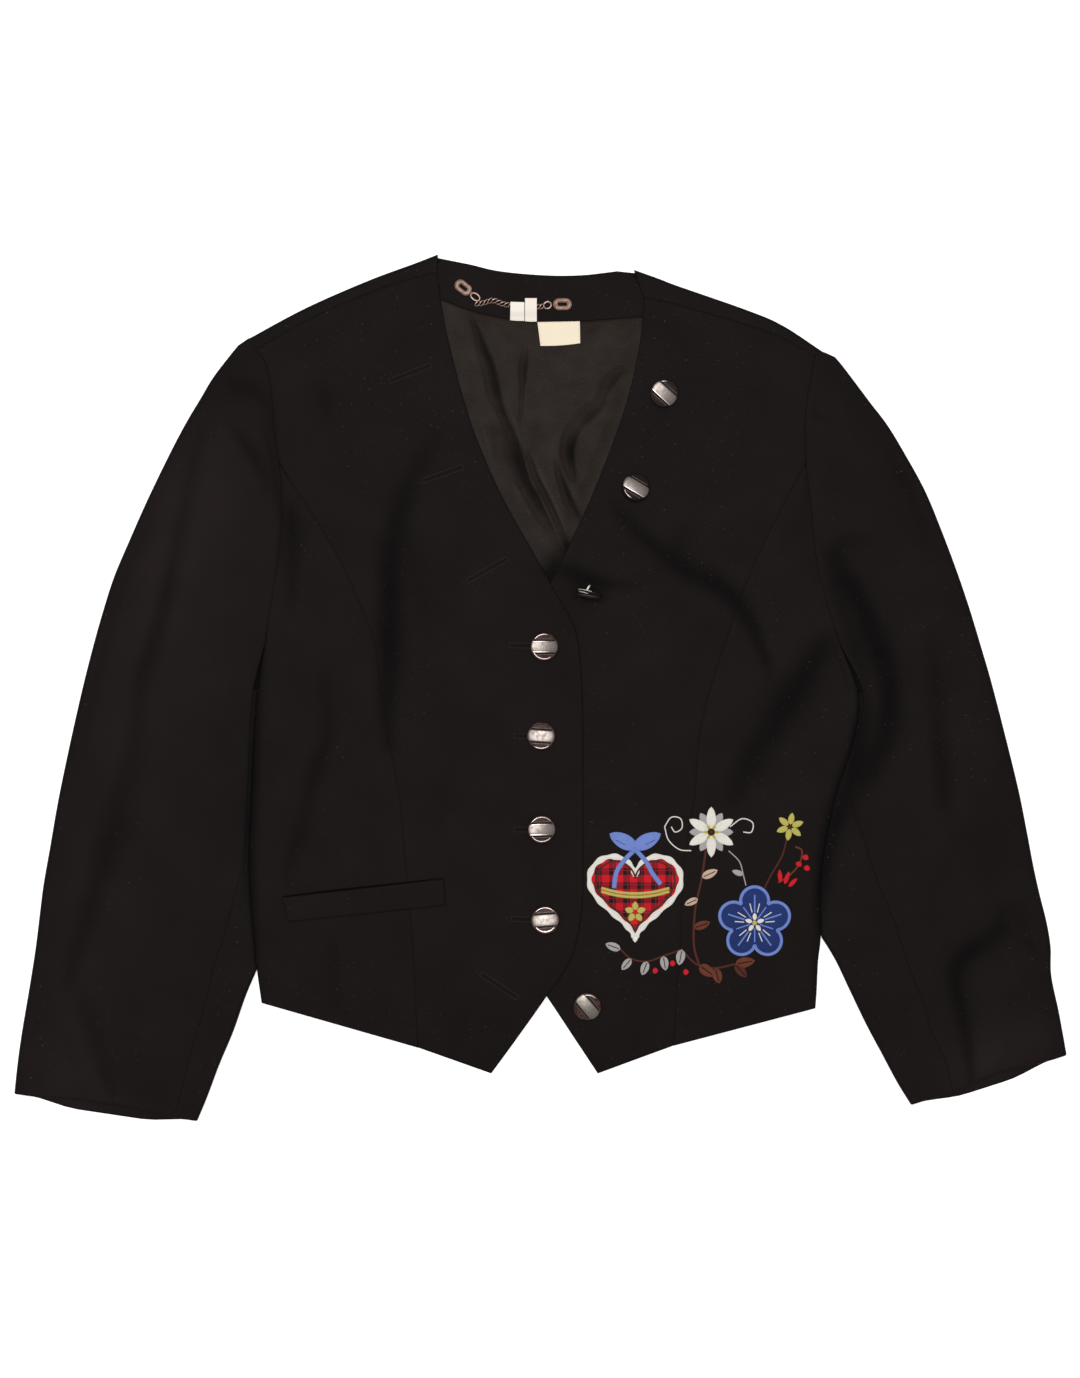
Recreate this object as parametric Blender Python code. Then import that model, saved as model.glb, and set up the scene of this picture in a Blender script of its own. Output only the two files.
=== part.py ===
"""Bolero jacket, laid flat on its back with the face up.

+X points to the wearer's left, +Y to the neck and +Z up. The origin lies on the surface, under the middle of
the jacket. All tables and sizes are in millimetres, and turn into metres when an object is made.
"""

import math
from collections import namedtuple

import bmesh
import bpy
import numpy as np
from mathutils import Matrix, Vector
from mathutils.bvhtree import BVHTree

MM = 0.001

# Cloth and seams
WALL = 1.6
LINING_WALL = 1.0
LABEL_WALL = 1.0
GAP = 0.3
HALF_GAP = GAP / 2
FOLD_RADIUS = 2.5
FOLD_TOP = 2 * FOLD_RADIUS
FOLD_ANGLES = (0.0, 45.0, 90.0, 135.0, 180.0)
ROW_STEP = 0.5

# Heights of the upper faces of the lying layers
BACK_TOP = WALL
LINING_TOP = BACK_TOP + GAP + LINING_WALL
LEFT_EDGE_TOP = LINING_TOP + GAP + WALL
CLOTH_FLOOR = BACK_TOP + GAP + WALL
SIDE_EDGE_RISE = 0.4
SIDE_BULGE = 0.4
ROLL_RISE = 0.2
SIDE_FADE = 10.0
HEM_FADE_ROWS = 3.0

# Body rows run from the hem, row 0, to the shoulder seam, row 17. The side point is on the side edge and then
# on the armhole, the seam point on the princess seam, and the edge point on the front edge and the neckline.
BodyRow = namedtuple("BodyRow", "side_x side_y side_z seam_x seam_y seam_z edge_x edge_y edge_z")
RIGHT_BODY = [
    BodyRow(-209.0, -236.5, 3.9, -92.0, -270.0, 2.6, -37.0, -289.5, 2.2),
    BodyRow(-211.0, -223.0, 4.8, -93.0, -252.0, 3.8, -17.0, -262.0, 4.0),
    BodyRow(-212.5, -211.0, 5.4, -94.0, -229.0, 5.0, 4.0, -232.0, 6.4),
    BodyRow(-214.0, -193.0, 5.8, -95.0, -202.0, 6.0, 23.0, -202.5, 6.7),
    BodyRow(-216.5, -163.0, 6.0, -98.0, -164.0, 6.3, 31.0, -166.5, 6.7),
    BodyRow(-218.0, -128.0, 6.0, -101.5, -129.0, 6.3, 32.0, -129.0, 6.7),
    BodyRow(-216.5, -84.0, 6.0, -105.5, -84.0, 6.3, 32.0, -84.0, 6.7),
    BodyRow(-214.5, -39.0, 6.0, -113.5, -39.0, 6.3, 32.0, -37.5, 6.7),
    BodyRow(-211.5, -1.5, 6.0, -119.0, -1.5, 6.3, 31.0, 6.0, 6.7),
    BodyRow(-206.5, 34.5, 6.0, -125.0, 36.0, 6.4, 26.5, 43.0, 6.7),
    BodyRow(-201.5, 66.0, 6.0, -136.5, 66.0, 6.4, 12.0, 70.5, 6.7),
    BodyRow(-197.0, 96.0, 6.0, -151.0, 96.0, 6.4, -6.5, 103.5, 6.4),
    BodyRow(-194.0, 130.0, 6.0, -171.5, 130.5, 6.3, -29.0, 144.0, 5.4),
    BodyRow(-196.0, 169.5, 6.0, -196.0, 169.5, 6.0, -47.5, 186.0, 4.9),
    BodyRow(-200.0, 197.0, 6.0, -200.0, 197.0, 6.0, -59.0, 221.0, 4.9),
    BodyRow(-202.0, 223.5, 6.0, -202.0, 223.5, 6.0, -68.0, 256.0, 4.9),
    BodyRow(-206.5, 244.5, 5.8, -206.5, 244.5, 5.8, -74.0, 285.0, 4.9),
    BodyRow(-214.0, 254.0, 5.4, -214.0, 254.0, 5.4, -77.5, 312.0, 5.0),
]
LEFT_BODY = [
    BodyRow(206.0, -240.5, 3.9, 100.0, -268.5, 2.6, 43.0, -289.5, 2.2),
    BodyRow(207.0, -226.5, 4.8, 101.5, -244.5, 3.8, 23.5, -260.0, 3.4),
    BodyRow(208.0, -205.5, 5.4, 103.0, -223.0, 5.0, 5.0, -232.0, 4.2),
    BodyRow(210.0, -186.0, 5.8, 104.5, -200.0, 5.8, -15.5, -202.5, 4.8),
    BodyRow(209.0, -159.0, 6.0, 106.0, -163.0, 6.0, -23.5, -166.5, 4.8),
    BodyRow(211.0, -130.0, 6.0, 108.0, -127.5, 6.2, -25.0, -129.0, 4.8),
    BodyRow(220.0, -84.0, 6.0, 115.5, -84.0, 6.3, -25.0, -84.0, 4.8),
    BodyRow(234.5, -39.0, 6.0, 119.0, -39.0, 6.4, -25.0, -37.5, 4.8),
    BodyRow(238.0, -4.0, 6.0, 129.5, 6.0, 6.4, -23.0, 6.0, 4.8),
    BodyRow(224.5, 34.0, 6.0, 142.0, 43.5, 6.4, -15.5, 43.0, 4.8),
    BodyRow(213.5, 67.5, 6.0, 151.5, 70.5, 6.4, 2.5, 70.5, 4.8),
    BodyRow(206.5, 100.0, 6.0, 163.5, 100.0, 6.4, 18.5, 101.0, 4.8),
    BodyRow(203.0, 136.0, 6.0, 182.5, 138.0, 6.3, 38.5, 144.0, 4.8),
    BodyRow(199.0, 169.0, 6.0, 199.0, 169.0, 6.0, 55.0, 186.0, 4.9),
    BodyRow(198.5, 195.0, 6.0, 198.5, 195.0, 6.0, 66.5, 221.0, 4.9),
    BodyRow(200.0, 217.5, 6.0, 200.0, 217.5, 6.0, 74.0, 256.0, 4.9),
    BodyRow(203.0, 232.5, 5.8, 203.0, 232.5, 5.8, 77.0, 282.0, 4.9),
    BodyRow(206.0, 249.0, 5.4, 206.0, 249.0, 5.4, 77.5, 293.0, 5.0),
]
SEAM_TOP_ROW = 13
SHOULDER_ROW = 17
FOLD_ROW = 18
CREVICE_ROWS = (7.5, 9.5)
ROLL_WIDTH = 6.0
ROLL_COLUMNS = (0.0, 2.0, ROLL_WIDTH)
SIDE_SHARES = (0.22, 0.45, 0.72, 1.0)
CENTRE_SHARES = (0.0, 0.1, 0.22, 0.34, 0.46, 0.58, 0.7, 0.85, 1.0)
TIP_ROW = SEAM_TOP_ROW - 0.05
NECK_ROW = 9.0
NEAR_TOP_POWER = 6
OVER_RISE_END = 0.46
UNDER_RISE = (0.15, 0.5)

# The back goes over the shoulder fold and ends at the forward shoulder seam, from the armhole to the neck.
ShoulderRow = namedtuple("ShoulderRow", "fold_x fold_y seam_x seam_y")
RIGHT_SHOULDER = [
    ShoulderRow(-218.5, 262.5, -214.0, 254.0),
    ShoulderRow(-186.5, 280.0, -182.0, 272.0),
    ShoulderRow(-160.5, 292.5, -156.5, 285.0),
    ShoulderRow(-125.0, 307.5, -120.5, 299.5),
    ShoulderRow(-95.0, 318.5, -93.5, 308.0),
    ShoulderRow(-77.0, 325.5, -77.5, 312.0),
]
LEFT_SHOULDER = [
    ShoulderRow(212.5, 252.0, 206.0, 249.0),
    ShoulderRow(182.0, 272.0, 180.5, 263.5),
    ShoulderRow(155.5, 283.5, 152.0, 273.5),
    ShoulderRow(102.5, 302.0, 106.5, 286.5),
    ShoulderRow(89.5, 307.0, 93.0, 290.0),
    ShoulderRow(70.0, 314.0, 77.5, 293.0),
]
SEAM_Z_ARMHOLE = 5.4
SEAM_Z_NECK = 5.0
NECK_EDGE = [(-52.5, 318.0), (-30.5, 313.0), (2.5, 310.0), (30.5, 310.0), (57.5, 313.0)]
BACK_HEM = [(-150.0, -233.0), (-80.0, -228.5), (0.0, -226.0), (80.0, -229.0), (150.0, -235.0)]

# Sleeve rows run from the shoulder, row 0, to the cuff, row 21. The outer point is on the fold. The inner side
# follows the body down to the row where the sleeve leaves it, and then its own points. The seam lies that far
# in from the inner side, and the crown is how far the middle stands above the two sides.
SleeveRow = namedtuple("SleeveRow", "outer_x outer_y seam_in crown")
RIGHT_SLEEVE = [
    SleeveRow(-227.5, 256.5, 0.0, 0.0),
    SleeveRow(-236.0, 246.0, 0.0, 0.6),
    SleeveRow(-246.5, 232.0, 0.0, 1.0),
    SleeveRow(-256.0, 216.0, 0.0, 1.2),
    SleeveRow(-265.0, 201.0, 0.0, 1.3),
    SleeveRow(-277.0, 178.5, 0.0, 1.4),
    SleeveRow(-294.5, 142.5, 0.0, 1.4),
    SleeveRow(-308.5, 111.0, 0.0, 1.4),
    SleeveRow(-320.5, 82.5, 0.0, 1.4),
    SleeveRow(-329.5, 54.0, 0.0, 1.4),
    SleeveRow(-337.0, 27.0, 4.0, 1.4),
    SleeveRow(-344.5, -3.0, 4.0, 1.4),
    SleeveRow(-353.5, -43.0, 4.0, 1.4),
    SleeveRow(-362.0, -84.0, 5.0, 1.4),
    SleeveRow(-368.0, -118.5, 14.0, 1.4),
    SleeveRow(-373.0, -147.0, 24.0, 1.4),
    SleeveRow(-375.5, -166.5, 31.0, 1.3),
    SleeveRow(-379.0, -195.0, 28.0, 1.2),
    SleeveRow(-383.5, -224.0, 26.0, 1.0),
    SleeveRow(-389.0, -256.5, 23.0, 0.8),
    SleeveRow(-392.5, -281.0, 20.0, 0.6),
    SleeveRow(-395.0, -304.5, 18.0, 0.4),
]
LEFT_SLEEVE = [
    SleeveRow(221.5, 248.0, 0.0, 0.0),
    SleeveRow(227.0, 241.5, 0.0, 0.6),
    SleeveRow(238.0, 227.0, 0.0, 1.0),
    SleeveRow(248.5, 213.0, 0.0, 1.2),
    SleeveRow(260.0, 198.0, 0.0, 1.3),
    SleeveRow(272.0, 178.5, 0.0, 1.4),
    SleeveRow(288.5, 148.5, 0.0, 1.4),
    SleeveRow(301.0, 118.5, 0.0, 1.4),
    SleeveRow(312.5, 88.0, 0.0, 1.4),
    SleeveRow(322.0, 60.0, 0.0, 1.4),
    SleeveRow(330.5, 32.0, 4.0, 1.4),
    SleeveRow(338.5, 4.5, 4.0, 1.4),
    SleeveRow(349.0, -36.0, 13.0, 1.4),
    SleeveRow(359.0, -77.0, 35.0, 1.4),
    SleeveRow(365.0, -107.0, 46.0, 1.4),
    SleeveRow(370.0, -133.5, 55.0, 1.4),
    SleeveRow(374.5, -154.0, 51.0, 1.3),
    SleeveRow(380.0, -176.0, 48.0, 1.2),
    SleeveRow(383.0, -195.0, 46.0, 1.0),
    SleeveRow(383.5, -216.0, 41.0, 0.8),
    SleeveRow(389.5, -245.0, 40.0, 0.6),
    SleeveRow(395.0, -275.5, 33.0, 0.4),
]
RIGHT_SLEEVE_INNER = [(-221.0, -231.0), (-230.5, -258.0), (-241.0, -283.0), (-250.0, -307.0), (-257.5, -325.0)]
LEFT_SLEEVE_INNER = [(221.0, -204.0), (231.5, -226.0), (244.0, -252.0), (256.0, -274.5), (267.5, -296.0),
                     (278.0, -313.0)]
RIGHT_LEAVES_BODY_AT = 2
LEFT_LEAVES_BODY_AT = 3
UNDERARM_SLEEVE_ROW = 10
CUFF_ROW = 21
SLEEVE_SEAM_TOP = 5.8
SLEEVE_RETURN = 9.0
CUFF_BOW_TOP = -3.0
CUFF_BOW_UNDER = 5.0
CUFF_BOW_RISE = 40.0
TOP_SHARES = (0.1, 0.25, 0.43, 0.62, 0.82, 1.0)
CROWN_WIDTHS = (10.0, 50.0)
NARROW_RETURN = 0.55

# Soft troughs and ridges of the face cloth: a straight line each, its half width and its height.
Fold = namedtuple("Fold", "x1 y1 x2 y2 half_width height")
FOLDS = [
    Fold(-92.0, 158.0, -112.0, 118.0, 11.0, -1.3),
    Fold(-110.0, 128.0, -117.0, 40.0, 10.0, -1.8),
    Fold(-116.0, 60.0, -120.0, -30.0, 9.0, -1.2),
    Fold(-168.0, 0.0, -172.0, -130.0, 14.0, -1.3),
    Fold(-188.0, 128.0, -184.0, 66.0, 8.0, -1.4),
    Fold(60.0, 142.0, 92.0, 106.0, 9.0, -1.3),
    Fold(80.0, 116.0, 134.0, 78.0, 10.0, -1.8),
    Fold(122.0, 88.0, 160.0, 40.0, 10.0, -1.8),
    Fold(152.0, 56.0, 170.0, 10.0, 9.0, -1.2),
    Fold(40.0, 78.0, 74.0, 83.0, 4.0, -0.9),
    Fold(208.0, 40.0, 168.0, -44.0, 12.0, -1.8),
    Fold(176.0, -28.0, 146.0, -84.0, 11.0, -1.4),
    Fold(216.0, 106.0, 252.0, 54.0, 10.0, -2.0),
    Fold(248.0, 66.0, 260.0, -14.0, 10.0, -2.2),
    Fold(261.0, -2.0, 238.0, -66.0, 9.0, -1.6),
    Fold(302.0, 34.0, 318.0, -48.0, 9.0, -1.0),
    Fold(378.0, -203.0, 330.0, -194.0, 8.0, -1.8),
    Fold(334.0, -190.0, 312.0, -226.0, 9.0, -2.0),
    Fold(313.0, -220.0, 317.0, -286.0, 9.0, -1.8),
    Fold(-318.0, 60.0, -338.0, -60.0, 9.0, -0.9),
    Fold(-268.0, 60.0, -288.0, -110.0, 12.0, -1.2),
    Fold(-236.0, 225.0, -250.0, 170.0, 8.0, -1.0),
    Fold(-300.0, -150.0, -318.0, -280.0, 11.0, -1.0),
]

# Back lining and the facing at the back neck, in the open neck
LINING_MARGIN = 20.0
LINING_CLEARANCE = 6.0
LINING_FOOT_Y = 50.0
LINING_COLUMNS = 14
LINING_ROWS = (0.0, 0.12, 0.24, 0.36, 0.48, 0.6, 0.7, 0.8, 0.9, 1.0)
LINING_NARROWS_AT = 0.8
FACING_LOWER = [(-92.0, 296.0), (-75.5, 292.0), (-50.5, 283.0), (-23.5, 277.0), (3.5, 275.0), (30.5, 275.5),
                (76.0, 279.0), (92.5, 281.0)]
FACING_UPPER = [(-75.0, 321.5), (-64.0, 320.0), (-52.5, 316.5), (-30.5, 311.5), (2.5, 308.5), (30.5, 308.5),
                (57.5, 311.0), (68.0, 310.0)]
LINING_FOLDS = [
    Fold(-51.5, 279.0, -38.5, 247.0, 4.5, 1.6),
    Fold(-40.0, 251.0, -16.0, 181.0, 4.5, 2.2),
    Fold(-18.0, 187.0, -6.0, 140.0, 4.5, 2.2),
    Fold(-9.0, 150.0, 14.0, 104.0, 4.0, 2.0),
    Fold(-9.5, 272.0, -9.5, 200.0, 4.0, 1.6),
    Fold(22.0, 235.0, 12.0, 150.0, 7.0, 1.4),
    Fold(46.0, 240.0, 30.0, 150.0, 7.0, 1.6),
    Fold(-60.0, 255.0, -30.0, 180.0, 6.0, 1.2),
]

# Pocket welt, labels and the hanger at the neck
WELT_CORNERS = ((-194.0, -157.0), (-72.5, -143.0), (-71.0, -163.0), (-189.5, -175.5))
WELT_GRID = (11, 3)
PATCH_REACH = 2.5
LABELS = {
    "label_size": ((-22.5, 289.5), (-12.1, 289.2), (-12.1, 275.5), (-22.8, 276.0)),
    "label_tab": ((-11.6, 292.2), (-2.8, 292.2), (-2.8, 275.0), (-11.7, 275.2)),
    "label_care": ((-2.3, 274.6), (29.5, 275.2), (29.8, 258.6), (0.0, 256.6)),
}
LABEL_COLORS = {"label_size": (0.86, 0.85, 0.80), "label_tab": (0.83, 0.80, 0.73), "label_care": (0.80, 0.73, 0.58)}
LABEL_ROUGHNESS = 0.8
LABEL_GRID = (4, 5)
Plate = namedtuple("Plate", "x y angle")
PLATES = {"hanger_plate_right": Plate(-58.0, 300.5, -38.0), "hanger_plate_left": Plate(16.5, 288.0, 0.0)}
PLATE_LENGTH = 14.5
PLATE_WIDTH = 9.3
SLOT_LENGTH = 7.6
SLOT_WIDTH = 2.4
PLATE_WALL = 1.2
PLATE_POINTS = 20
RING_RADIUS = 3.1
RING_WIRE = 0.65
RING_SEGMENTS = 18
WIRE_SIDES = 6
RINGS = {"hanger_ring_right": (-48.9, 293.4), "hanger_ring_left": (5.2, 287.2)}
CHAIN_WIRE = 1.1
CHAIN_ROUTE = [(-47.6, 288.3), (-45.0, 286.9), (-42.0, 287.6), (-37.0, 290.6), (-32.5, 290.0), (-26.5, 287.0),
               (-23.5, 286.0), (-12.0, 285.5), (-3.5, 285.8), (0.4, 286.4)]

# Buttons: the disc's middle, and the angle of the bar that crosses it
Button = namedtuple("Button", "x y bar_angle")
BUTTONS = [
    Button(92.5, 221.0, -42.0),
    Button(71.0, 150.0, -30.0),
    Button(35.5, 71.5, -6.0),
    Button(2.5, 31.0, 0.0),
    Button(0.5, -36.0, 0.0),
    Button(0.5, -106.0, 0.0),
    Button(3.5, -174.0, 2.0),
    Button(35.0, -238.5, -60.0),
]
STANDING_BUTTON = 3
STANDING_TILT = 78.0
BUTTON_RADIUS = 10.5
BUTTON_PROFILE = [(9.2, 0.0), (10.5, 1.6), (10.4, 3.4), (9.6, 3.8), (8.9, 3.1)]
BUTTON_SEGMENTS = 20
BAR_HALF_WIDTH = 4.3
BAR_HALF_LENGTH = 9.9
BAR_FOOT = 1.5
BAR_EDGE_TOP = 4.3
BAR_CREST_TOP = 4.8
BUTTON_REACH = 6.0
STALK_RADIUS = 1.5
STALK_SIDES = 8
STALK_REACH = (1.0, 7.5)
STALK_BITE = 1.0
STANDING_REACH = 3.0

# Raised applique on the wearer's left front
HEART_CENTRE = (71.0, -152.0)
HEART_SIZE = 2.15
HEART_POINTS = 40
HEART_SCALLOPS = 20
SCALLOP_DEPTH = 0.035
GENTIAN_CENTRE = (160.5, -176.0)
GENTIAN_RADIUS = 27.0
GENTIAN_WAIST = 0.62
GENTIAN_POINTS = 40
PETALS = 5
PETAL_ROUNDNESS = 0.7
APPLIQUE_WALL = 1.2
APPLIQUE_RINGS = (0.0, 0.5, 0.82, 1.0)
APPLIQUE_REACH = 2.0

Finish = namedtuple("Finish", "color roughness metallic")
BLACK_WOOL = Finish((0.018, 0.015, 0.014), 0.9, 0.0)
BROWN_LINING = Finish((0.050, 0.042, 0.037), 0.45, 0.0)
COPPER = Finish((0.42, 0.27, 0.21), 0.35, 1.0)
BUTTON_BROWN = Finish((0.060, 0.035, 0.030), 0.35, 0.0)
PLAID_RED = Finish((0.55, 0.02, 0.03), 0.8, 0.0)
NAVY = Finish((0.03, 0.05, 0.18), 0.8, 0.0)
SHARP_ANGLE = 40.0


def smooth_step(x):
    """0 below 0, 1 above 1 and a smooth rise between."""
    x = min(max(x, 0.0), 1.0)
    return x * x * (3 - 2 * x)


def smooth_row(table, t):
    """Row t of a table, on the Catmull-Rom curve through its rows."""
    rows = np.asarray(table, float)
    last = len(rows) - 1
    t = min(max(t, 0.0), float(last))
    i = min(int(t), last - 1)
    f = t - i
    start, end = rows[i], rows[i + 1]
    before = rows[i - 1] if i > 0 else 2 * start - end
    after = rows[i + 2] if i + 2 <= last else 2 * end - start
    return 0.5 * (
        2 * start
        + (end - before) * f
        + (2 * before - 5 * start + 4 * end - after) * f * f
        + (3 * start - before - 3 * end + after) * f * f * f
    )


def fold_height(x, y, folds):
    """Height that the folds add at a point: a bell across each line, fading out at its ends."""
    total = 0.0
    for fold in folds:
        dx, dy = fold.x2 - fold.x1, fold.y2 - fold.y1
        length = math.hypot(dx, dy)
        along = ((x - fold.x1) * dx + (y - fold.y1) * dy) / length**2
        off = abs((x - fold.x1) * dy - (y - fold.y1) * dx) / length
        reach = fold.half_width / length
        fade = smooth_step((along + reach) / (2 * reach)) * smooth_step((1 + reach - along) / (2 * reach))
        total += fold.height * fade * math.exp(-((off / fold.half_width) ** 2))
    return total


def steps(first, last, step=ROW_STEP):
    """Row numbers from first to last, both included."""
    return [first + i * step for i in range(int(round((last - first) / step)) + 1)]


class ClothSolid:
    """A wall of cloth: pairs of points on its two faces, joined by a rim round each free edge."""

    def __init__(self):
        self.pairs = []
        self.faces = []
        self.index = {}

    def pair(self, outer, inner):
        """Number of a pair of points. The same pair, met twice, keeps its number."""
        key = tuple(round(float(c), 3) for c in (*outer, *inner))
        if key not in self.index:
            self.index[key] = len(self.pairs)
            self.pairs.append((Vector(outer), Vector(inner)))
        return self.index[key]

    def face(self, numbers):
        """Add a face, leaving out pairs that fall together."""
        kept = [n for i, n in enumerate(numbers) if n != numbers[i - 1]]
        if len(set(kept)) > 2:
            self.faces.append(kept)

    def grid(self, outer, inner, around=False):
        """Add a grid of faces. Rows run up and columns to the right, seen from the outer side."""
        numbers = [[self.pair(o, i) for o, i in zip(*rows)] for rows in zip(outer, inner)]
        for low, high in zip(numbers, numbers[1:]):
            if around:
                low, high = low + low[:1], high + high[:1]
            for i in range(len(low) - 1):
                self.face([low[i], low[i + 1], high[i + 1], high[i]])

    def to_bmesh(self):
        """The closed wall, in millimetres, as triangles."""
        bm = bmesh.new()
        outer = [bm.verts.new(pair[0]) for pair in self.pairs]
        inner = [bm.verts.new(pair[1]) for pair in self.pairs]
        edges = set()
        for numbers in self.faces:
            bm.faces.new([outer[n] for n in numbers])
            bm.faces.new([inner[n] for n in reversed(numbers)])
            edges.update(zip(numbers, numbers[1:] + numbers[:1]))
        for a, b in edges:
            if (b, a) not in edges:
                bm.faces.new([outer[b], outer[a], inner[a], inner[b]])
        bmesh.ops.triangulate(bm, faces=bm.faces[:], quad_method="FIXED")
        return bm


class Jacket:
    """The objects made so far, and the surfaces that later pieces lie on."""

    def __init__(self):
        self.trees = {}

    def height(self, x, y, names, reach=0.0):
        """Highest point of the named pieces at a place, or within a small square round it."""
        top = 0.0
        offsets = [reach * share for share in (-1.0, -0.5, 0.0, 0.5, 1.0)] if reach else [0.0]
        for name in names:
            for dx in offsets:
                for dy in offsets:
                    hit = self.trees[name].ray_cast(Vector((x + dx, y + dy, 100.0)), Vector((0, 0, -1)))
                    if hit[0] is not None:
                        top = max(top, hit[0].z)
        return top

    def add(self, name, bm, finish):
        """Turn a mesh in millimetres into a named object, and keep its surface for what lies on it."""
        self.trees[name] = BVHTree.FromBMesh(bm)
        bmesh.ops.scale(bm, vec=(MM, MM, MM), verts=bm.verts)
        mesh = bpy.data.meshes.new(name)
        bm.to_mesh(mesh)
        bm.free()
        mesh.shade_smooth()
        mesh.set_sharp_from_angle(angle=math.radians(SHARP_ANGLE))
        mesh.materials.append(plain_material(name, finish))
        thing = bpy.data.objects.new(name, mesh)
        bpy.context.scene.collection.objects.link(thing)
        return thing


def plain_material(name, finish):
    """One plain finish for one piece."""
    material = bpy.data.materials.new(name)
    material.use_nodes = True
    shader = material.node_tree.nodes["Principled BSDF"]
    shader.inputs["Base Color"].default_value = (*finish.color, 1.0)
    shader.inputs["Roughness"].default_value = finish.roughness
    shader.inputs["Metallic"].default_value = finish.metallic
    return material


def pulled_in(grid, left=0.0, right=0.0, bottom=0.0, top=0.0):
    """The same flat grid with its edges moved in, so that neighbours keep a gap."""
    moved = [[Vector(p) for p in row] for row in grid]

    def shift(row, column, row_to, column_to, distance):
        step = Vector(grid[row_to][column_to]) - Vector(grid[row][column])
        if step.length > distance:
            moved[row][column] += step * (distance / step.length)

    for i in range(len(grid)):
        shift(i, 0, i, 1, left)
        shift(i, -1, i, -2, right)
    for j in range(len(grid[0])):
        shift(0, j, 1, j, bottom)
        shift(-1, j, -2, j, top)
    return moved


def drop_wall(flat, heights, wall):
    """Outer and inner points of a wall that lies flat, from its plan and the height of its upper face."""
    outer = [[(p.x, p.y, z) for p, z in zip(*rows)] for rows in zip(flat, heights)]
    inner = [[(x, y, z - wall) for x, y, z in row] for row in outer]
    return outer, inner


def side_point(rows, shoulder, t):
    """The body's side edge and armhole, which the sleeve follows too. Row 18 is the shoulder fold."""
    point = Vector(smooth_row([(row.side_x, row.side_y) for row in rows], t))
    fold = Vector((shoulder[0].fold_x, shoulder[0].fold_y))
    return point.lerp(fold, max(0.0, t - SHOULDER_ROW))


def seam_point(rows, t):
    """The princess seam, from the hem to the armhole."""
    table = [(row.seam_x, row.seam_y) for row in rows[: SEAM_TOP_ROW + 1]]
    return Vector(smooth_row(table, t))


def edge_point(rows, t):
    """The front edge, from the point of the hem to the neck."""
    return Vector(smooth_row([(row.edge_x, row.edge_y) for row in rows], t))


def shoulder_seam_point(shoulder, u):
    """The forward shoulder seam, from the armhole, 0, to the neck, 1."""
    table = [(row.seam_x, row.seam_y) for row in shoulder]
    return Vector(smooth_row(table, u * (len(table) - 1)))


def crevice(t):
    """1 where the body lies beside the sleeve, 0 where the armhole seam joins them."""
    low, high = CREVICE_ROWS
    return 1.0 - smooth_step((t - low) / (high - low))


def rolled_drop(distance, depth):
    """How far a rolled edge is below the face, at a distance from the edge."""
    rest = max(0.0, 1.0 - distance / ROLL_WIDTH)
    return depth * (1.0 - math.sqrt(max(0.0, 1.0 - rest * rest)))


def cloth_rise(x, y, t, distance_to_side):
    """What the folds add, fading at the side edge and the hem."""
    fade = smooth_step(distance_to_side / SIDE_FADE) * smooth_step(t / HEM_FADE_ROWS)
    return fade * fold_height(x, y, FOLDS)


def make_side_front(jacket, name, rows, shoulder, mirrored):
    """The side piece of a front, from its side edge to the princess seam, ending in a tip at the armhole."""
    flat, heights = [], []
    for t in steps(0, SEAM_TOP_ROW - ROW_STEP) + [TIP_ROW]:
        side, seam = side_point(rows, shoulder, t), seam_point(rows, t)
        if t == TIP_ROW:
            side = seam = (side + seam) / 2
        width = (seam - side).length
        _, _, side_z, _, _, seam_z, *_ = smooth_row(rows, t)
        rolled = [d / max(width, 3 * ROLL_WIDTH) for d in ROLL_COLUMNS]
        shares = rolled + [rolled[-1] + (1 - rolled[-1]) * f for f in SIDE_SHARES]
        points, tops = [], []
        for u in shares if t < TIP_ROW else [0.5] * len(shares):
            p = side.lerp(seam, u)
            z = side_z + (seam_z - side_z) * smooth_step(u) + SIDE_BULGE * math.sin(math.pi * u)
            z += cloth_rise(p.x, p.y, t, u * width)
            z = max(z, min(side_z, CLOTH_FLOOR + SIDE_EDGE_RISE))
            z -= rolled_drop(u * width, crevice(t) * max(0.0, z - CLOTH_FLOOR - ROLL_RISE))
            points.append(p)
            tops.append(z)
        flat.append(points)
        heights.append(tops)
    flat = pulled_in(flat, left=HALF_GAP, right=HALF_GAP)
    outer, inner = drop_wall(flat, heights, WALL)
    outer, inner = faced(outer, inner, mirrored)
    cloth = ClothSolid()
    cloth.grid(outer, inner)
    jacket.add(name, cloth.to_bmesh(), BLACK_WOOL)


def faced(outer, inner, mirrored):
    """Columns in the order that makes the outer face look up."""
    if mirrored:
        return [row[::-1] for row in outer], [row[::-1] for row in inner]
    return outer, inner


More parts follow.
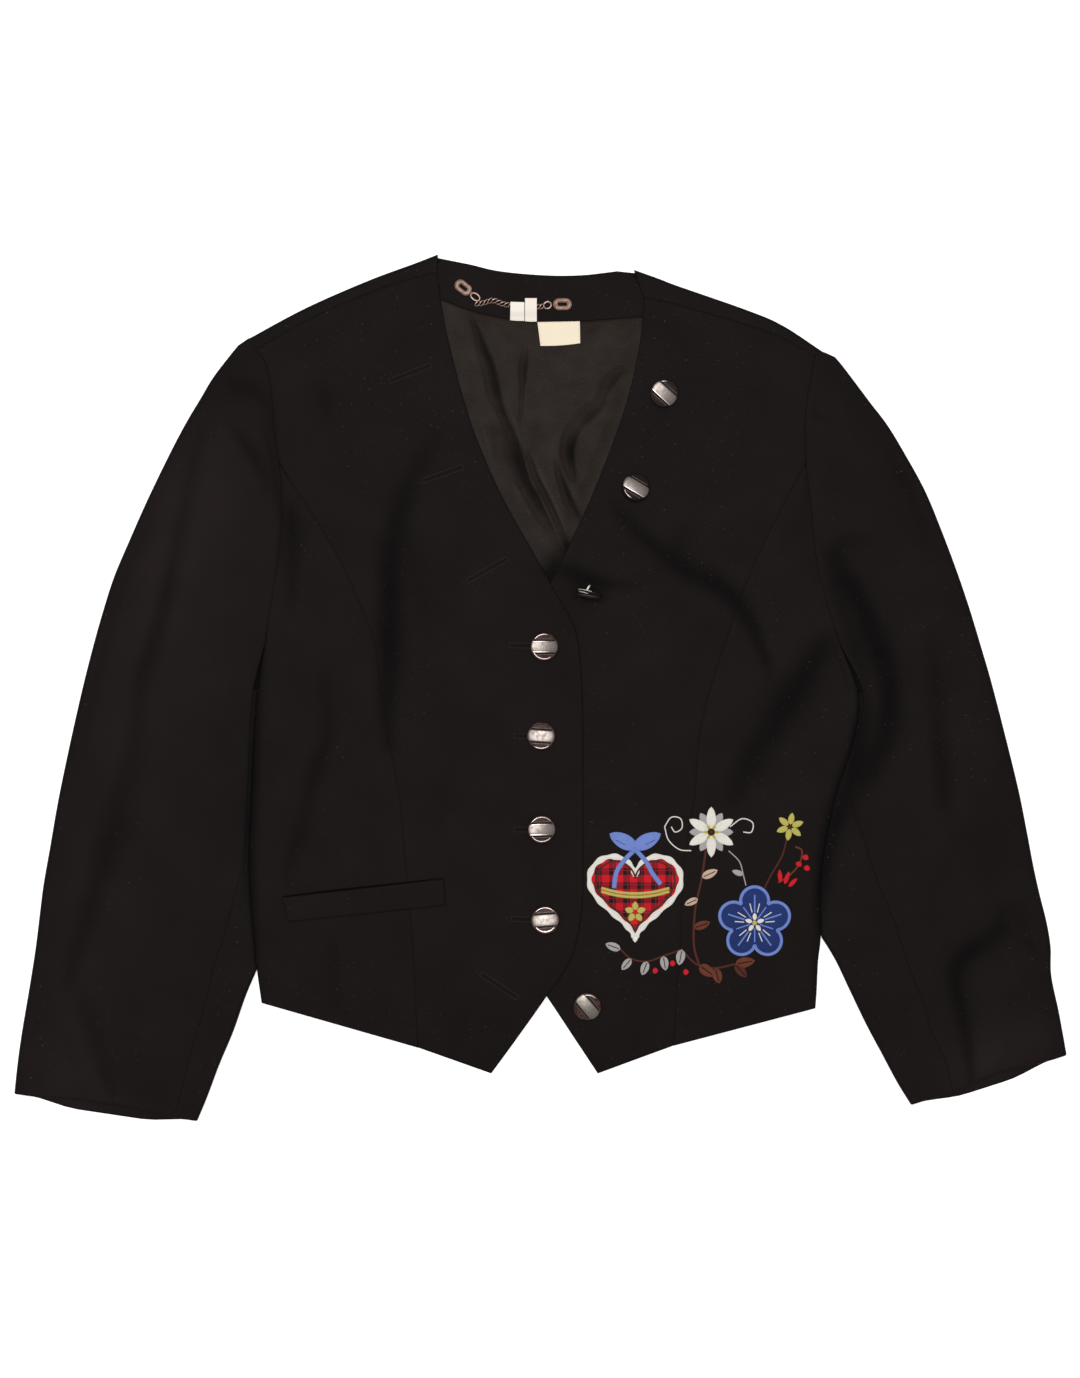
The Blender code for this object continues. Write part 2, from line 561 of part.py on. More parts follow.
def make_centre_front(jacket, name, rows, shoulder, mirrored, profile):
    """The centre piece of a front, from the princess seam and the armhole to the front edge and the neck."""
    flat, heights = [], []
    for t in steps(0, SHOULDER_ROW):
        start = seam_point(rows, t) if t <= SEAM_TOP_ROW else side_point(rows, shoulder, t)
        edge = edge_point(rows, t)
        _, _, side_z, _, _, seam_z, _, _, edge_z = smooth_row(rows, t)
        start_z = seam_z if t <= SEAM_TOP_ROW else side_z
        width = (edge - start).length
        near_top = (t / SHOULDER_ROW) ** NEAR_TOP_POWER
        points, tops = [], []
        for u in CENTRE_SHARES:
            p = start.lerp(edge, u)
            straight = shoulder_seam_point(shoulder, 0).lerp(shoulder_seam_point(shoulder, 1), u)
            p += (shoulder_seam_point(shoulder, u) - straight) * near_top
            z = start_z + (edge_z - start_z) * profile(u)
            from_armhole = u * width if t > SEAM_TOP_ROW else width
            z += cloth_rise(p.x, p.y, min(t, 2 * (SHOULDER_ROW - t)), from_armhole) * (1 - profile(u) ** 4)
            over_lining = t > NECK_ROW and (1 - u) * width < LINING_MARGIN + LINING_CLEARANCE
            floor = LEFT_EDGE_TOP if over_lining else CLOTH_FLOOR
            points.append(p)
            tops.append(max(z, min(floor, edge_z)))
        flat.append(points)
        heights.append(tops)
    flat = pulled_in(flat, left=HALF_GAP, top=HALF_GAP)
    outer, inner = drop_wall(flat, heights, WALL)
    outer, inner = faced(outer, inner, mirrored)
    cloth = ClothSolid()
    cloth.grid(outer, inner)
    jacket.add(name, cloth.to_bmesh(), BLACK_WOOL)


def over_profile(u):
    """Share of the way from the seam's height to the edge's, for the front on top: all of it over the lap."""
    return smooth_step(u / OVER_RISE_END)


def under_profile(u):
    """The same for the front that lies under: level and low where the other front covers it."""
    start, end = UNDER_RISE
    return smooth_step((u - start) / (end - start))


def make_back(jacket):
    """The back: flat on the surface, and turned over both shoulder folds up to the forward seams."""
    cloth = ClothSolid()
    outline = []
    for inward, rows, shoulder in ((1, RIGHT_BODY, RIGHT_SHOULDER), (-1, LEFT_BODY, LEFT_SHOULDER)):
        sides = [side_point(rows, shoulder, t) + Vector((inward * HALF_GAP, 0)) for t in steps(0, SHOULDER_ROW)]
        strip_outer, strip_inner, foot = [], [], []
        for u in CENTRE_SHARES:
            row = smooth_row(shoulder, u * (len(shoulder) - 1))
            fold, seam = Vector(row[:2]), Vector(row[2:])
            if u == 0:
                clear = Vector((shoulder[1].fold_x, shoulder[1].fold_y)) - fold
                clear *= GAP / clear.length
                fold += clear
                seam += clear
            end_z = SEAM_Z_ARMHOLE + (SEAM_Z_NECK - SEAM_Z_ARMHOLE) * smooth_step(u)
            outer_line, inner_line = fold_section(fold, seam, end_z)
            strip_outer.append(outer_line)
            strip_inner.append(inner_line)
            foot.append((outer_line[0], inner_line[0]))
        if inward == -1:
            strip_outer, strip_inner = strip_outer[::-1], strip_inner[::-1]
        cloth.grid(strip_outer, strip_inner)
        outline.append((sides, foot))
    right, left = outline
    loop = [flat_pair(p) for p in right[0]] + right[1]
    loop += [flat_pair(Vector(p)) for p in NECK_EDGE]
    loop += left[1][::-1] + [flat_pair(p) for p in left[0][::-1]]
    loop += [flat_pair(Vector(p)) for p in BACK_HEM[::-1]]
    numbers = [cloth.pair(outer, inner) for outer, inner in loop]
    cloth.face(numbers)
    jacket.add("back", cloth.to_bmesh(), BLACK_WOOL)


def flat_pair(p):
    """A pair of points of the lying back: its outer face is underneath."""
    return (p.x, p.y, 0.0), (p.x, p.y, WALL)


def fold_section(fold, seam, end_z):
    """Outer and inner lines of a fold: from the floor, round the fold and back on top to a seam."""
    inside = (seam - fold).normalized()
    hub = fold + inside * FOLD_RADIUS
    outer, inner = [], []
    for angle in (0.0, 60.0, 120.0, 180.0):
        a = math.radians(angle)
        for line, radius in ((outer, FOLD_RADIUS), (inner, FOLD_RADIUS - WALL)):
            p = hub - inside * radius * math.sin(a)
            line.append((p.x, p.y, FOLD_RADIUS - radius * math.cos(a)))
    back = (hub - seam).normalized() * HALF_GAP
    end = seam + back
    for share in (0.5, 1.0):
        p = hub.lerp(end, share)
        z = FOLD_TOP + (end_z - FOLD_TOP) * share
        outer.append((p.x, p.y, z))
        inner.append((p.x, p.y, z - WALL))
    return outer, inner


class Sleeve:
    """One sleeve, as rows across it. Side is 1 for the wearer's left and -1 for the right."""

    def __init__(self, name, rows, body, shoulder, inner_points, leaves_at, side):
        self.name = name
        self.rows = rows
        self.body = body
        self.shoulder = shoulder
        self.leaves_at = leaves_at
        self.side = side
        apex = body[leaves_at]
        self.free = [(apex.side_x, apex.side_y)] + inner_points

    def inner_point(self, t):
        """A point of the inner side: on the body's edge first, and then on the sleeve's own."""
        shared = FOLD_ROW - self.leaves_at
        if t <= shared:
            return side_point(self.body, self.shoulder, FOLD_ROW - t)
        return Vector(smooth_row(self.free, t - shared))

    def section(self, t):
        """Outer point, direction across, direction to the cuff, width, and the row's other values."""
        outer_x, outer_y, seam_in, crown = smooth_row(self.rows, t)
        outer = Vector((outer_x, outer_y))
        across = self.inner_point(t) - outer
        width = across.length
        across.normalize()
        down = Vector((across.y, -across.x)) * -self.side
        return outer, across, down, width, seam_in, crown

    def seam_level(self, t):
        """Height of the sleeve's upper face at its inner seam."""
        if t >= UNDERARM_SLEEVE_ROW:
            return SLEEVE_SEAM_TOP
        side_z = smooth_row(self.body, FOLD_ROW - t)[2]
        return side_z + (SLEEVE_SEAM_TOP - side_z) * smooth_step(t - UNDERARM_SLEEVE_ROW + 1)

    def line(self, t, points, bow=0.0, end=0.0):
        """Places of a row's points, given as distances from the outer point and heights.

        At the cuff the middle of the row bows out or in. The bow ends at the floor seam and at the distance end.
        """
        outer, across, down, _, _, _ = self.section(t)
        near_cuff = smooth_step(t - CUFF_ROW + 1)
        placed = []
        for d, z in points:
            window = smooth_step((d - SLEEVE_RETURN) / CUFF_BOW_RISE) * smooth_step((end - d) / CUFF_BOW_RISE)
            p = outer + across * d + down * (bow * window * near_cuff)
            placed.append((p.x, p.y, z))
        return placed

    def top_lines(self, t):
        """Outer and inner line of the upper piece: a return on the floor, the fold and the face."""
        outer, across, down, width, seam_in, crown = self.section(t)
        radius = min(FOLD_RADIUS, width / 3)
        back = min(SLEEVE_RETURN, NARROW_RETURN * width)
        end = width - HALF_GAP - max(seam_in, 0.0)
        lines = ([(back, 0.0)], [(back, WALL)])
        for angle in FOLD_ANGLES:
            a = math.radians(angle)
            for line, r in zip(lines, (radius, radius - WALL)):
                line.append((radius - r * math.sin(a), FOLD_RADIUS - (FOLD_RADIUS - radius + r) * math.cos(a)))
        level = self.seam_level(t)
        narrow, wide = CROWN_WIDTHS
        rise = crown * smooth_step((width - narrow) / (wide - narrow))
        for f in TOP_SHARES:
            d = radius + (end - radius) * f
            p = outer + across * d
            z = FOLD_TOP + (level - FOLD_TOP) * smooth_step(f) + rise * math.sin(math.pi * f) ** 0.8
            fade = smooth_step(f / TOP_SHARES[0]) * smooth_step((1 - f) * (end - radius) / SIDE_FADE)
            z = max(z + fade * fold_height(p.x, p.y, FOLDS), CLOTH_FLOOR + ROLL_RISE)
            lines[0].append((d, z))
            lines[1].append((d, z - WALL))
        return [self.line(t, line, CUFF_BOW_TOP, end) for line in lines]

    def floor_lines(self, t):
        """Outer and inner line of the under piece where it lies on the floor."""
        _, _, _, width, _, _ = self.section(t)
        start = min(SLEEVE_RETURN, NARROW_RETURN * width) + GAP
        end = width - (FOLD_RADIUS if t >= UNDERARM_SLEEVE_ROW else HALF_GAP)
        places = [start, (start + end) / 2, end]
        lines = ([(d, 0.0) for d in places], [(d, WALL) for d in places])
        return [self.line(t, line, CUFF_BOW_UNDER, end) for line in lines]

    def wrap_lines(self, t):
        """Outer and inner line of the under piece round the inner fold and on top, up to the seam."""
        _, _, _, width, seam_in, _ = self.section(t)
        width_in = width - HALF_GAP
        lines = ([], [])
        for angle in FOLD_ANGLES:
            a = math.radians(angle)
            for line, r in zip(lines, (FOLD_RADIUS, FOLD_RADIUS - WALL)):
                hub = width - FOLD_RADIUS if angle == 0 else width_in - FOLD_RADIUS
                line.append((hub + r * math.sin(a), FOLD_RADIUS - r * math.cos(a)))
        hub, end = width_in - FOLD_RADIUS, width - seam_in + HALF_GAP
        for f in (0.5, 1.0):
            d, z = hub + (end - hub) * f, FOLD_TOP + (SLEEVE_SEAM_TOP - FOLD_TOP) * smooth_step(f)
            lines[0].append((d, z))
            lines[1].append((d, z - WALL))
        return [self.line(t, line) for line in lines]

    def solid(self, turned, *parts):
        """A wall from grids of lines, each a function of the row and its first row."""
        cloth = ClothSolid()
        for lines_at, first in parts:
            outer, inner = zip(*(lines_at(t) for t in steps(first, CUFF_ROW)))
            if turned:
                outer, inner = outer[::-1], inner[::-1]
            cloth.grid(outer, inner)
        return cloth.to_bmesh()

    def make(self, jacket):
        """Both pieces of the sleeve. Their lines start on the fold and under it, so they face opposite ways."""
        top = self.solid(self.side == -1, (self.top_lines, 0))
        under = self.solid(self.side == 1, (self.floor_lines, 0), (self.wrap_lines, UNDERARM_SLEEVE_ROW))
        jacket.add(self.name + "_top", top, BLACK_WOOL)
        jacket.add(self.name + "_under", under, BLACK_WOOL)


def table_point(table, u):
    """A point of a short outline, from its first point, 0, to its last, 1."""
    return Vector(smooth_row(table, u * (len(table) - 1)))


def make_lining(jacket):
    """The back lining, where it shows in the open neck and a little way under both fronts."""
    shares = [i / LINING_COLUMNS for i in range(LINING_COLUMNS + 1)]
    flat, heights = [], []
    for v in LINING_ROWS:
        narrowing = smooth_step((v - LINING_NARROWS_AT) / (1.0 - LINING_NARROWS_AT))
        points, tops = [], []
        for u in shares:
            top = table_point(FACING_LOWER, u)
            y = LINING_FOOT_Y + (top.y - LINING_FOOT_Y) * v
            left_x = neck_x(RIGHT_BODY, y) - LINING_MARGIN
            right_x = neck_x(LEFT_BODY, y) + LINING_MARGIN
            left_x += (FACING_LOWER[0][0] - left_x) * narrowing
            right_x += (FACING_LOWER[-1][0] - right_x) * narrowing
            x = left_x + (right_x - left_x) * u
            x += (top.x - (FACING_LOWER[0][0] + (FACING_LOWER[-1][0] - FACING_LOWER[0][0]) * u)) * v**4
            shown = min(x - neck_x(RIGHT_BODY, y), neck_x(LEFT_BODY, y) - x)
            fade = smooth_step((shown - 3.0) / 8.0) * smooth_step((1 - v) / 0.06)
            points.append(Vector((x, y)))
            tops.append(LINING_TOP + fade * fold_height(x, y, LINING_FOLDS))
        flat.append(points)
        heights.append(tops)
    flat = pulled_in(flat, top=HALF_GAP)
    cloth = ClothSolid()
    cloth.grid(*drop_wall(flat, heights, LINING_WALL))
    jacket.add("back_lining", cloth.to_bmesh(), BROWN_LINING)


def neck_x(rows, y):
    """Where the front edge is at a height of the neckline."""
    low, high = 8.0, float(SHOULDER_ROW)
    for _ in range(24):
        middle = (low + high) / 2
        low, high = (middle, high) if edge_point(rows, middle).y < y else (low, middle)
    return edge_point(rows, low).x


def make_facing(jacket):
    """The facing at the back neck, between the neck edge and the lining."""
    shares = [i / LINING_COLUMNS for i in range(LINING_COLUMNS + 1)]
    flat = []
    for v in (0.0, 0.5, 1.0):
        flat.append([table_point(FACING_LOWER, u).lerp(table_point(FACING_UPPER, u), v) for u in shares])
    flat = pulled_in(flat, bottom=HALF_GAP)
    heights = [[LINING_TOP] * len(shares)] * len(flat)
    cloth = ClothSolid()
    cloth.grid(*drop_wall(flat, heights, LINING_WALL))
    jacket.add("back_neck_facing", cloth.to_bmesh(), BLACK_WOOL)


def lay_patch(jacket, name, corners, columns, rows, supports, wall, finish):
    """A strip of cloth that follows what it lies on. Its corners run round from the upper left one."""
    upper_left, upper_right, lower_right, lower_left = (Vector(c) for c in corners)
    outer, inner = [], []
    for i in range(rows):
        v = i / (rows - 1)
        start, end = lower_left.lerp(upper_left, v), lower_right.lerp(upper_right, v)
        line = [start.lerp(end, j / (columns - 1)) for j in range(columns)]
        feet = [jacket.height(p.x, p.y, supports, reach=PATCH_REACH) + GAP for p in line]
        outer.append([(p.x, p.y, z + wall) for p, z in zip(line, feet)])
        inner.append([(p.x, p.y, z) for p, z in zip(line, feet)])
    cloth = ClothSolid()
    cloth.grid(outer, inner)
    jacket.add(name, cloth.to_bmesh(), finish)


def stadium(length, width, count):
    """Points round a long hole or plate with round ends."""
    half, radius = (length - width) / 2, width / 2
    points = []
    for i in range(count):
        a = 2 * math.pi * (i + 0.5) / count
        points.append((math.copysign(half, math.cos(a)) + radius * math.cos(a), radius * math.sin(a)))
    return points


def make_plate(jacket, name, plate):
    """An oval metal plate with a slot, lying on the facing."""
    foot = jacket.height(plate.x, plate.y, ["back_neck_facing"]) + GAP
    turn = Matrix.Rotation(math.radians(plate.angle), 2)
    loops = []
    for length, width in ((SLOT_LENGTH, SLOT_WIDTH), (PLATE_LENGTH, PLATE_WIDTH)):
        loops.append([turn @ Vector(p) + Vector((plate.x, plate.y)) for p in stadium(length, width, PLATE_POINTS)])
    outer = [[(p.x, p.y, foot + PLATE_WALL) for p in loop] for loop in reversed(loops)]
    inner = [[(p.x, p.y, foot) for p in loop] for loop in reversed(loops)]
    cloth = ClothSolid()
    cloth.grid(outer, inner, around=True)
    jacket.add(name, cloth.to_bmesh(), COPPER)


def make_ring(jacket, name, centre):
    """A wire ring lying on the facing."""
    foot = jacket.height(*centre, ["back_neck_facing"]) + GAP
    bm = bmesh.new()
    verts = []
    for i in range(RING_SEGMENTS):
        a = 2 * math.pi * i / RING_SEGMENTS
        for j in range(WIRE_SIDES):
            b = 2 * math.pi * j / WIRE_SIDES
            r = RING_RADIUS + RING_WIRE * math.cos(b)
            z = foot + RING_WIRE * (1 + math.sin(b))
            verts.append(bm.verts.new((centre[0] + r * math.cos(a), centre[1] + r * math.sin(a), z)))
    for i in range(RING_SEGMENTS):
        ring, following = i * WIRE_SIDES, (i + 1) % RING_SEGMENTS * WIRE_SIDES
        for j in range(WIRE_SIDES):
            k = (j + 1) % WIRE_SIDES
            bm.faces.new([verts[ring + j], verts[following + j], verts[following + k], verts[ring + k]])
    jacket.add(name, bm, COPPER)


def make_chain(jacket):
    """The hanger chain as a plain round band along its route."""
    route = [smooth_row(CHAIN_ROUTE, i / 2) for i in range(2 * len(CHAIN_ROUTE) - 1)]
    foot = jacket.height(*CHAIN_ROUTE[0], ["back_neck_facing"]) + GAP
    bm = bmesh.new()
    loops = []
    for i, p in enumerate(route):
        along = Vector(route[min(i + 1, len(route) - 1)] - route[max(i - 1, 0)]).normalized()
        across = Vector((-along.y, along.x))
        loop = []
        for j in range(WIRE_SIDES):
            a = 2 * math.pi * j / WIRE_SIDES
            place = Vector(p) + across * CHAIN_WIRE * math.cos(a)
            loop.append(bm.verts.new((place.x, place.y, foot + CHAIN_WIRE * (1 + math.sin(a)))))
        loops.append(loop)
    for low, high in zip(loops, loops[1:]):
        for j in range(WIRE_SIDES):
            bm.faces.new([low[j], low[j - 1], high[j - 1], high[j]])
    bm.faces.new(loops[0])
    bm.faces.new(loops[-1][::-1])
    bmesh.ops.recalc_face_normals(bm, faces=bm.faces[:])
    jacket.add("hanger_chain", bm, COPPER)


def turned_disc(profile, segments):
    """A closed turned body, from points of its outside as radius and height, from the foot up."""
    bm = bmesh.new()
    loops = []
    for radius, z in profile:
        angles = [2 * math.pi * i / segments for i in range(segments)]
        loops.append([bm.verts.new((radius * math.cos(a), radius * math.sin(a), z)) for a in angles])
    for low, high in zip(loops, loops[1:]):
        for i in range(segments):
            bm.faces.new([low[i - 1], low[i], high[i], high[i - 1]])
    bm.faces.new(loops[0][::-1])
    bm.faces.new(loops[-1])
    return bm


def bar_mesh():
    """The raised bar across a button, with a low crest along its middle."""
    section = [(-BAR_HALF_WIDTH, BAR_FOOT), (BAR_HALF_WIDTH, BAR_FOOT), (BAR_HALF_WIDTH, BAR_EDGE_TOP),
               (0.0, BAR_CREST_TOP), (-BAR_HALF_WIDTH, BAR_EDGE_TOP)]
    bm = bmesh.new()
    ends = [[bm.verts.new((x, y, z)) for y, z in section] for x in (-BAR_HALF_LENGTH, BAR_HALF_LENGTH)]
    bm.faces.new(ends[0][::-1])
    bm.faces.new(ends[1])
    for i in range(len(section)):
        bm.faces.new([ends[0][i - 1], ends[0][i], ends[1][i], ends[1][i - 1]])
    bmesh.ops.recalc_face_normals(bm, faces=bm.faces[:])
    return bm


def united(name, first, others):
    """One mesh from closed meshes that run into each other."""
    things = []
    for i, bm in enumerate([first] + others):
        mesh = bpy.data.meshes.new(f"{name}_{i}")
        bm.to_mesh(mesh)
        bm.free()
        things.append(bpy.data.objects.new(f"{name}_{i}", mesh))
        bpy.context.scene.collection.objects.link(things[-1])
    for thing in things[1:]:
        union = things[0].modifiers.new("union", "BOOLEAN")
        union.operation = "UNION"
        union.solver = "EXACT"
        union.object = thing
    depsgraph = bpy.context.evaluated_depsgraph_get()
    result = bmesh.new()
    result.from_mesh(things[0].evaluated_get(depsgraph).to_mesh())
    for thing in things:
        bpy.data.objects.remove(thing)
    return result


def stalk_mesh():
    """The thread stalk of the button that stands up, from the back of its disc down to the cloth."""
    bm = bmesh.new()
    bmesh.ops.create_cone(bm, cap_ends=True, segments=STALK_SIDES, radius1=STALK_RADIUS, radius2=STALK_RADIUS,
                          depth=1.0)
    return bm


def make_button(jacket, number, button):
    """A button disc with its bar, lying on the top cloth or, for one of them, standing on its rim."""
    supports = ["front_left_centre", "front_right_centre"]
    bm = united("button", turned_disc(BUTTON_PROFILE, BUTTON_SEGMENTS), [bar_mesh()])
    turn = Matrix.Rotation(math.radians(button.bar_angle), 4, "Z")
    if number == STANDING_BUTTON:
        foot = jacket.height(button.x, button.y, supports, reach=STANDING_REACH) + GAP
        tilt = Matrix.Rotation(math.radians(STANDING_TILT), 4, "X")
        bm.transform(turn @ tilt)
        lowest = min(v.co.z for v in bm.verts)
        bm.transform(Matrix.Translation((button.x, button.y, foot - lowest)))
        disc_back = Vector((button.x, button.y, foot - lowest))
        end = Vector((button.x + STALK_REACH[0], button.y + STALK_REACH[1], foot))
        bm = with_stalk(bm, disc_back + (disc_back - end).normalized() * STALK_BITE, end)
    else:
        foot = jacket.height(button.x, button.y, supports, reach=BUTTON_REACH) + GAP
        bm.transform(Matrix.Translation((button.x, button.y, foot)) @ turn)
    jacket.add(f"button_{number}", bm, BUTTON_BROWN)


def with_stalk(button, start, end):
    """A button joined to a round stalk that runs from its back to the cloth."""
    stalk = stalk_mesh()
    axis = end - start
    turn = axis.to_track_quat("Z", "Y").to_matrix().to_4x4()
    stalk.transform(Matrix.Translation((start + end) / 2) @ turn @ Matrix.Diagonal((1, 1, axis.length, 1)))
    lowest = min(v.co.z for v in stalk.verts)
    stalk.transform(Matrix.Translation((0, 0, end.z - lowest)))
    return united("standing", button, [stalk])


def make_raised(jacket, name, centre, outline, finish):
    """A raised applique: rings of its outline round its middle, following the cloth below."""
    outer, inner = [], []
    for share in reversed(APPLIQUE_RINGS):
        upper, lower = [], []
        for x, y in outline:
            p = Vector(centre) + Vector((x, y)) * share
            foot = jacket.height(p.x, p.y, ["front_left_centre", "front_left_side"], APPLIQUE_REACH) + GAP
            upper.append((p.x, p.y, foot + APPLIQUE_WALL))
            lower.append((p.x, p.y, foot))
        outer.append(upper)
        inner.append(lower)
    cloth = ClothSolid()
    cloth.grid(outer, inner, around=True)
    jacket.add(name, cloth.to_bmesh(), finish)


def heart_outline():
    """A heart with a scalloped edge."""
    points = []
    for i in range(HEART_POINTS):
        a = 2 * math.pi * i / HEART_POINTS
        x = 16 * math.sin(a) ** 3
        y = 13 * math.cos(a) - 5 * math.cos(2 * a) - 2 * math.cos(3 * a) - math.cos(4 * a)
        grow = HEART_SIZE * (1 + SCALLOP_DEPTH * math.cos(HEART_SCALLOPS * a))
        points.append((-x * grow, y * grow))
    return points


def gentian_outline():
    """A flower with five round petals."""
    points = []
    for i in range(GENTIAN_POINTS):
        a = 2 * math.pi * i / GENTIAN_POINTS
        petal = abs(math.cos(PETALS * (a - math.pi / 2) / 2)) ** PETAL_ROUNDNESS
        r = GENTIAN_RADIUS * (GENTIAN_WAIST + (1 - GENTIAN_WAIST) * petal)
        points.append((r * math.cos(a), r * math.sin(a)))
    return points


def build():
    """Make the jacket, from the lowest layer to what lies on top."""
    jacket = Jacket()
    make_back(jacket)
    make_lining(jacket)
    make_facing(jacket)
    make_side_front(jacket, "front_left_side", LEFT_BODY, LEFT_SHOULDER, True)
    make_centre_front(jacket, "front_left_centre", LEFT_BODY, LEFT_SHOULDER, True, under_profile)
    make_side_front(jacket, "front_right_side", RIGHT_BODY, RIGHT_SHOULDER, False)
    make_centre_front(jacket, "front_right_centre", RIGHT_BODY, RIGHT_SHOULDER, False, over_profile)
    Sleeve("sleeve_right", RIGHT_SLEEVE, RIGHT_BODY, RIGHT_SHOULDER, RIGHT_SLEEVE_INNER,
           RIGHT_LEAVES_BODY_AT, -1).make(jacket)
    Sleeve("sleeve_left", LEFT_SLEEVE, LEFT_BODY, LEFT_SHOULDER, LEFT_SLEEVE_INNER,
           LEFT_LEAVES_BODY_AT, 1).make(jacket)
    lay_patch(jacket, "pocket_welt", WELT_CORNERS, *WELT_GRID, ["front_right_side", "front_right_centre"],
              WALL, BLACK_WOOL)
    for name, plate in PLATES.items():
        make_plate(jacket, name, plate)
    for name, centre in RINGS.items():
        make_ring(jacket, name, centre)
    make_chain(jacket)
    for name, corners in LABELS.items():
        lay_patch(jacket, name, corners, *LABEL_GRID, ["back_lining", "back_neck_facing", "hanger_chain"],
                  LABEL_WALL, Finish(LABEL_COLORS[name], LABEL_ROUGHNESS, 0.0))
    for number, button in enumerate(BUTTONS, start=1):
        make_button(jacket, number, button)
    make_raised(jacket, "applique_heart", HEART_CENTRE, heart_outline(), PLAID_RED)
    make_raised(jacket, "applique_gentian", GENTIAN_CENTRE, gentian_outline(), NAVY)


for old in list(bpy.data.objects):
    bpy.data.objects.remove(old)
build()
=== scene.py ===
"""The looks of a bolero jacket of fine black wool, laid flat on its back with its face up.

+X points to the wearer's left, +Y to the neck and +Z up from the surface that the jacket lies on. Tables and
sizes are in millimetres and turn into metres when a mesh is made. Every cloth piece is a closed shell on the
form of its CAD node: the same tables, on a finer grid, with creases, pressed seams and round edges.
"""

import logging
import math
from dataclasses import dataclass
from enum import Enum
from itertools import product
from typing import Callable, NamedTuple, Sequence

import bmesh
import bpy
import numpy as np
from mathutils import Matrix, Vector
from mathutils.bvhtree import BVHTree


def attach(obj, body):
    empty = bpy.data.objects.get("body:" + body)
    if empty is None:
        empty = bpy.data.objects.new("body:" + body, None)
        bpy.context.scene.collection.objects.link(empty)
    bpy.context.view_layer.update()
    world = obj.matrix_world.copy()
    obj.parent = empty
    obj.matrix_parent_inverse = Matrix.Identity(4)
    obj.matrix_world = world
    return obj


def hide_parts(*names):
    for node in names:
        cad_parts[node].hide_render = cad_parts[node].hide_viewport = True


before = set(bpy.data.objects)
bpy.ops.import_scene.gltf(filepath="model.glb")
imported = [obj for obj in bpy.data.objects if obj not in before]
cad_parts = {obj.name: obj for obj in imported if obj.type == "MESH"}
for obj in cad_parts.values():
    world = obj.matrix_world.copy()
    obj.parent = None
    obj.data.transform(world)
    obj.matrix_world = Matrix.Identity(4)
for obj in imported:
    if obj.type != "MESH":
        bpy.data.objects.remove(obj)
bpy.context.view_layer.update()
LOG = logging.getLogger("jacket")
Array = np.ndarray
Color = tuple[float, float, float]
Place = tuple[float, float]
Mesh = bpy.types.Mesh
Node = bpy.types.Node
NodeTree = bpy.types.NodeTree
Socket = bpy.types.NodeSocket
Material = bpy.types.Material
Piece = bpy.types.Object

MM = 0.001
ROOT = "root"

# Cloth and seams
WALL = 1.6
LINING_WALL = 1.0
GAP = 0.3
SEAM_GAP = -0.1
SEAM_RADIUS = 0.25
SIDE_OVERLAP = 0.35
FOLD_RADIUS = 2.5
FOLD_TOP = 2 * FOLD_RADIUS
ROUND_RADIUS = 0.8
MIN_CUT = 0.0101
HALF_RIM = 0.06
SEAM_WIDTH = 1.3
SEAM_PUCKER = 0.35
SHOULDER_SEAM_DEPTH = 0.25
FAR = 99.0
TOP_ROW_LENGTH = 24.0
SHOULDER_LENGTH = 150.0
INSET_FADE = 4.0
INSET_ROWS = 8
EDGE_STEPS = np.array([0.0, 0.08, 0.3, 0.8, 1.8, 4.0])

# Heights of the upper faces of the lying layers
BACK_TOP = WALL
LINING_TOP = BACK_TOP + GAP + LINING_WALL
LEFT_EDGE_TOP = LINING_TOP + GAP + WALL
CLOTH_FLOOR = BACK_TOP + GAP + WALL


class BodyRow(NamedTuple):
    """Row of a front: its side edge or armhole, its princess seam, and its front edge or neckline."""

    side_x: float
    side_y: float
    side_z: float
    seam_x: float
    seam_y: float
    seam_z: float
    edge_x: float
    edge_y: float
    edge_z: float


# Body rows run from the hem, row 0, to the shoulder seam, row 17.
RIGHT_BODY = tuple(BodyRow(*row) for row in (
    (-209, -236.5, 3.9, -92, -270, 2.6, -37, -289.5, 2.2),
    (-211, -223, 4.8, -93, -252, 3.8, -17, -262, 4),
    (-212.5, -211, 5.4, -94, -229, 5, 4, -232, 6.4),
    (-214, -193, 5.8, -95, -202, 6, 23, -202.5, 6.7),
    (-216.5, -163, 6, -98, -164, 6.3, 31, -166.5, 6.7),
    (-218, -128, 6, -101.5, -129, 6.3, 32, -129, 6.7),
    (-216.5, -84, 6, -105.5, -84, 6.3, 32, -84, 6.7),
    (-214.5, -39, 6, -113.5, -39, 6.3, 32, -37.5, 6.7),
    (-211.5, -1.5, 6, -119, -1.5, 6.3, 31, 6, 6.7),
    (-206.5, 34.5, 6, -125, 36, 6.4, 26.5, 43, 6.7),
    (-201.5, 66, 6, -136.5, 66, 6.4, 12, 70.5, 6.7),
    (-197, 96, 6, -151, 96, 6.4, -6.5, 103.5, 6.4),
    (-194, 130, 6, -171.5, 130.5, 6.3, -29, 144, 5.4),
    (-196, 169.5, 6, -196, 169.5, 6, -47.5, 186, 4.9),
    (-200, 197, 6, -200, 197, 6, -59, 221, 4.9),
    (-202, 223.5, 6, -202, 223.5, 6, -68, 256, 4.9),
    (-206.5, 244.5, 5.8, -206.5, 244.5, 5.8, -74, 285, 4.9),
    (-214, 254, 5.4, -214, 254, 5.4, -77.5, 312, 5),
))
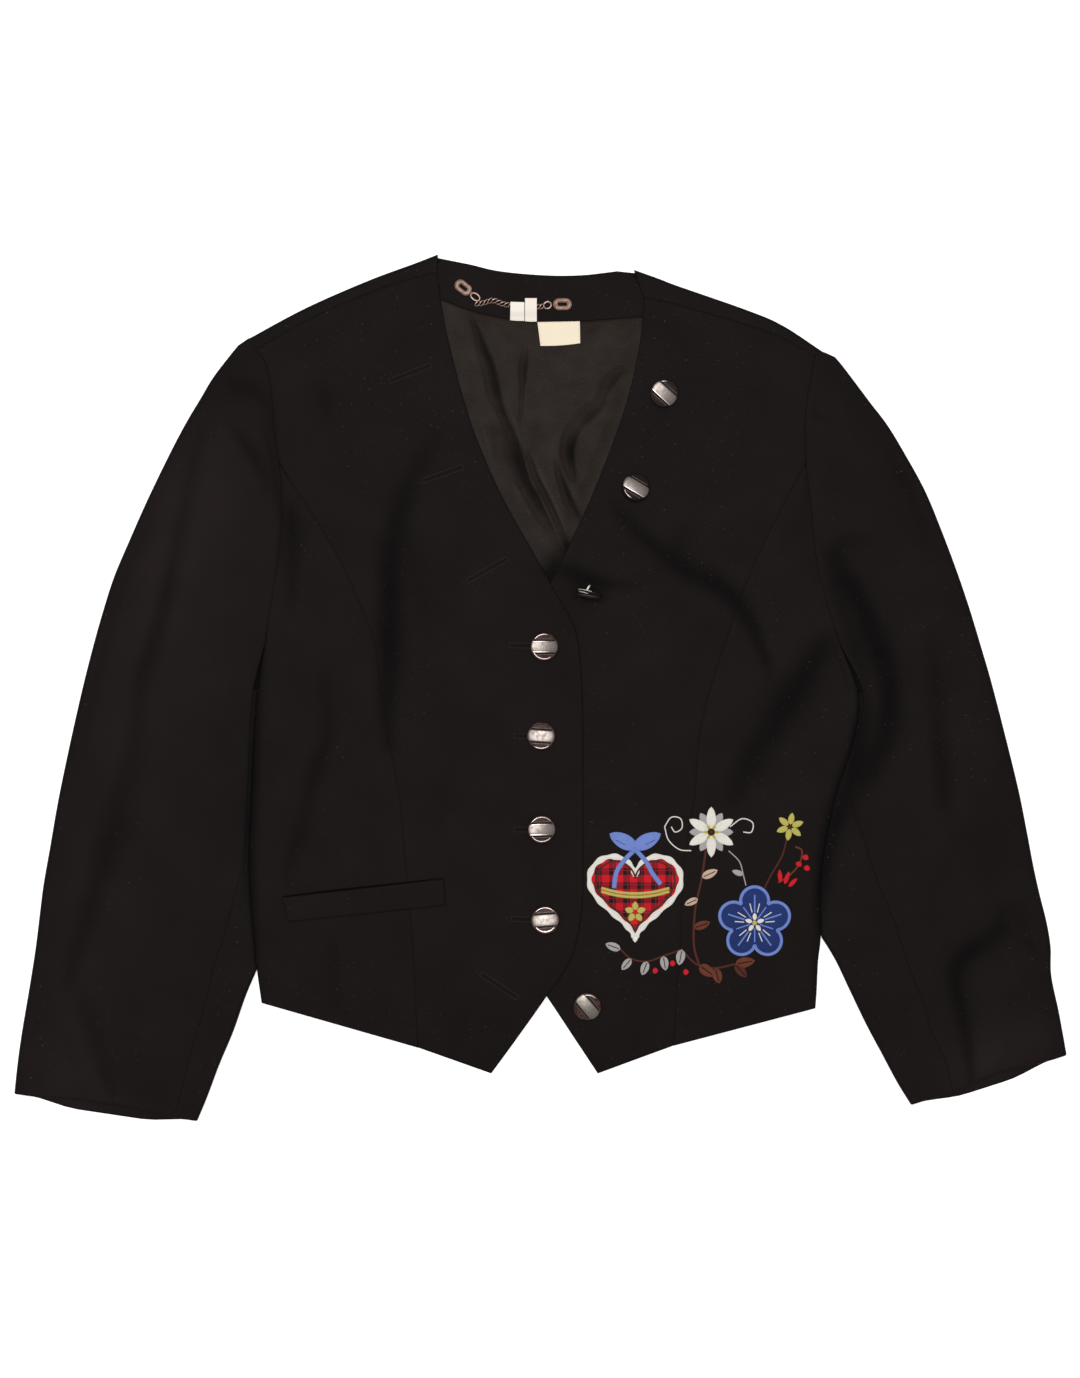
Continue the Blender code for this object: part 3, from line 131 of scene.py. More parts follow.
LEFT_BODY = tuple(BodyRow(*row) for row in (
    (206, -240.5, 3.9, 100, -268.5, 2.6, 43, -289.5, 2.2),
    (207, -226.5, 4.8, 101.5, -244.5, 3.8, 23.5, -260, 3.4),
    (208, -205.5, 5.4, 103, -223, 5, 5, -232, 4.2),
    (210, -186, 5.8, 104.5, -200, 5.8, -15.5, -202.5, 4.8),
    (209, -159, 6, 106, -163, 6, -23.5, -166.5, 4.8),
    (211, -130, 6, 108, -127.5, 6.2, -25, -129, 4.8),
    (220, -84, 6, 115.5, -84, 6.3, -25, -84, 4.8),
    (234.5, -39, 6, 119, -39, 6.4, -25, -37.5, 4.8),
    (238, -4, 6, 129.5, 6, 6.4, -23, 6, 4.8),
    (224.5, 34, 6, 142, 43.5, 6.4, -15.5, 43, 4.8),
    (213.5, 67.5, 6, 151.5, 70.5, 6.4, 2.5, 70.5, 4.8),
    (206.5, 100, 6, 163.5, 100, 6.4, 18.5, 101, 4.8),
    (203, 136, 6, 182.5, 138, 6.3, 38.5, 144, 4.8),
    (199, 169, 6, 199, 169, 6, 55, 186, 4.9),
    (198.5, 195, 6, 198.5, 195, 6, 66.5, 221, 4.9),
    (200, 217.5, 6, 200, 217.5, 6, 74, 256, 4.9),
    (203, 232.5, 5.8, 203, 232.5, 5.8, 77, 282, 4.9),
    (206, 249, 5.4, 206, 249, 5.4, 77.5, 293, 5),
))
SEAM_TOP_ROW = 13
SHOULDER_ROW = 17
FOLD_ROW = 18
TIP_START = SEAM_TOP_ROW - 0.15
TIP_ROW = SEAM_TOP_ROW - 0.04
CREVICE_ROWS = (7.5, 9.5)
NECK_ROW = 9.0
ROLL_WIDTH = 6.0
SIDE_BULGE = 0.4
SIDE_EDGE_RISE = 0.4
ROLL_RISE = 0.2
SIDE_FADE = 10.0
HEM_FADE_ROWS = 3.0
NEAR_TOP_POWER = 6
OVER_RISE = (0.0, 0.46)
UNDER_RISE = (0.15, 0.5)
TIP_WIDTH = 6.0
OVERLAP_FADE = 5.0
OPEN_CREVICE = 0.02
CLEAR_OF_FLOOR = 1.2


class ShoulderRow(NamedTuple):
    """Row of a shoulder: a point of its fold and one of the forward seam, from the armhole to the neck."""

    fold_x: float
    fold_y: float
    seam_x: float
    seam_y: float


RIGHT_SHOULDER = tuple(ShoulderRow(*row) for row in (
    (-218.5, 262.5, -214, 254),
    (-186.5, 280, -182, 272),
    (-160.5, 292.5, -156.5, 285),
    (-125, 307.5, -120.5, 299.5),
    (-95, 318.5, -93.5, 308),
    (-77, 325.5, -77.5, 312),
))
LEFT_SHOULDER = tuple(ShoulderRow(*row) for row in (
    (212.5, 252, 206, 249),
    (182, 272, 180.5, 263.5),
    (155.5, 283.5, 152, 273.5),
    (102.5, 302, 106.5, 286.5),
    (89.5, 307, 93, 290),
    (70, 314, 77.5, 293),
))
SEAM_Z_ARMHOLE = 5.4
SEAM_Z_NECK = 5.0
# The wrap's corner at the armhole keeps clear of the sleeve, and its top is measured from the fold
CORNER_SHIFT = 3 * SEAM_GAP
CORNER_SHARE = 0.06
TOP_EVEN_SHARE = 0.6
TOP_LENGTH = 9.0
NECK_EDGE = ((-52.5, 318.0), (-30.5, 313.0), (2.5, 310.0), (30.5, 310.0), (57.5, 313.0))
BACK_HEM = ((-150.0, -233.0), (-80.0, -228.5), (0.0, -226.0), (80.0, -229.0), (150.0, -235.0))


class SleeveRow(NamedTuple):
    """Row of a sleeve: the point on its outer fold, how far in its seam lies, and the crown of its middle."""

    outer_x: float
    outer_y: float
    seam_in: float
    crown: float


RIGHT_SLEEVE = tuple(SleeveRow(*row) for row in (
    (-227.5, 256.5, 0, 0),
    (-236, 246, 0, 0.6),
    (-246.5, 232, 0, 1),
    (-256, 216, 0, 1.2),
    (-265, 201, 0, 1.3),
    (-277, 178.5, 0, 1.4),
    (-294.5, 142.5, 0, 1.4),
    (-308.5, 111, 0, 1.4),
    (-320.5, 82.5, 0, 1.4),
    (-329.5, 54, 0, 1.4),
    (-337, 27, 4, 1.4),
    (-344.5, -3, 4, 1.4),
    (-353.5, -43, 4, 1.4),
    (-362, -84, 5, 1.4),
    (-368, -118.5, 14, 1.4),
    (-373, -147, 24, 1.4),
    (-375.5, -166.5, 31, 1.3),
    (-379, -195, 28, 1.2),
    (-383.5, -224, 26, 1),
    (-389, -256.5, 23, 0.8),
    (-392.5, -281, 20, 0.6),
    (-395, -304.5, 18, 0.4),
))
LEFT_SLEEVE = tuple(SleeveRow(*row) for row in (
    (221.5, 248, 0, 0),
    (227, 241.5, 0, 0.6),
    (238, 227, 0, 1),
    (248.5, 213, 0, 1.2),
    (260, 198, 0, 1.3),
    (272, 178.5, 0, 1.4),
    (288.5, 148.5, 0, 1.4),
    (301, 118.5, 0, 1.4),
    (312.5, 88, 0, 1.4),
    (322, 60, 0, 1.4),
    (330.5, 32, 4, 1.4),
    (338.5, 4.5, 4, 1.4),
    (349, -36, 13, 1.4),
    (359, -77, 35, 1.4),
    (365, -107, 46, 1.4),
    (370, -133.5, 55, 1.4),
    (374.5, -154, 51, 1.3),
    (380, -176, 48, 1.2),
    (383, -195, 46, 1),
    (383.5, -216, 41, 0.8),
    (389.5, -245, 40, 0.6),
    (395, -275.5, 33, 0.4),
))
RIGHT_SLEEVE_INNER = ((-221.0, -231.0), (-230.5, -258.0), (-241.0, -283.0), (-250.0, -307.0), (-257.5, -325.0))
LEFT_SLEEVE_INNER = ((221.0, -204.0), (231.5, -226.0), (244.0, -252.0), (256.0, -274.5), (267.5, -296.0),
                     (278.0, -313.0))
RIGHT_LEAVES_BODY_AT = 2
LEFT_LEAVES_BODY_AT = 3
UNDERARM_SLEEVE_ROW = 10
CUFF_ROW = 21
SLEEVE_SEAM_TOP = 5.8
SLEEVE_RETURN = 9.0
NARROW_RETURN = 0.55
RETURN_STEPS = np.array([0.0, 0.03, 0.15, 0.45])
CROWN_POWER = 0.8
CUFF_BOW_TOP = -3.0
CUFF_BOW_UNDER = 5.0
CUFF_BOW_RISE = 40.0
CROWN_WIDTHS = (10.0, 50.0)
CROWN_FADE = 12.0

# Back lining and the facing at the back neck, in the open neck
LINING_MARGIN = 20.0
LINING_CLEARANCE = 6.0
LINING_FOOT_Y = 50.0
LINING_NARROWS_AT = 0.8
LINING_HIDDEN = 1.0
LINING_FADE = 13.0
LINING_TOP_FADE = 0.05
LINING_SOFTNESS = 0.12
TOP_CURVE_POWER = 4
LINING_WIDTH = 90.0
LINING_LENGTH = 230.0
FACING_WIDTH = 34.0
FACING_RELIEF = 0.1
FACING_LOWER = ((-92.0, 296.0), (-75.5, 292.0), (-50.5, 283.0), (-23.5, 277.0), (3.5, 275.0), (30.5, 275.5),
                (76.0, 279.0), (92.5, 281.0))
FACING_UPPER = ((-75.0, 321.5), (-64.0, 320.0), (-52.5, 316.5), (-30.5, 311.5), (2.5, 308.5), (30.5, 308.5),
                (57.5, 311.0), (68.0, 310.0))
MOUTH_PLACES = (0.0, 0.12, 0.3, 0.5, 0.7, 0.88, 1.0)
MOUTH_WIDTHS = (0.6, 1.4, 1.8, 1.7, 1.3, 0.9, 0.5)
WELT_CORNERS = ((-194.0, -157.0), (-72.5, -143.0), (-71.0, -163.0), (-189.5, -175.5))

# Labels, hanger and buttons. Plates have a place and an angle, rings a place, a length, a width and an angle.
LABELS = {
    "label_size": ((-22.5, 289.5), (-12.1, 289.2), (-12.1, 275.5), (-22.8, 276.0)),
    "label_tab": ((-11.6, 292.2), (-2.8, 292.2), (-2.8, 275.0), (-11.7, 275.2)),
    "label_care": ((-2.3, 274.6), (29.5, 275.2), (29.8, 258.6), (0.0, 256.6)),
}
PLATES = {"hanger_plate_right": (-58.0, 300.5, -38.0), "hanger_plate_left": (16.5, 288.0, 0.0)}
RINGS = {"hanger_ring_right": (-48.9, 293.4, 7.6, 4.7, -35.0), "hanger_ring_left": (5.2, 287.2, 5.8, 5.0, 20.0)}
# Shares of the way from the slot to the rim of a plate, and heights
PLATE_PROFILE = ((0.0, 0.35), (0.0, 0.95), (0.06, 1.15), (0.16, 1.2), (0.26, 1.05), (0.34, 0.98), (0.68, 0.98),
                 (0.76, 1.05), (0.84, 1.2), (0.94, 1.15), (1.0, 0.85), (1.0, 0.35), (0.94, 0.08), (0.06, 0.08))
CHAIN_ROUTE = ((-47.2, 288.3), (-43.6, 288.7), (-40.9, 289.4), (-37.1, 290.6), (-35.0, 290.6), (-31.9, 289.5),
               (-28.9, 288.3), (-25.3, 287.4), (-20.0, 286.6), (-12.0, 285.9), (-3.5, 285.8), (1.0, 286.2))


class ButtonLook(NamedTuple):
    """How a button lies: its place, its bar's angle, how far and which way it leans, and its painted highlight lines.

    Arcs on the rim, painted highlights, have two angles in the picture, a radius and a width. Lips of the bar,
    painted highlights too, have a side, 1 or -1, and two places along the bar. Shade is the number of its resin:
    0 marbled, 1 with painted shade, 2 with deep painted shade.
    """

    x: float
    y: float
    bar_angle: float
    lean: float
    way: float
    arcs: tuple[tuple[float, float, float, float], ...]
    lips: tuple[tuple[int, float, float], ...]
    shade: int = 0


BUTTONS = (
    ButtonLook(92.5, 221.0, -42.0, 10.0, -50.0, ((78, 106, 9.2, 0.24),), ((-1, -9.0, 9.0),), 1),
    ButtonLook(71.0, 150.0, -30.0, 13.0, 40.0, ((193, 247, 8.9, 0.3),), ((-1, -9.0, 9.0),), 2),
    ButtonLook(36.2, 71.5, -9.0, 0.0, 0.0, (), (), 2),
    ButtonLook(2.5, 31.0, 0.0, 9.0, -15.0, ((73, 140, 9.3, 0.42), (207, 302, 9.1, 0.5)),
               ((1, -9.0, 3.0), (-1, -9.0, 3.5))),
    ButtonLook(0.5, -36.0, -4.0, 2.0, 120.0, ((237, 308, 9.2, 0.22),), ()),
    ButtonLook(0.5, -106.0, 1.0, 9.0, 0.0, ((42, 144, 9.3, 0.38), (212, 318, 8.9, 0.42)),
               ((1, -8.0, 5.0), (-1, -9.0, 5.0))),
    ButtonLook(3.5, -174.0, 4.0, 2.0, 100.0, ((46, 138, 9.3, 0.32), (215, 325, 8.6, 0.55)), ()),
    ButtonLook(35.0, -238.5, -50.0, 8.0, -60.0, ((46, 102, 8.9, 0.42),), ()),
)
# Radii and heights of the turned disc, shares of the half width and heights of the bar, and places along it
DISC_PROFILE = ((0.01, 0.0), (8.6, 0.0), (9.9, 0.5), (10.4, 1.2), (10.5, 1.9), (10.35, 2.5), (10.0, 2.95), (9.5, 3.2),
                (9.1, 3.2), (8.8, 3.05), (8.5, 2.8), (7.5, 2.95), (5.0, 3.15), (0.01, 3.2))
BAR_SECTION = ((-1.0, 2.2), (-1.0, 3.7), (-0.94, 3.95), (-0.8, 4.05), (-0.4, 4.15), (0.0, 4.18), (0.4, 4.15),
               (0.8, 4.05), (0.94, 3.95), (1.0, 3.7), (1.0, 2.2))
BAR_SHARES = (0.0, 0.25, 0.5, 0.7, 0.85, 0.95, 0.985, 1.0)
STANDING_BUTTON = 3
STANDING_TILT = 80.0
# Painted highlight lines on the standing disc's side: two angles, and the heights at both ends
STANDING_GLINTS = ((79.0, 143.0, 1.3, 0.2), (94.0, 140.0, 3.3, 1.7))
HEART_CENTRE = (71.0, -152.0)
HEART_SIZE = 2.15
GENTIAN_CENTRE = (160.5, -176.0)
GENTIAN_RADIUS = 27.0


class Station(NamedTuple):
    """Point of a crease: its place, the crease's half width there and its height, negative in a trough."""

    x: float
    y: float
    half_width: float
    height: float


def course(*stations: tuple[float, float, float, float]) -> tuple[Station, ...]:
    """The stations of one crease, in order."""
    return tuple(Station(*station) for station in stations)


# Creases of the face cloth, each with its own course, widths and depths, falling steeply on its right
# Their troughs also get painted shade on the cloth's colour
CREASES = (
    course((-72, 205, 8, 0), (-84, 180, 9, -1.2), (-95, 160, 10, -2.2), (-105, 135, 11, -2.8), (-112, 105, 12, -3.2),
           (-113, 65, 12, -3.3), (-113.5, 19, 11, -3.0), (-116, -12, 9, -2.4), (-113.5, -39, 7, -1.6),
           (-111, -56, 6, 0)),
    course((-161, 44, 6, 0), (-162.7, 4, 8, -0.9), (-159.6, -33, 8, -1.7), (-170, -64, 9, -1.7),
           (-178, -101, 9, -1.5), (-186, -125, 8, -1.5), (-190, -144, 6, -0.8)),
    course((-163, 240, 5, 0), (-161, 214, 6, -1.0), (-158, 192, 5, 0)),
    course((-161, -178, 6, 0), (-155, -205, 7, -1.2), (-153, -238, 7, -0.6)),
    course((-70, 40, 10, 0), (-74, 0, 11, -0.5), (-70, -48, 11, -0.6), (-76, -105, 10, -0.4), (-74, -130, 9, 0)),
    course((-190, 145, 6, 0), (-187, 128, 7, -1.8), (-185, 105, 8, -2.0), (-187, 70, 7, -1.2), (-193, 40, 6, 0)),
    course((-50, 120, 9, 0), (-62, 95, 10, -0.4), (-66, 60, 10, -0.5), (-60, 25, 9, 0)),
    course((-248, 208, 6, 0), (-256, 183, 8, -1.0), (-266, 140, 8, -1.1), (-275, 96, 8, -1.3), (-290, 34, 8, -1.6),
           (-299, 7, 8, -1.4), (-305, -45, 9, -1.2), (-315, -88, 11, -1.6), (-329, -131, 10, -2.0),
           (-341, -175, 8, -1.6), (-352, -211, 7, -1.1), (-355, -236, 6, 0)),
    course((-350, -214, 9, 0), (-342, -240, 9, -1.2), (-334, -262, 8, -1.6), (-327, -285, 7, -1.5),
           (-323, -302, 6, -1.1)),
    course((-238, 208, 5, 0), (-228, 192, 6, -1.2), (-214, 172, 6, -1.5), (-204, 152, 6, -1.0), (-199, 135, 5, 0)),
    course((50, 150, 4, 0), (58, 133, 6, -1.8), (81, 110, 8, -2.8), (111, 88, 10, -3.1), (137, 74, 10, -3.3),
           (156, 51, 8, -2.8), (168, 22, 5, -1.6), (173, 6, 4, 0)),
    course((3, 88, 6, -1.6), (14, 89, 7, -2.8), (30, 84, 7, -3.0), (48, 79, 6, -2.4), (64, 77, 5, -1.6),
           (80, 82, 3, 0)),
    course((222, 46, 8, 0), (214, 34, 11, -2.0), (200, 12, 13, -3.0), (181, -18, 14, -3.0), (160, -50, 13, -2.4),
           (146, -78, 11, -1.4), (138, -92, 9, 0)),
    course((217, 112, 6, 0), (221, 100, 8, -2.2), (229, 82, 10, -3.0), (242, 58, 11, -3.5), (253, 31, 12, -3.6),
           (261, 4, 12, -3.6), (260, -28, 12, -3.2), (249, -60, 10, -2.2), (237, -88, 8, 0)),
    course((290, 48, 7, 0), (295, 15, 8, -1.3), (298, -30, 9, -1.6), (301, -70, 9, -1.8), (304, -105, 7, 0)),
    course((258, 184, 6, 0), (270, 165, 8, -1.0), (286, 130, 8, -1.1), (297, 98, 7, 0)),
    course((347, -160, 8, 0), (345, -178, 9, -1.7), (336, -189, 9, -2.2), (321, -198, 9, -3.0), (311, -212, 9, -2.9),
           (312, -226, 8, -2.7), (315, -241, 7, -2.4), (318, -257, 6, -1.9), (321, -277, 5, -1.3),
           (323, -292, 4, -0.6)),
    course((356, -186, 4, 0), (364, -189, 4, -1.1), (374, -198, 4, -1.0), (380, -205, 3, 0)),
    course((190, 206, 3, 0), (208, 203, 4, -0.9), (226, 198, 4, 0)),
    course((206, 152, 4, 0), (222, 150, 5, -0.9), (243, 160, 5, 0)),
    course((-72, -200, 7, 0), (-74, -228, 8, -0.8), (-70, -255, 7, 0)),
    course((-300, 170, 14, 0), (-318, 110, 16, 0.8), (-334, 40, 16, 1.0), (-348, -40, 16, 0.8), (-358, -100, 14, 0)),
)
# Places without a crease of their own, painted on the cloth's colour: below 0 painted shade, above 0 painted highlight
PAINTED_SHADING_BANDS = (
    course((-240, 230, 7, 0), (-228, 226, 10, -2.0), (-212, 220, 9, -1.8), (-202, 204, 5, -1.3), (-200, 180, 5, -1.5),
           (-197, 152, 5, -1.7), (-194, 120, 4, -1.2), (-198, 90, 3, -0.6)),
    course((-204, 40, 3, 0), (-211, 10, 4, -1.8), (-213.5, -30, 5, -2.6), (-216, -75, 6, -3.2), (-218, -118, 6, -3.0),
           (-216, -168, 5, -2.2), (-213, -205, 3, -1.2)),
    course((238, 10, 4, 0), (243, -12, 6, -2.2), (237, -48, 9, -3.4), (227, -84, 10, -3.6), (219, -106, 9, -3.6),
           (212, -136, 8, -3.4), (209, -167, 6, -3.0), (209, -184, 4, -1.5)),
    course((205, 130, 3, 0), (210, 105, 5, -1.2), (222, 70, 7, -1.7), (234, 35, 8, -2.0), (240, 10, 7, -1.2),
           (240, -10, 6, 0)),
    course((-222, 214, 24, 0), (-252, 160, 42, 1.4), (-288, 60, 48, 1.2), (-318, -60, 48, 0.7), (-338, -180, 46, 0.7),
           (-352, -270, 44, 1.2), (-354, -320, 40, 1.2)),
    course((14, 80, 8, 0), (27, 74, 11, -1.7), (42, 71, 11, -1.6), (56, 76, 8, 0)),
    course((290, -310, 20, 0), (330, -285, 26, 1.5), (368, -262, 24, 1.6), (388, -250, 16, 0.6)),
)
# Folds of the thin lining satin, drawn from below upwards: steep on their right, soft on their left
# Their troughs also get painted shade on the satin's colour
LINING_CREASES = (
    course((17.6, 102, 2, -0.4), (9.5, 119.5, 4, -1.0), (3.5, 131, 5.2, -1.9), (-3, 143.5, 5.6, -2.8),
           (-9.2, 154.5, 5.2, -3.2), (-12.4, 165.5, 5.6, -3.1), (-16.6, 180.5, 5.2, -2.7), (-20.8, 191.5, 4.2, -2.3),
           (-26.6, 204.3, 3.2, -2.1), (-31, 219, 5.0, -2.6), (-33.4, 230, 5.4, -2.8), (-36.6, 243, 5.0, -3.1),
           (-41, 254, 4.2, -2.8), (-44.5, 263, 3.4, -2.2), (-48.5, 272.5, 2.3, -1.6), (-52, 281.7, 2, -1.0)),
    course((22, 104, 4, -1.8), (16, 120, 3, -1.5), (9.9, 134.4, 2.8, -1.9), (4, 146.3, 2.8, -1.9),
           (-2, 158.3, 2.8, -1.7), (-6.5, 170.3, 2.4, -0.9), (-10, 180, 2, 0)),
    course((31, 126, 3, -1.4), (27, 133.5, 3.5, -2.6), (22, 143.6, 3.6, -2.8), (17.6, 154.6, 3.2, -2.3),
           (14.2, 163.8, 2.6, -1.0), (13, 172, 2, 0)),
    course((27, 152, 3, 0), (25, 163, 4.5, -1.8), (23.5, 174.5, 5.5, -3.0), (24.5, 184, 6, -2.7),
           (29.5, 195, 6, -1.2), (38.5, 204, 6, -1.6), (45.5, 211.5, 5, -0.9), (49.5, 221, 5, -1.0),
           (54, 228, 5.5, -1.9), (60.5, 235.5, 4.5, -1.8), (67, 239, 3, 0)),
    course((-16, 190, 1.4, 0), (-14.5, 204, 1.4, -0.6), (-13, 222.7, 1.8, -0.9), (-11.6, 235.6, 3.2, -2.3),
           (-10.6, 244.8, 3.2, -1.8), (-10, 254, 2.4, -0.5), (-9, 266, 2, 0)),
    course((-10, 152, 9, 0), (-20, 172, 11, -1.1), (-27, 190, 8, -1.0), (-36, 206, 5, 0)),
)
# Painted shade on the tip of the open neck, and above 0 painted highlights along the edges of folds
LINING_PAINTED_BANDS = (
    course((2, 74, 11, -3.6), (10, 88, 10, -3.2), (19, 101, 8, -2.4), (28, 112, 5, -1.2), (36, 126, 4, 0)),
    course((-26.5, 216, 0.7, 0), (-20.4, 201, 0.8, 1.2), (-16.3, 190, 0.8, 0.9), (-15, 178.6, 0.7, 0.8),
           (-9, 162, 0.8, 1.5), (2, 138, 0.8, 2.3), (9.8, 121.5, 0.8, 2.3), (18, 101, 0.7, 1.4)),
    course((-46, 205, 0.8, 0), (-41.4, 188, 0.8, 1.1), (-36, 168, 0.8, 0)),
    course((14.8, 166, 0.7, 0), (22.4, 151, 0.7, 1.0), (31.8, 134, 0.7, 0.6)),
    course((19, 118, 2.6, 0.6), (11, 138, 2.6, 1.0), (3, 154, 2.4, 0.8), (-3, 168, 2, 0)),
)
LINING_FLOOR = 2.9
LINING_BASE = 3.5


def smooth(x: Array | float) -> Array:
    """0 below 0, 1 above 1 and a smooth rise between."""
    x = np.clip(x, 0.0, 1.0)
    return x * x * (3 - 2 * x)


def curve(table: Sequence[Sequence[float]], t: Array | float) -> Array:
    """Places on the Catmull-Rom curve through the rows of a table.

    Args:
        table: Rows of numbers.
        t: Row numbers, with parts of rows.

    Returns:
        One row for each number of t.
    """
    rows = np.asarray(table, float)
    last = len(rows) - 1
    t = np.clip(np.asarray(t, float), 0.0, last)
    i = np.minimum(t.astype(int), last - 1)
    f = (t - i)[..., None]
    start, end = rows[i], rows[i + 1]
    before = np.where((i > 0)[..., None], rows[np.maximum(i - 1, 0)], 2 * start - end)
    after = np.where((i + 2 <= last)[..., None], rows[np.minimum(i + 2, last)], 2 * end - start)
    return 0.5 * (
        2 * start
        + (end - before) * f
        + (2 * before - 5 * start + 4 * end - after) * f**2
        + (3 * start - before - 3 * end + after) * f**3
    )


def unit(vectors: Array) -> Array:
    """The same vectors with length 1."""
    return vectors / np.maximum(np.linalg.norm(vectors, axis=-1, keepdims=True), 1e-9)


def floored(z: Array, floor: Array | float, softness: float = 0.3) -> Array:
    """Heights kept above a floor, with a soft change where they meet it."""
    return floor + softness * np.logaddexp(0.0, (z - floor) / softness)


def raised(plan: Array, z: Array | float) -> Array:
    """Points in space from places in plan and their heights."""
    return np.concatenate([plan, np.broadcast_to(z, plan.shape[:-1])[..., None]], axis=-1)


def run_of(points: Array) -> Array:
    """Length run along a line of points, from 0 at its start."""
    return np.concatenate([[0.0], np.cumsum(np.linalg.norm(np.diff(points, axis=0), axis=-1))])


def full_turn(count: int) -> Array:
    """Angles once round a circle, in radians."""
    return np.linspace(0.0, 2 * math.pi, count, endpoint=False)


def circle(radius: Array | float, angles: Array | float) -> Array:
    """Places in plan at a distance from the middle, at angles in radians."""
    return np.stack([radius * np.cos(angles), radius * np.sin(angles)], -1)


def polar(centre: Sequence[float], radius: Array | float, degrees: float) -> Array:
    """Places at distances from a centre, all in one direction."""
    return np.asarray(centre, float) + circle(np.asarray(radius, float), math.radians(degrees))


def between_corners(corners: Sequence[Sequence[float]], s: Array, r: Array) -> Array:
    """Places between four corners, run round from the upper left one, at shares across and up."""
    upper_left, upper_right, lower_right, lower_left = (np.asarray(corner, float) for corner in corners)
    return (1 - r) * ((1 - s) * lower_left + s * lower_right) + r * ((1 - s) * upper_left + s * upper_right)


@dataclass(frozen=True)
class SmoothNoise:
    """A soft random height field with one value for each cell of a square lattice."""

    seed: int
    cell: float

    def at(self, plan: Array) -> Array:
        """Values from -1 to 1 at places in millimetres.

        Args:
            plan: Places across and along.

        Returns:
            The field's value at each.
        """
        lattice = np.random.default_rng(self.seed).uniform(-1, 1, (LATTICE, LATTICE))
        cells = plan / self.cell + LATTICE // 2
        whole = np.floor(cells).astype(int)
        f, g = np.moveaxis(smooth(cells - whole), -1, 0)
        i, j = np.moveaxis(whole % (LATTICE - 1), -1, 0)
        low = lattice[i, j] * (1 - f) + lattice[i + 1, j] * f
        high = lattice[i, j + 1] * (1 - f) + lattice[i + 1, j + 1] * f
        return low * (1 - g) + high * g


LATTICE = 160
LONG_WAVE = SmoothNoise(5, 46.0)
SHORT_WAVE = SmoothNoise(9, 13.0)
# Patches in the strength of the painted shade
SHADE_PATCHES = SmoothNoise(31, 9.0)
PUCKER = SmoothNoise(21, 5.0)
FACING_WAVE = SmoothNoise(3, 18.0)


@dataclass(frozen=True)
class Relief:
    """Creases and soft waves of one cloth. A crease falls over steep half widths, and rises again over soft ones."""

    creases: tuple[tuple[Station, ...], ...]
    turns: tuple[tuple[Station, ...], ...] = ()
    steep: float = 1.0
    soft: float = 4.5
    dark_reach: tuple[float, float] = (0.85, 0.95)
    full_depth: float = 3.4
    shoulder: float = 0.12
    wave: float = 0.3
    ripple: float = 0.06
    samples: int = 16

    def across(self, stations: tuple[Station, ...], plan: Array) -> tuple[Array, Array, Array]:
        """Where places are across one crease.

        Args:
            stations: The crease's course, widths and heights.
            plan: Places across and along.

        Returns:
            Which places are near, their distances in half widths, positive to the left, and the heights there.
        """
        line = curve(stations, np.linspace(0, len(stations) - 1, self.samples * (len(stations) - 1) + 1))
        reach = NEAR_WIDTHS * line[:, 2].max()
        low, high = line[:, :2].min(axis=0) - reach, line[:, :2].max(axis=0) + reach
        near = ((plan > low) & (plan < high)).all(axis=-1)
        places = plan[near]
        if not len(places):
            return near, np.zeros(0), np.zeros(0)
        gap = np.linalg.norm(places[:, None, :] - line[None, :, :2], axis=-1)
        closest = gap.argmin(axis=1)
        way = unit(np.gradient(line[:, :2], axis=0))[closest]
        off = places - line[closest, :2]
        left = np.where(way[:, 0] * off[:, 1] - way[:, 1] * off[:, 0] < 0, -1.0, 1.0)
        return near, left * gap[np.arange(len(places)), closest] / line[closest, 2], line[closest, 3]

    def at(self, plan: Array) -> Array:
        """Heights that the creases and waves add at places in plan."""
        total = self.wave * LONG_WAVE.at(plan) + self.ripple * SHORT_WAVE.at(plan)
        for stations in self.creases:
            near, q, height = self.across(stations, plan)
            fall = smooth((q / self.steep + 1) / 2) * (1 - smooth((q / self.steep - 1) / self.soft))
            total[near] += height * (fall - self.shoulder * np.exp(-(((q - SHOULDER_PLACE) / SHOULDER_WIDTH) ** 2)))
        return total

    def hollow(self, plan: Array) -> Array:
        """Painted shade that the creases and turns put on the cloth's colour, up to 1, and painted highlight below 0.

        Args:
            plan: Places across and along.

        Returns:
            The share of full darkness.
        """
        total = np.zeros(plan.shape[:-1])
        for number, stations in enumerate((*self.creases, *self.turns)):
            near, q, height = self.across(stations, plan)
            bell = np.exp(-((q / np.where(q < 0, *self.dark_reach)) ** 2))
            depth = -height if number >= len(self.creases) else np.maximum(-height, 0)
            total[near] += depth / self.full_depth * bell
        patches = 1 - SHADE_PATCHINESS + SHADE_PATCHINESS * SHADE_PATCHES.at(plan)
        return np.where(total > 0, np.clip(total, 0, 1) ** DARK_POWER * patches, np.maximum(total, BRIGHTEST))


NEAR_WIDTHS = 6
SHOULDER_PLACE = -2.0
SHOULDER_WIDTH = 0.9
DARK_POWER = 1.2
# How patchy the painted shade is
SHADE_PATCHINESS = 0.12
BRIGHTEST = -0.5
FACE_RELIEF = Relief(CREASES, PAINTED_SHADING_BANDS)
LINING_RELIEF = Relief(LINING_CREASES, LINING_PAINTED_BANDS, 0.3, 5.0, (0.45, 1.15), 3.0, 0.1, 0.25, 0.2)


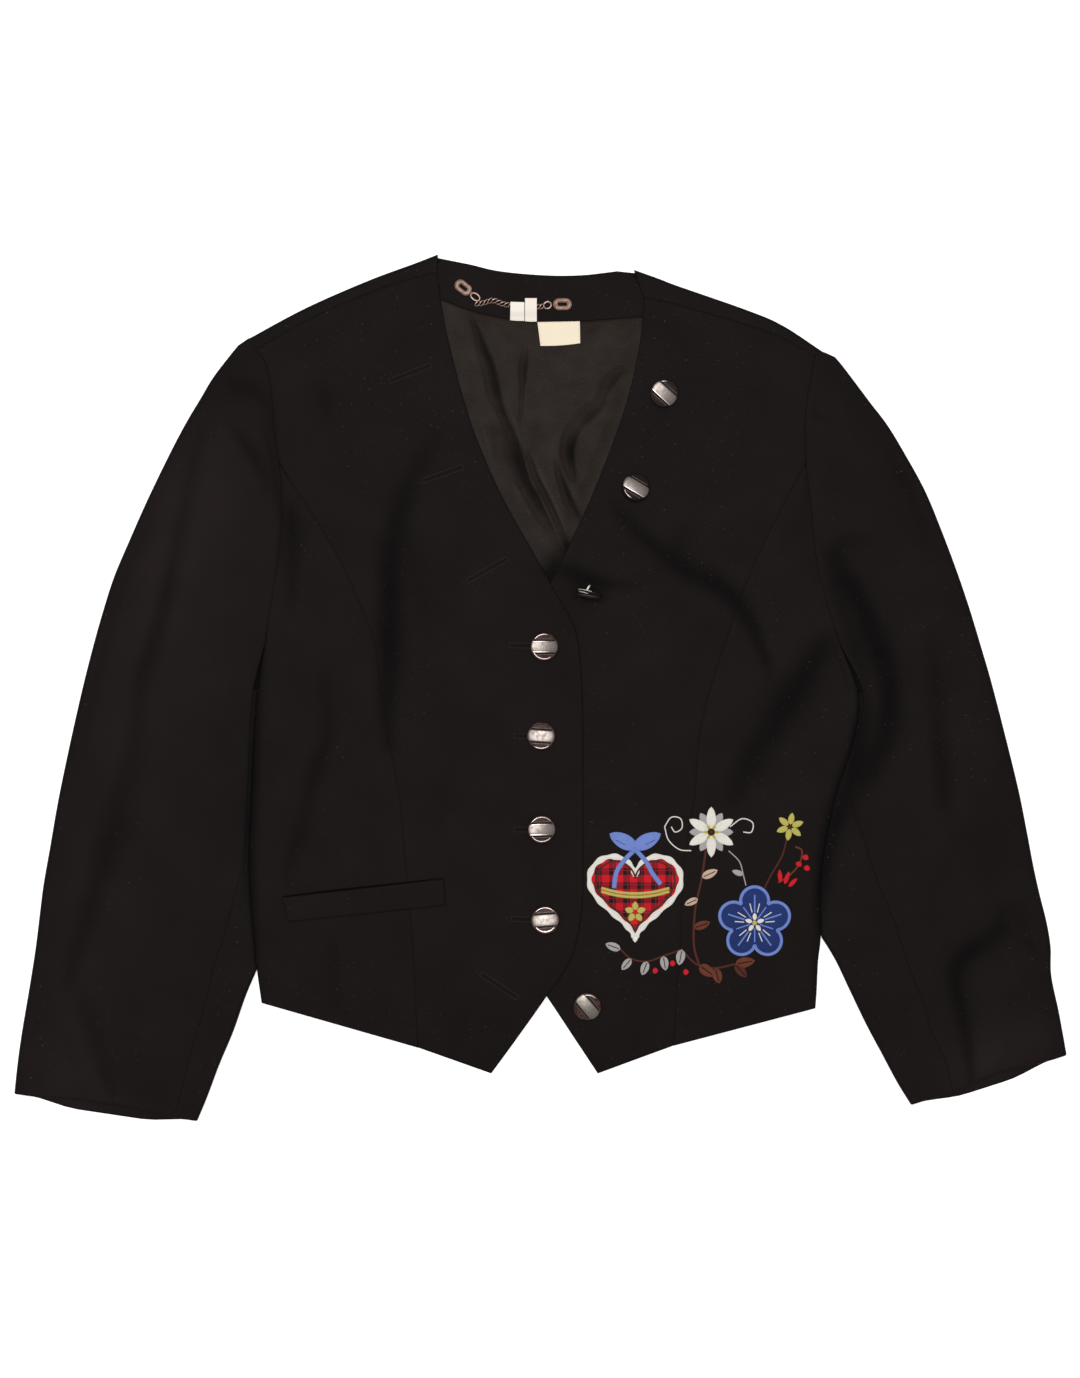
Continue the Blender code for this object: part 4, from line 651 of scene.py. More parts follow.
def across_shares(width: Array, count: int, left: bool = True) -> Array:
    """Shares of each row's width, close together at its rounded edges.

    Args:
        width: Width of each row.
        count: Columns between the edges.
        left: Whether the first edge is rounded too.

    Returns:
        One row of shares for each width.
    """
    width = np.maximum(np.asarray(width, float), 1e-4)[:, None]
    steps = EDGE_STEPS[None, :] * np.minimum(1.0, width / (5 * EDGE_STEPS[-1]))
    low = steps if left else np.zeros_like(width)
    high = width - steps[:, ::-1]
    middle = low[:, -1:] + (high[:, :1] - low[:, -1:]) * np.linspace(0, 1, count)[None, 1:-1]
    return np.hstack([low, middle, high]) / width


def along_rows(first: float, last: float, step: float, start_length: float = 0.0, end_length: float = 0.0) -> Array:
    """Row numbers, close together at a rounded end.

    Args:
        first: First row number.
        last: Last row number.
        step: Spacing.
        start_length: Millimetres from one row to the next at the start, or 0 for an end that isn't rounded.
        end_length: The same at the end.

    Returns:
        Rising row numbers.
    """
    low = first + EDGE_STEPS / start_length if start_length else np.array([first])
    high = last - EDGE_STEPS[::-1] / end_length if end_length else np.array([last])
    count = max(2, int(round((high[0] - low[-1]) / step)) + 1)
    return np.concatenate([low, np.linspace(low[-1], high[0], count)[1:-1], high])


def round_drop(distance: Array, radius: float = ROUND_RADIUS) -> Array:
    """How far a round edge is below its face, at a distance from the edge."""
    rest = np.clip(1.0 - distance / radius, 0.0, 1.0)
    return np.minimum(radius * (1.0 - np.sqrt(1.0 - rest**2)), radius - HALF_RIM)


def seam_trough(distance: Array, plan: Array, depth: float = 0.13) -> Array:
    """How far a pressed seam draws the cloth down, a little unevenly along its length."""
    return depth * (1.0 + SEAM_PUCKER * PUCKER.at(plan)) * np.exp(-((distance / SEAM_WIDTH) ** 2))


class ClothShell:
    """A closed wall of cloth: grids of point pairs on its two faces, joined by a rim round each free edge."""

    def __init__(self) -> None:
        """Start with no grid."""
        self.pairs: list[Array] = []
        self.uvs: list[Array] = []
        self.quads: list[Array] = []
        self.count = 0

    def add_grid(self, outer: Array, inner: Array, level: bool = False) -> "ClothShell":
        """Add a grid of pairs, with its own lengths across and along as its texture places.

        Args:
            outer: Points of the outer face, as rows, columns and x, y, z.
            inner: Points of the inner face.
            level: Whether the texture places are those in plan instead.

        Returns:
            The shell itself.
        """
        rows, columns = outer.shape[:2]
        steps = np.linalg.norm(np.diff(outer, axis=1), axis=-1)
        across = np.concatenate([np.zeros((rows, 1)), np.cumsum(steps, axis=1)], axis=1)
        across -= across[:, columns // 2][:, None]
        along = np.broadcast_to(run_of(outer[:, columns // 2])[:, None], (rows, columns))
        numbers = self.count + np.arange(rows * columns).reshape(rows, columns)
        quads = [numbers[:-1, :-1], numbers[:-1, 1:], numbers[1:, 1:], numbers[1:, :-1]]
        self.pairs.append(np.concatenate([outer, inner], axis=-1).reshape(-1, 6))
        self.uvs.append((outer[..., :2] if level else np.stack([across, along], -1)).reshape(-1, 2))
        self.quads.append(np.stack(quads, -1).reshape(-1, 4))
        self.count += rows * columns
        return self

    def mesh(self, name: str, relief: Relief = FACE_RELIEF) -> Mesh:
        """The closed wall in metres.

        Args:
            name: Name of the mesh.
            relief: The creases and turns whose painted shade and painted highlight go on its upper side.

        Returns:
            A mesh with texture places in metres and the painted shade and highlight as a value of its points.
        """
        pairs, uvs, quads = np.concatenate(self.pairs), np.concatenate(self.uvs), np.concatenate(self.quads)
        _, first, same = np.unique(np.round(pairs, 3), axis=0, return_index=True, return_inverse=True)
        kept, same = pairs[first], same.reshape(-1)
        total = len(kept)
        faces: list[list[int]] = []
        corners: list[list[int]] = []
        edges: dict[tuple[int, int], tuple[int, int]] = {}
        for quad in quads.tolist():
            ids = [int(same[n]) for n in quad]
            places = [k for k in range(4) if ids[k] != ids[k - 1]]
            if len({ids[k] for k in places}) < 3:
                continue
            face, corner = [ids[k] for k in places], [quad[k] for k in places]
            faces.append(face)
            corners.append(corner)
            faces.append([n + total for n in reversed(face)])
            corners.append(corner[::-1])
            for k in range(len(face)):
                edges[(face[k - 1], face[k])] = (corner[k - 1], corner[k])
        for (a, b), (ca, cb) in edges.items():
            if (b, a) not in edges:
                faces.append([b, a, a + total, b + total])
                corners.append([cb, ca, ca, cb])
        verts = np.concatenate([kept[:, :3], kept[:, 3:]]) * MM
        mesh = bpy.data.meshes.new(name)
        mesh.from_pydata(verts.tolist(), [], faces)
        layer = mesh.uv_layers.new(name="cloth")
        flat = np.array([n for corner in corners for n in corner])
        layer.data.foreach_set("uv", (uvs[flat] * MM).astype(np.float32).ravel())
        # Painted shade and highlight for the upper side, as a value of each point
        hollow = relief.hollow(verts[:, :2] / MM) * (verts[:, 2] > 0.5 * BACK_TOP * MM)
        mesh.attributes.new("hollow", "FLOAT", "POINT").data.foreach_set("value", hollow.astype(np.float32))
        return tidy_normals(mesh)


def tidy_normals(mesh: Mesh, sharp: float = 0.0) -> Mesh:
    """Turn all faces outwards and shade them smooth.

    Args:
        mesh: A closed mesh.
        sharp: Angle in degrees above which an edge stays sharp, or 0 for none.

    Returns:
        The same mesh.
    """
    bm = bmesh.new()
    bm.from_mesh(mesh)
    bmesh.ops.recalc_face_normals(bm, faces=bm.faces[:])
    bm.to_mesh(mesh)
    bm.free()
    mesh.shade_smooth()
    if sharp:
        mesh.set_sharp_from_angle(angle=math.radians(sharp))
    return mesh


def new_object(name: str, data: bpy.types.ID) -> Piece:
    """A new object in the scene."""
    item = bpy.data.objects.new(name, data)
    bpy.context.scene.collection.objects.link(item)
    return item


class Slot(Enum):
    """Material slots."""

    WOOL = "black_wool"
    LINING = "brown_satin"
    COPPER = "copper_metal"
    LABEL = "cream_label"
    BUTTON = "button_brown"
    RED = "red_embroidery"
    NAVY = "navy_embroidery"


class Wiring:
    """Short ways to add and join shader nodes."""

    def __init__(self, tree: NodeTree) -> None:
        """Work on one node tree."""
        self.tree = tree

    def node(self, kind: str, inputs: dict[str, object] | None = None, **settings: object) -> Node:
        """Add a node.

        Args:
            kind: The node's type name, without the shader prefix.
            inputs: Values or other nodes' outputs for its sockets, by name or number.
            settings: Other settings of the node.

        Returns:
            The new node.
        """
        node = self.tree.nodes.new(kind if kind.startswith("Node") else "ShaderNode" + kind)
        for key, value in settings.items():
            setattr(node, key, value)
        for key, value in (inputs or {}).items():
            socket = node.inputs[key]
            if isinstance(value, Socket):
                self.tree.links.new(value, socket)
            elif isinstance(value, tuple) and len(value) == 3 and socket.type == "RGBA":
                socket.default_value = (*value, 1.0)
            else:
                socket.default_value = value
        return node

    def group(self, tree: NodeTree, inputs: dict[str, object]) -> Node:
        """Place a shared node group with its own values."""
        return self.node("Group", inputs, node_tree=tree)

    def math(self, operation: str, a: object, b: object = 0.0) -> Socket:
        """The result of one sum."""
        return self.node("Math", {0: a, 1: b}, operation=operation).outputs[0]

    def mix(self, share: object, a: object, b: object) -> Socket:
        """A colour between two others."""
        node = self.node("Mix", {0: share}, data_type="RGBA")
        for socket, value in ((node.inputs[6], a), (node.inputs[7], b)):
            if isinstance(value, Socket):
                self.tree.links.new(value, socket)
            else:
                socket.default_value = (*value, 1.0)
        return node.outputs[2]

    def join(self, value: Socket, node: Node, name: str) -> None:
        """Lead a value into a node's input."""
        self.tree.links.new(value, node.inputs[name])

    def cloth_place(self) -> Socket:
        """Places across and along the cloth, in metres."""
        return self.node("UVMap", uv_map="cloth").outputs[0]

    def noise(self, place: Socket, scale: object, detail: float, distortion: float = 0.0) -> Socket:
        """A soft random value round a half."""
        inputs = {"Vector": place, "Scale": scale, "Detail": detail, "Distortion": distortion}
        return self.node("TexNoise", inputs).outputs[0]

    def span(self, value: object, low: object, high: object, to_low: float = 0.0, to_high: float = 1.0) -> Socket:
        """A value moved from one range to another, and kept in it."""
        inputs = {"Value": value, "From Min": low, "From Max": high, "To Min": to_low, "To Max": to_high}
        return self.node("MapRange", inputs).outputs[0]


def new_group(name: str, inputs: dict[str, object], outputs: dict[str, str]) -> tuple[Wiring, dict, Node]:
    """Start a shader node group.

    Args:
        name: The group's name.
        inputs: Default values of its inputs, by name. A number, a colour of 4 or a vector of 3.
        outputs: Socket types of its outputs, by name.

    Returns:
        Its wiring, its input sockets by name, and its output node.
    """
    tree = bpy.data.node_groups.new(name, "ShaderNodeTree")
    for key, value in inputs.items():
        kind = "Float"
        if isinstance(value, tuple):
            kind = "Color" if len(value) == 4 else "Vector"
        socket = tree.interface.new_socket(name=key, in_out="INPUT", socket_type="NodeSocket" + kind)
        if kind != "Vector":
            socket.default_value = value
    for key, kind in outputs.items():
        tree.interface.new_socket(name=key, in_out="OUTPUT", socket_type="NodeSocket" + kind)
    wiring = Wiring(tree)
    entry = wiring.node("NodeGroupInput")
    return wiring, {socket.name: socket for socket in entry.outputs if socket.name}, wiring.node("NodeGroupOutput")


class Effects:
    """Node groups that several finishes share, each built once."""

    def __init__(self) -> None:
        """Build every group."""
        self.twill = self.make_twill()
        self.lint = self.make_lint()
        self.mottle = self.make_mottle()
        self.thread = self.make_thread()
        self.hammer = self.make_hammer()

    @staticmethod
    def make_twill() -> NodeTree:
        """Diagonal ribs of a fine twill, broken by crossing threads. Pitch is in metres."""
        w, given, out = new_group("twill_weave", {"Vector": (0, 0, 0), "Pitch": 0.0009}, {"Height": "Float"})
        parts = w.node("SeparateXYZ", {"Vector": given["Vector"]})
        turn = w.math("DIVIDE", 2 * math.pi, given["Pitch"])
        diagonal = w.math("MULTIPLY", w.math("ADD", parts.outputs[0], parts.outputs[1]), turn)
        ribs = w.math("SINE", diagonal)
        crossing = w.math("SINE", w.math("MULTIPLY", w.math("SUBTRACT", parts.outputs[0], parts.outputs[1]),
                                         w.math("MULTIPLY", turn, 2.0)))
        fuzz = w.noise(given["Vector"], 2600.0, 3.0)
        height = w.math("ADD", ribs, w.math("MULTIPLY", crossing, 0.35))
        w.join(w.math("ADD", height, w.math("MULTIPLY", fuzz, 2.2)), out, "Height")
        return w.tree

    @staticmethod
    def make_lint() -> NodeTree:
        """Sparse light specks of lint and short stray fibres. Amount sets how many show."""
        w, given, out = new_group("lint_specks", {"Vector": (0, 0, 0), "Spacing": 0.006, "Amount": 0.3},
                                  {"Mask": "Float"})
        scale = w.math("DIVIDE", 1.0, given["Spacing"])
        masks = []
        for turn, stretch in ((0.5, 2.2), (1.9, 2.8), (2.7, 1.2)):
            laid = w.node("Mapping", {"Vector": given["Vector"], "Rotation": (0.0, 0.0, turn),
                                      "Scale": (1.0, stretch, 1.0)})
            cells = w.node("TexVoronoi", {"Vector": laid.outputs[0], "Scale": scale, "Randomness": 1.0})
            chance = w.node("SeparateColor", {0: cells.outputs["Color"]})
            chosen = w.math("LESS_THAN", chance.outputs[0], given["Amount"])
            size = w.span(chance.outputs[1], 0.0, 1.0, 0.03, 0.11)
            spot = w.span(cells.outputs["Distance"], 0.0, size, 1.0, 0.3)
            inside = w.math("LESS_THAN", cells.outputs["Distance"], size)
            strength = w.math("MULTIPLY", chosen, w.span(chance.outputs[2], 0.0, 1.0, 0.1, 1.0))
            masks.append(w.math("MULTIPLY", w.math("MULTIPLY", spot, inside), strength))
        w.join(w.math("MAXIMUM", w.math("MAXIMUM", masks[0], masks[1]), masks[2]), out, "Mask")
        return w.tree

    @staticmethod
    def make_mottle() -> NodeTree:
        """Slow and fine changes of tone, as a factor round 1."""
        w, given, out = new_group("tone_mottle", {"Vector": (0, 0, 0), "Slow": 28.0, "Fine": 900.0, "Depth": 0.2},
                                  {"Factor": "Float"})
        slow = w.noise(given["Vector"], given["Slow"], 4.0)
        fine = w.noise(given["Vector"], given["Fine"], 2.0)
        both = w.math("ADD", w.math("SUBTRACT", slow, 0.5), w.math("SUBTRACT", fine, 0.5))
        w.join(w.math("ADD", 1.0, w.math("MULTIPLY", both, w.math("MULTIPLY", given["Depth"], 2.0))), out, "Factor")
        return w.tree

    @staticmethod
    def make_thread() -> NodeTree:
        """Laid threads side by side across the first direction, a little uneven. Shade is painted shade between the
        threads and painted highlight on their crowns. Pitch is in metres.
        """
        w, given, out = new_group("laid_thread", {"Vector": (0, 0, 0), "Pitch": 0.0004},
                                  {"Height": "Float", "Shade": "Float"})
        drift = w.noise(given["Vector"], 240.0, 2.0)
        parts = w.node("SeparateXYZ", {"Vector": given["Vector"]})
        place = w.math("ADD", w.math("DIVIDE", parts.outputs[1], given["Pitch"]), w.math("MULTIPLY", drift, 0.8))
        wave = w.math("SINE", w.math("MULTIPLY", place, 2 * math.pi))
        w.join(wave, out, "Height")
        w.join(w.span(wave, -1.0, 1.0, 0.72, 1.12), out, "Shade")
        return w.tree

    @staticmethod
    def make_hammer() -> NodeTree:
        """Small hammered facets and fine scratches on metal."""
        w, given, out = new_group("hammered_metal", {"Vector": (0, 0, 0), "Scale": 900.0},
                                  {"Height": "Float", "Tone": "Float"})
        cells = w.node("TexVoronoi", {"Vector": given["Vector"], "Scale": given["Scale"], "Randomness": 1.0})
        grain = w.noise(given["Vector"], 3200.0, 3.0)
        height = w.math("ADD", cells.outputs["Distance"], w.math("MULTIPLY", grain, 0.4))
        w.join(height, out, "Height")
        w.join(w.span(grain, 0.3, 0.7, 0.7, 1.15), out, "Tone")
        return w.tree


@dataclass(frozen=True)
class Finish:
    """What every finish shares: a name, a colour and a roughness."""

    name: str
    color: Color
    roughness: float

    def start(self, **constants: float) -> tuple[Wiring, Node, Material]:
        """A new material with its shader.

        Args:
            constants: Values for the shader's own sockets, with underscores for blanks.

        Returns:
            The wiring, the shader node and the material.
        """
        material = bpy.data.materials.new(self.name)
        material.use_nodes = True
        wiring = Wiring(material.node_tree)
        shader = material.node_tree.nodes["Principled BSDF"]
        shader.inputs["Roughness"].default_value = self.roughness
        for key, value in constants.items():
            shader.inputs[key.replace("_", " ")].default_value = value
        return wiring, shader, material

    def tinted(self, wiring: Wiring, factor: Socket) -> Socket:
        """The finish's colour times a factor that changes over the surface."""
        factors = wiring.node("CombineXYZ", {0: factor, 1: factor, 2: factor}).outputs[0]
        return wiring.node("VectorMath", {0: self.color, 1: factors}, operation="MULTIPLY").outputs[0]

    @staticmethod
    def tone(w: Wiring, effects: Effects, place: Socket, slow: float, fine: float, depth: float) -> Socket:
        """Slow and fine changes of tone over a surface, as a factor round 1."""
        return w.group(effects.mottle, {"Vector": place, "Slow": slow, "Fine": fine, "Depth": depth}).outputs[0]

    def with_painted_shading(self, w: Wiring, tone: Socket, dark: Color, spread: float, fade: float) -> tuple[Socket, Socket]:
        """The looks of cloth with painted shade and more roughness in its creases, and painted highlight on its ridges.

        Args:
            w: The wiring to add to.
            tone: A factor round 1 that changes over the cloth.
            dark: Colour of full painted shade.
            spread: How far the roughness follows the tone.
            fade: Roughness that full painted shade adds.

        Returns:
            The colour and the roughness.
        """
        hollow = w.node("Attribute", attribute_name="hollow").outputs["Fac"]
        factor = w.math("SUBTRACT", tone, w.math("MINIMUM", hollow, 0.0))
        color = w.mix(hollow, self.tinted(w, factor), dark)
        rough = w.span(tone, 0.7, 1.3, self.roughness + spread, self.roughness - spread)
        return color, w.math("ADD", rough, w.math("MULTIPLY", hollow, fade))

    @staticmethod
    def cover(w: Wiring, shader: Node, color: Socket, rough: Socket, height: Socket, strength: float, distance: float
              ) -> None:
        """Join a colour, a roughness and a height that tilts the surface to a shader.

        Args:
            w: The wiring to add to.
            shader: The material's shader.
            color: The colour.
            rough: The roughness.
            height: The height.
            strength: Share of the tilt that shows.
            distance: Height of a full step, in metres.
        """
        bump = w.node("Bump", {"Height": height, "Strength": strength, "Distance": distance}).outputs[0]
        for socket, name in ((color, "Base Color"), (rough, "Roughness"), (bump, "Normal")):
            w.join(socket, shader, name)


@dataclass(frozen=True)
class WoolCloth(Finish):
    """Fine near-black wool twill with a soft nap, slow tone changes, a little light lint and painted shade and
    highlight.
    """

    lint_color: Color = (0.06, 0.056, 0.054)
    shine_color: Color = (1.0, 0.78, 0.75)
    # Colour of full painted shade in the creases
    painted_shade_color: Color = (0.003, 0.0028, 0.0031)
    lint_amount: float = 0.5
    gloss: float = 0.034
    pitch: float = 0.0009

    def material(self, effects: Effects) -> Material:
        """Build the material from the shared effects."""
        w, shader, material = self.start(Specular_IOR_Level=self.gloss, Sheen_Weight=0.009, Sheen_Roughness=0.6)
        shader.inputs["Specular Tint"].default_value = (*self.shine_color, 1.0)
        place = w.cloth_place()
        spot = w.node("NewGeometry").outputs["Position"]
        twill = w.group(effects.twill, {"Vector": place, "Pitch": self.pitch})
        tone = self.tone(w, effects, place, 22.0, 1100.0, 0.28)
        lint = w.group(effects.lint, {"Vector": spot, "Spacing": 0.0055, "Amount": self.lint_amount})
        color, rough = self.with_painted_shading(w, tone, self.painted_shade_color, 0.05, 0.22)
        color = w.mix(lint.outputs["Mask"], color, self.lint_color)
        self.cover(w, shader, color, rough, twill.outputs["Height"], 0.18, 0.00006)
        return material


@dataclass(frozen=True)
class LiningSatin(Finish):
    """Dark brown lining satin with fine ribs, a soft gloss, and painted shade and highlight along its folds."""

    gloss: float = 0.045
    # Colour of full painted shade in the folds
    painted_shade_color: Color = (0.0032, 0.0028, 0.0024)

    def material(self, effects: Effects) -> Material:
        """Build the material from the shared effects."""
        w, shader, material = self.start(Specular_IOR_Level=self.gloss, Anisotropic=0.35, Sheen_Weight=0.008)
        place = w.cloth_place()
        ribs = w.group(effects.thread, {"Vector": place, "Pitch": 0.0005})
        tone = self.tone(w, effects, place, 60.0, 700.0, 0.42)
        color, rough = self.with_painted_shading(w, tone, self.painted_shade_color, 0.06, 0.3)
        self.cover(w, shader, color, rough, ribs.outputs["Height"], 0.12, 0.00004)
        return material


@dataclass(frozen=True)
class WovenTape(Finish):
    """Smooth woven label tape, bare, with fine ribs and a faint yellowing."""

    aged_color: Color = (0.62, 0.52, 0.36)

    def material(self, effects: Effects) -> Material:
        """Build the material from the shared effects."""
        w, shader, material = self.start(Specular_IOR_Level=0.3, Sheen_Weight=0.05)
        place = w.cloth_place()
        ribs = w.group(effects.thread, {"Vector": place, "Pitch": 0.0006})
        tone = self.tone(w, effects, place, 90.0, 900.0, 0.12)
        aged = w.mix(w.span(tone, 0.98, 1.2, 0.0, 0.7), self.color, self.aged_color)
        rough = w.span(tone, 0.8, 1.2, 0.85, 0.65)
        self.cover(w, shader, aged, rough, ribs.outputs["Height"], 0.25, 0.00005)
        return material


@dataclass(frozen=True)
class SatinStitch(Finish):
    """Embroidery thread laid side by side across a stitched column."""

    pitch: float = 0.00042
    depth: float = 0.00012

    def material(self, effects: Effects) -> Material:
        """Build the material from the shared effects."""
        w, shader, material = self.start(Specular_IOR_Level=0.06, Sheen_Weight=0.02)
        place = w.cloth_place()
        thread = w.group(effects.thread, {"Vector": place, "Pitch": self.pitch})
        tone = self.tone(w, effects, place, 120.0, 1500.0, 0.16)
        factor = w.math("MULTIPLY", thread.outputs["Shade"], tone)
        rough = w.span(thread.outputs["Shade"], 0.7, 1.1, self.roughness + 0.1, self.roughness - 0.05)
        self.cover(w, shader, self.tinted(w, factor), rough, thread.outputs["Height"], 0.5, self.depth)
        return material


@dataclass(frozen=True)
class CheckedCloth(Finish):
    """Flannel with a woven check of two colours and thin lines."""

    dark_color: Color = (0.012, 0.006, 0.008)
    line_color: Color = (0.28, 0.02, 0.03)
    repeat: float = 0.0105

    def band(self, w: Wiring, place: Socket, width: float, shift: float) -> Socket:
        """1 inside a stripe of the check, 0 outside it.

        Args:
            w: The wiring to add to.
            place: Place across the stripes, in metres.
            width: Share of the repeat that the stripe takes.
            shift: Share of the repeat that it is moved by.

        Returns:
            The stripe's mask.
        """
        turns = w.math("FRACT", w.math("ADD", w.math("DIVIDE", place, self.repeat), 100.0 + shift))
        return w.math("LESS_THAN", turns, width)

    def material(self, effects: Effects) -> Material:
        """Build the material from the shared effects."""
        w, shader, material = self.start(Specular_IOR_Level=0.12, Sheen_Weight=0.08)
        place = w.cloth_place()
        parts = w.node("SeparateXYZ", {"Vector": place})
        across = self.band(w, parts.outputs[0], 0.48, 0.1)
        along = self.band(w, parts.outputs[1], 0.48, 0.35)
        dark = w.math("MULTIPLY", w.math("ADD", across, along), 0.5)
        lines = w.math("MAXIMUM", self.band(w, parts.outputs[0], 0.06, 0.8),
                       self.band(w, parts.outputs[1], 0.06, 0.05))
        tone = self.tone(w, effects, place, 60.0, 1400.0, 0.25)
        base = w.mix(w.math("POWER", dark, 0.8), self.tinted(w, tone), self.dark_color)
        color = w.mix(w.math("MULTIPLY", lines, 0.6), base, self.line_color)
        twill = w.group(effects.twill, {"Vector": place, "Pitch": 0.0007})
        rough = w.span(tone, 0.7, 1.3, 0.9, 0.75)
        self.cover(w, shader, color, rough, twill.outputs["Height"], 0.4, 0.00008)
        return material


@dataclass(frozen=True)
class WornMetal(Finish):
    """Plated metal with a hammered or smooth face and darker hollows."""

    dark_color: Color = (0.05, 0.035, 0.03)
    grain: float = 900.0
    depth: float = 0.00005
    strength: float = 0.5

    def material(self, effects: Effects) -> Material:
        """Build the material from the shared effects."""
        w, shader, material = self.start(Metallic=0.9)
        place = w.node("TexCoord").outputs["Object"]
        face = w.group(effects.hammer, {"Vector": place, "Scale": self.grain})
        stain = w.noise(place, 320.0, 4.0)
        bare = self.tinted(w, face.outputs["Tone"])
        color = w.mix(w.span(stain, 0.52, 0.72, 0.0, 0.55), bare, self.dark_color)
        rough = w.span(stain, 0.3, 0.7, self.roughness - 0.06, self.roughness + 0.12)
        self.cover(w, shader, color, rough, face.outputs["Height"], self.strength, self.depth)
        return material


@dataclass(frozen=True)
class ButtonResin(Finish):
    """Glossy dark brown resin with pinkish marbling."""

    vein_color: Color = (0.07, 0.031, 0.026)

    def material(self, effects: Effects) -> Material:
        """Build the material from the shared effects."""
        w, shader, material = self.start(Specular_IOR_Level=0.16)
        place = w.node("TexCoord").outputs["Object"]
        veins = w.noise(place, 170.0, 5.0, 1.2)
        tone = self.tone(w, effects, place, 150.0, 2000.0, 0.2)
        marbled = w.mix(w.span(veins, 0.46, 0.62, 0.0, 1.0), self.tinted(w, tone), self.vein_color)
        rough = w.span(veins, 0.3, 0.7, self.roughness - 0.08, self.roughness + 0.1)
        scratches = w.group(effects.hammer, {"Vector": place, "Scale": 500.0})
        self.cover(w, shader, marbled, rough, scratches.outputs["Height"], 0.15, 0.00004)
        return material


RAY_START = 0.1
LEAST_SHARE = 0.31
DOWN = Vector((0, 0, -1))


class Workshop:
    """Puts finished pieces into the scene, and keeps the surfaces that later pieces lie on."""

    def __init__(self) -> None:
        """Start with the shared effects and no piece."""
        self.effects = Effects()
        self.trees: dict[str, BVHTree] = {}
        self.finishes: dict[str, Material] = {}

    def material(self, finish: Finish) -> Material:
        """The material of a finish, built once."""
        if finish.name not in self.finishes:
            self.finishes[finish.name] = finish.material(self.effects)
        return self.finishes[finish.name]

    def add(self, name: str, mesh: Mesh, finishes: Sequence[Finish], slot: Slot,
            replaced: Sequence[str] = ()) -> Piece:
        """Add a piece that rides on the jacket.

        Args:
            name: The piece's name.
            mesh: Its mesh.
            finishes: Its finishes, in the order of the mesh's material numbers.
            slot: Not used.
            replaced: CAD nodes that it stands for.

        Returns:
            The new object.
        """
        piece = new_object(name, mesh)
        for finish in finishes:
            mesh.materials.append(self.material(finish))
        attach(piece, ROOT)
        if replaced:
            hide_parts(*replaced)
        bm = bmesh.new()
        bm.from_mesh(mesh)
        self.trees[name] = BVHTree.FromBMesh(bm)
        bm.free()
        LOG.info("%s: %d faces", name, len(mesh.polygons))
        return piece

    def height(self, plan: Sequence[float] | Array, names: Sequence[str], reach: float = 0.0) -> Array:
        """Highest point of the named pieces at places in millimetres, or within a small square round each.

        Args:
            plan: Places across and along.
            names: Pieces to look at.
            reach: Half the side of the square.

        Returns:
            Heights in millimetres, 0 where there is nothing.
        """
        plan = np.asarray(plan, float)
        shifts = (-reach, 0.0, reach) if reach else (0.0,)
        tops = np.zeros(plan.shape[:-1])
        for place, (dx, dy), name in product(np.ndindex(tops.shape), product(shifts, shifts), names):
            x, y = plan[place]
            hit = self.trees[name].ray_cast(Vector(((x + dx) * MM, (y + dy) * MM, RAY_START)), DOWN)[0]
            if hit is not None:
                tops[place] = max(tops[place], hit.z / MM)
        return tops

    def declare_sheet(self, piece: Piece) -> None:
        """Work out the size and area of the cut of a laid sheet of cloth, and keep neither.

        Args:
            piece: A closed wall of cloth with texture places in metres.
        """
        mesh = piece.data
        places = np.zeros(2 * len(mesh.loops), dtype=np.float32)
        mesh.uv_layers["cloth"].data.foreach_get("uv", places)
        width, length = (max(float(side), MIN_CUT) for side in np.ptp(places.reshape(-1, 2), axis=0))
        area = sum(face.area for face in mesh.polygons) / 2
        area = min(max(area, LEAST_SHARE * width * length), width * length)

    def lay(self, name: str, mesh: Mesh, finish: Finish, slot: Slot, node: str) -> None:
        self.declare_sheet(self.add(name, mesh, [finish], slot, [node]))


@dataclass(frozen=True)
class BodyHalf:
    """Lines of one half of the body. Side is 1 for the wearer's left and -1 for the right."""

    rows: tuple[BodyRow, ...]
    shoulder: tuple[ShoulderRow, ...]
    side: int

    def side_point(self, t: Array) -> Array:
        """The side edge and armhole, which the sleeve follows too. Row 18 is the shoulder fold."""
        points = curve([(row.side_x, row.side_y) for row in self.rows], t)
        fold = np.array(self.shoulder[0][:2])
        return points + (fold - points) * np.clip(np.asarray(t) - SHOULDER_ROW, 0, 1)[..., None]

    def seam_point(self, t: Array) -> Array:
        """The princess seam, from the hem to the armhole."""
        return curve([(row.seam_x, row.seam_y) for row in self.rows[: SEAM_TOP_ROW + 1]], t)

    def edge_point(self, t: Array) -> Array:
        """The front edge, from the point of the hem to the neck."""
        return curve([(row.edge_x, row.edge_y) for row in self.rows], t)

    def shoulder_seam(self, u: Array) -> Array:
        """The forward shoulder seam, from the armhole, 0, to the neck, 1."""
        return curve([(row.seam_x, row.seam_y) for row in self.shoulder], np.asarray(u) * (len(self.shoulder) - 1))

    def neck_x(self, y: Array) -> Array:
        """Where the front edge is at a height of the neckline."""
        points = self.edge_point(np.linspace(NECK_ROW - 1, SHOULDER_ROW, 400))
        return np.interp(y, points[:, 1], points[:, 0])


RIGHT_HALF = BodyHalf(RIGHT_BODY, RIGHT_SHOULDER, -1)
LEFT_HALF = BodyHalf(LEFT_BODY, LEFT_SHOULDER, 1)


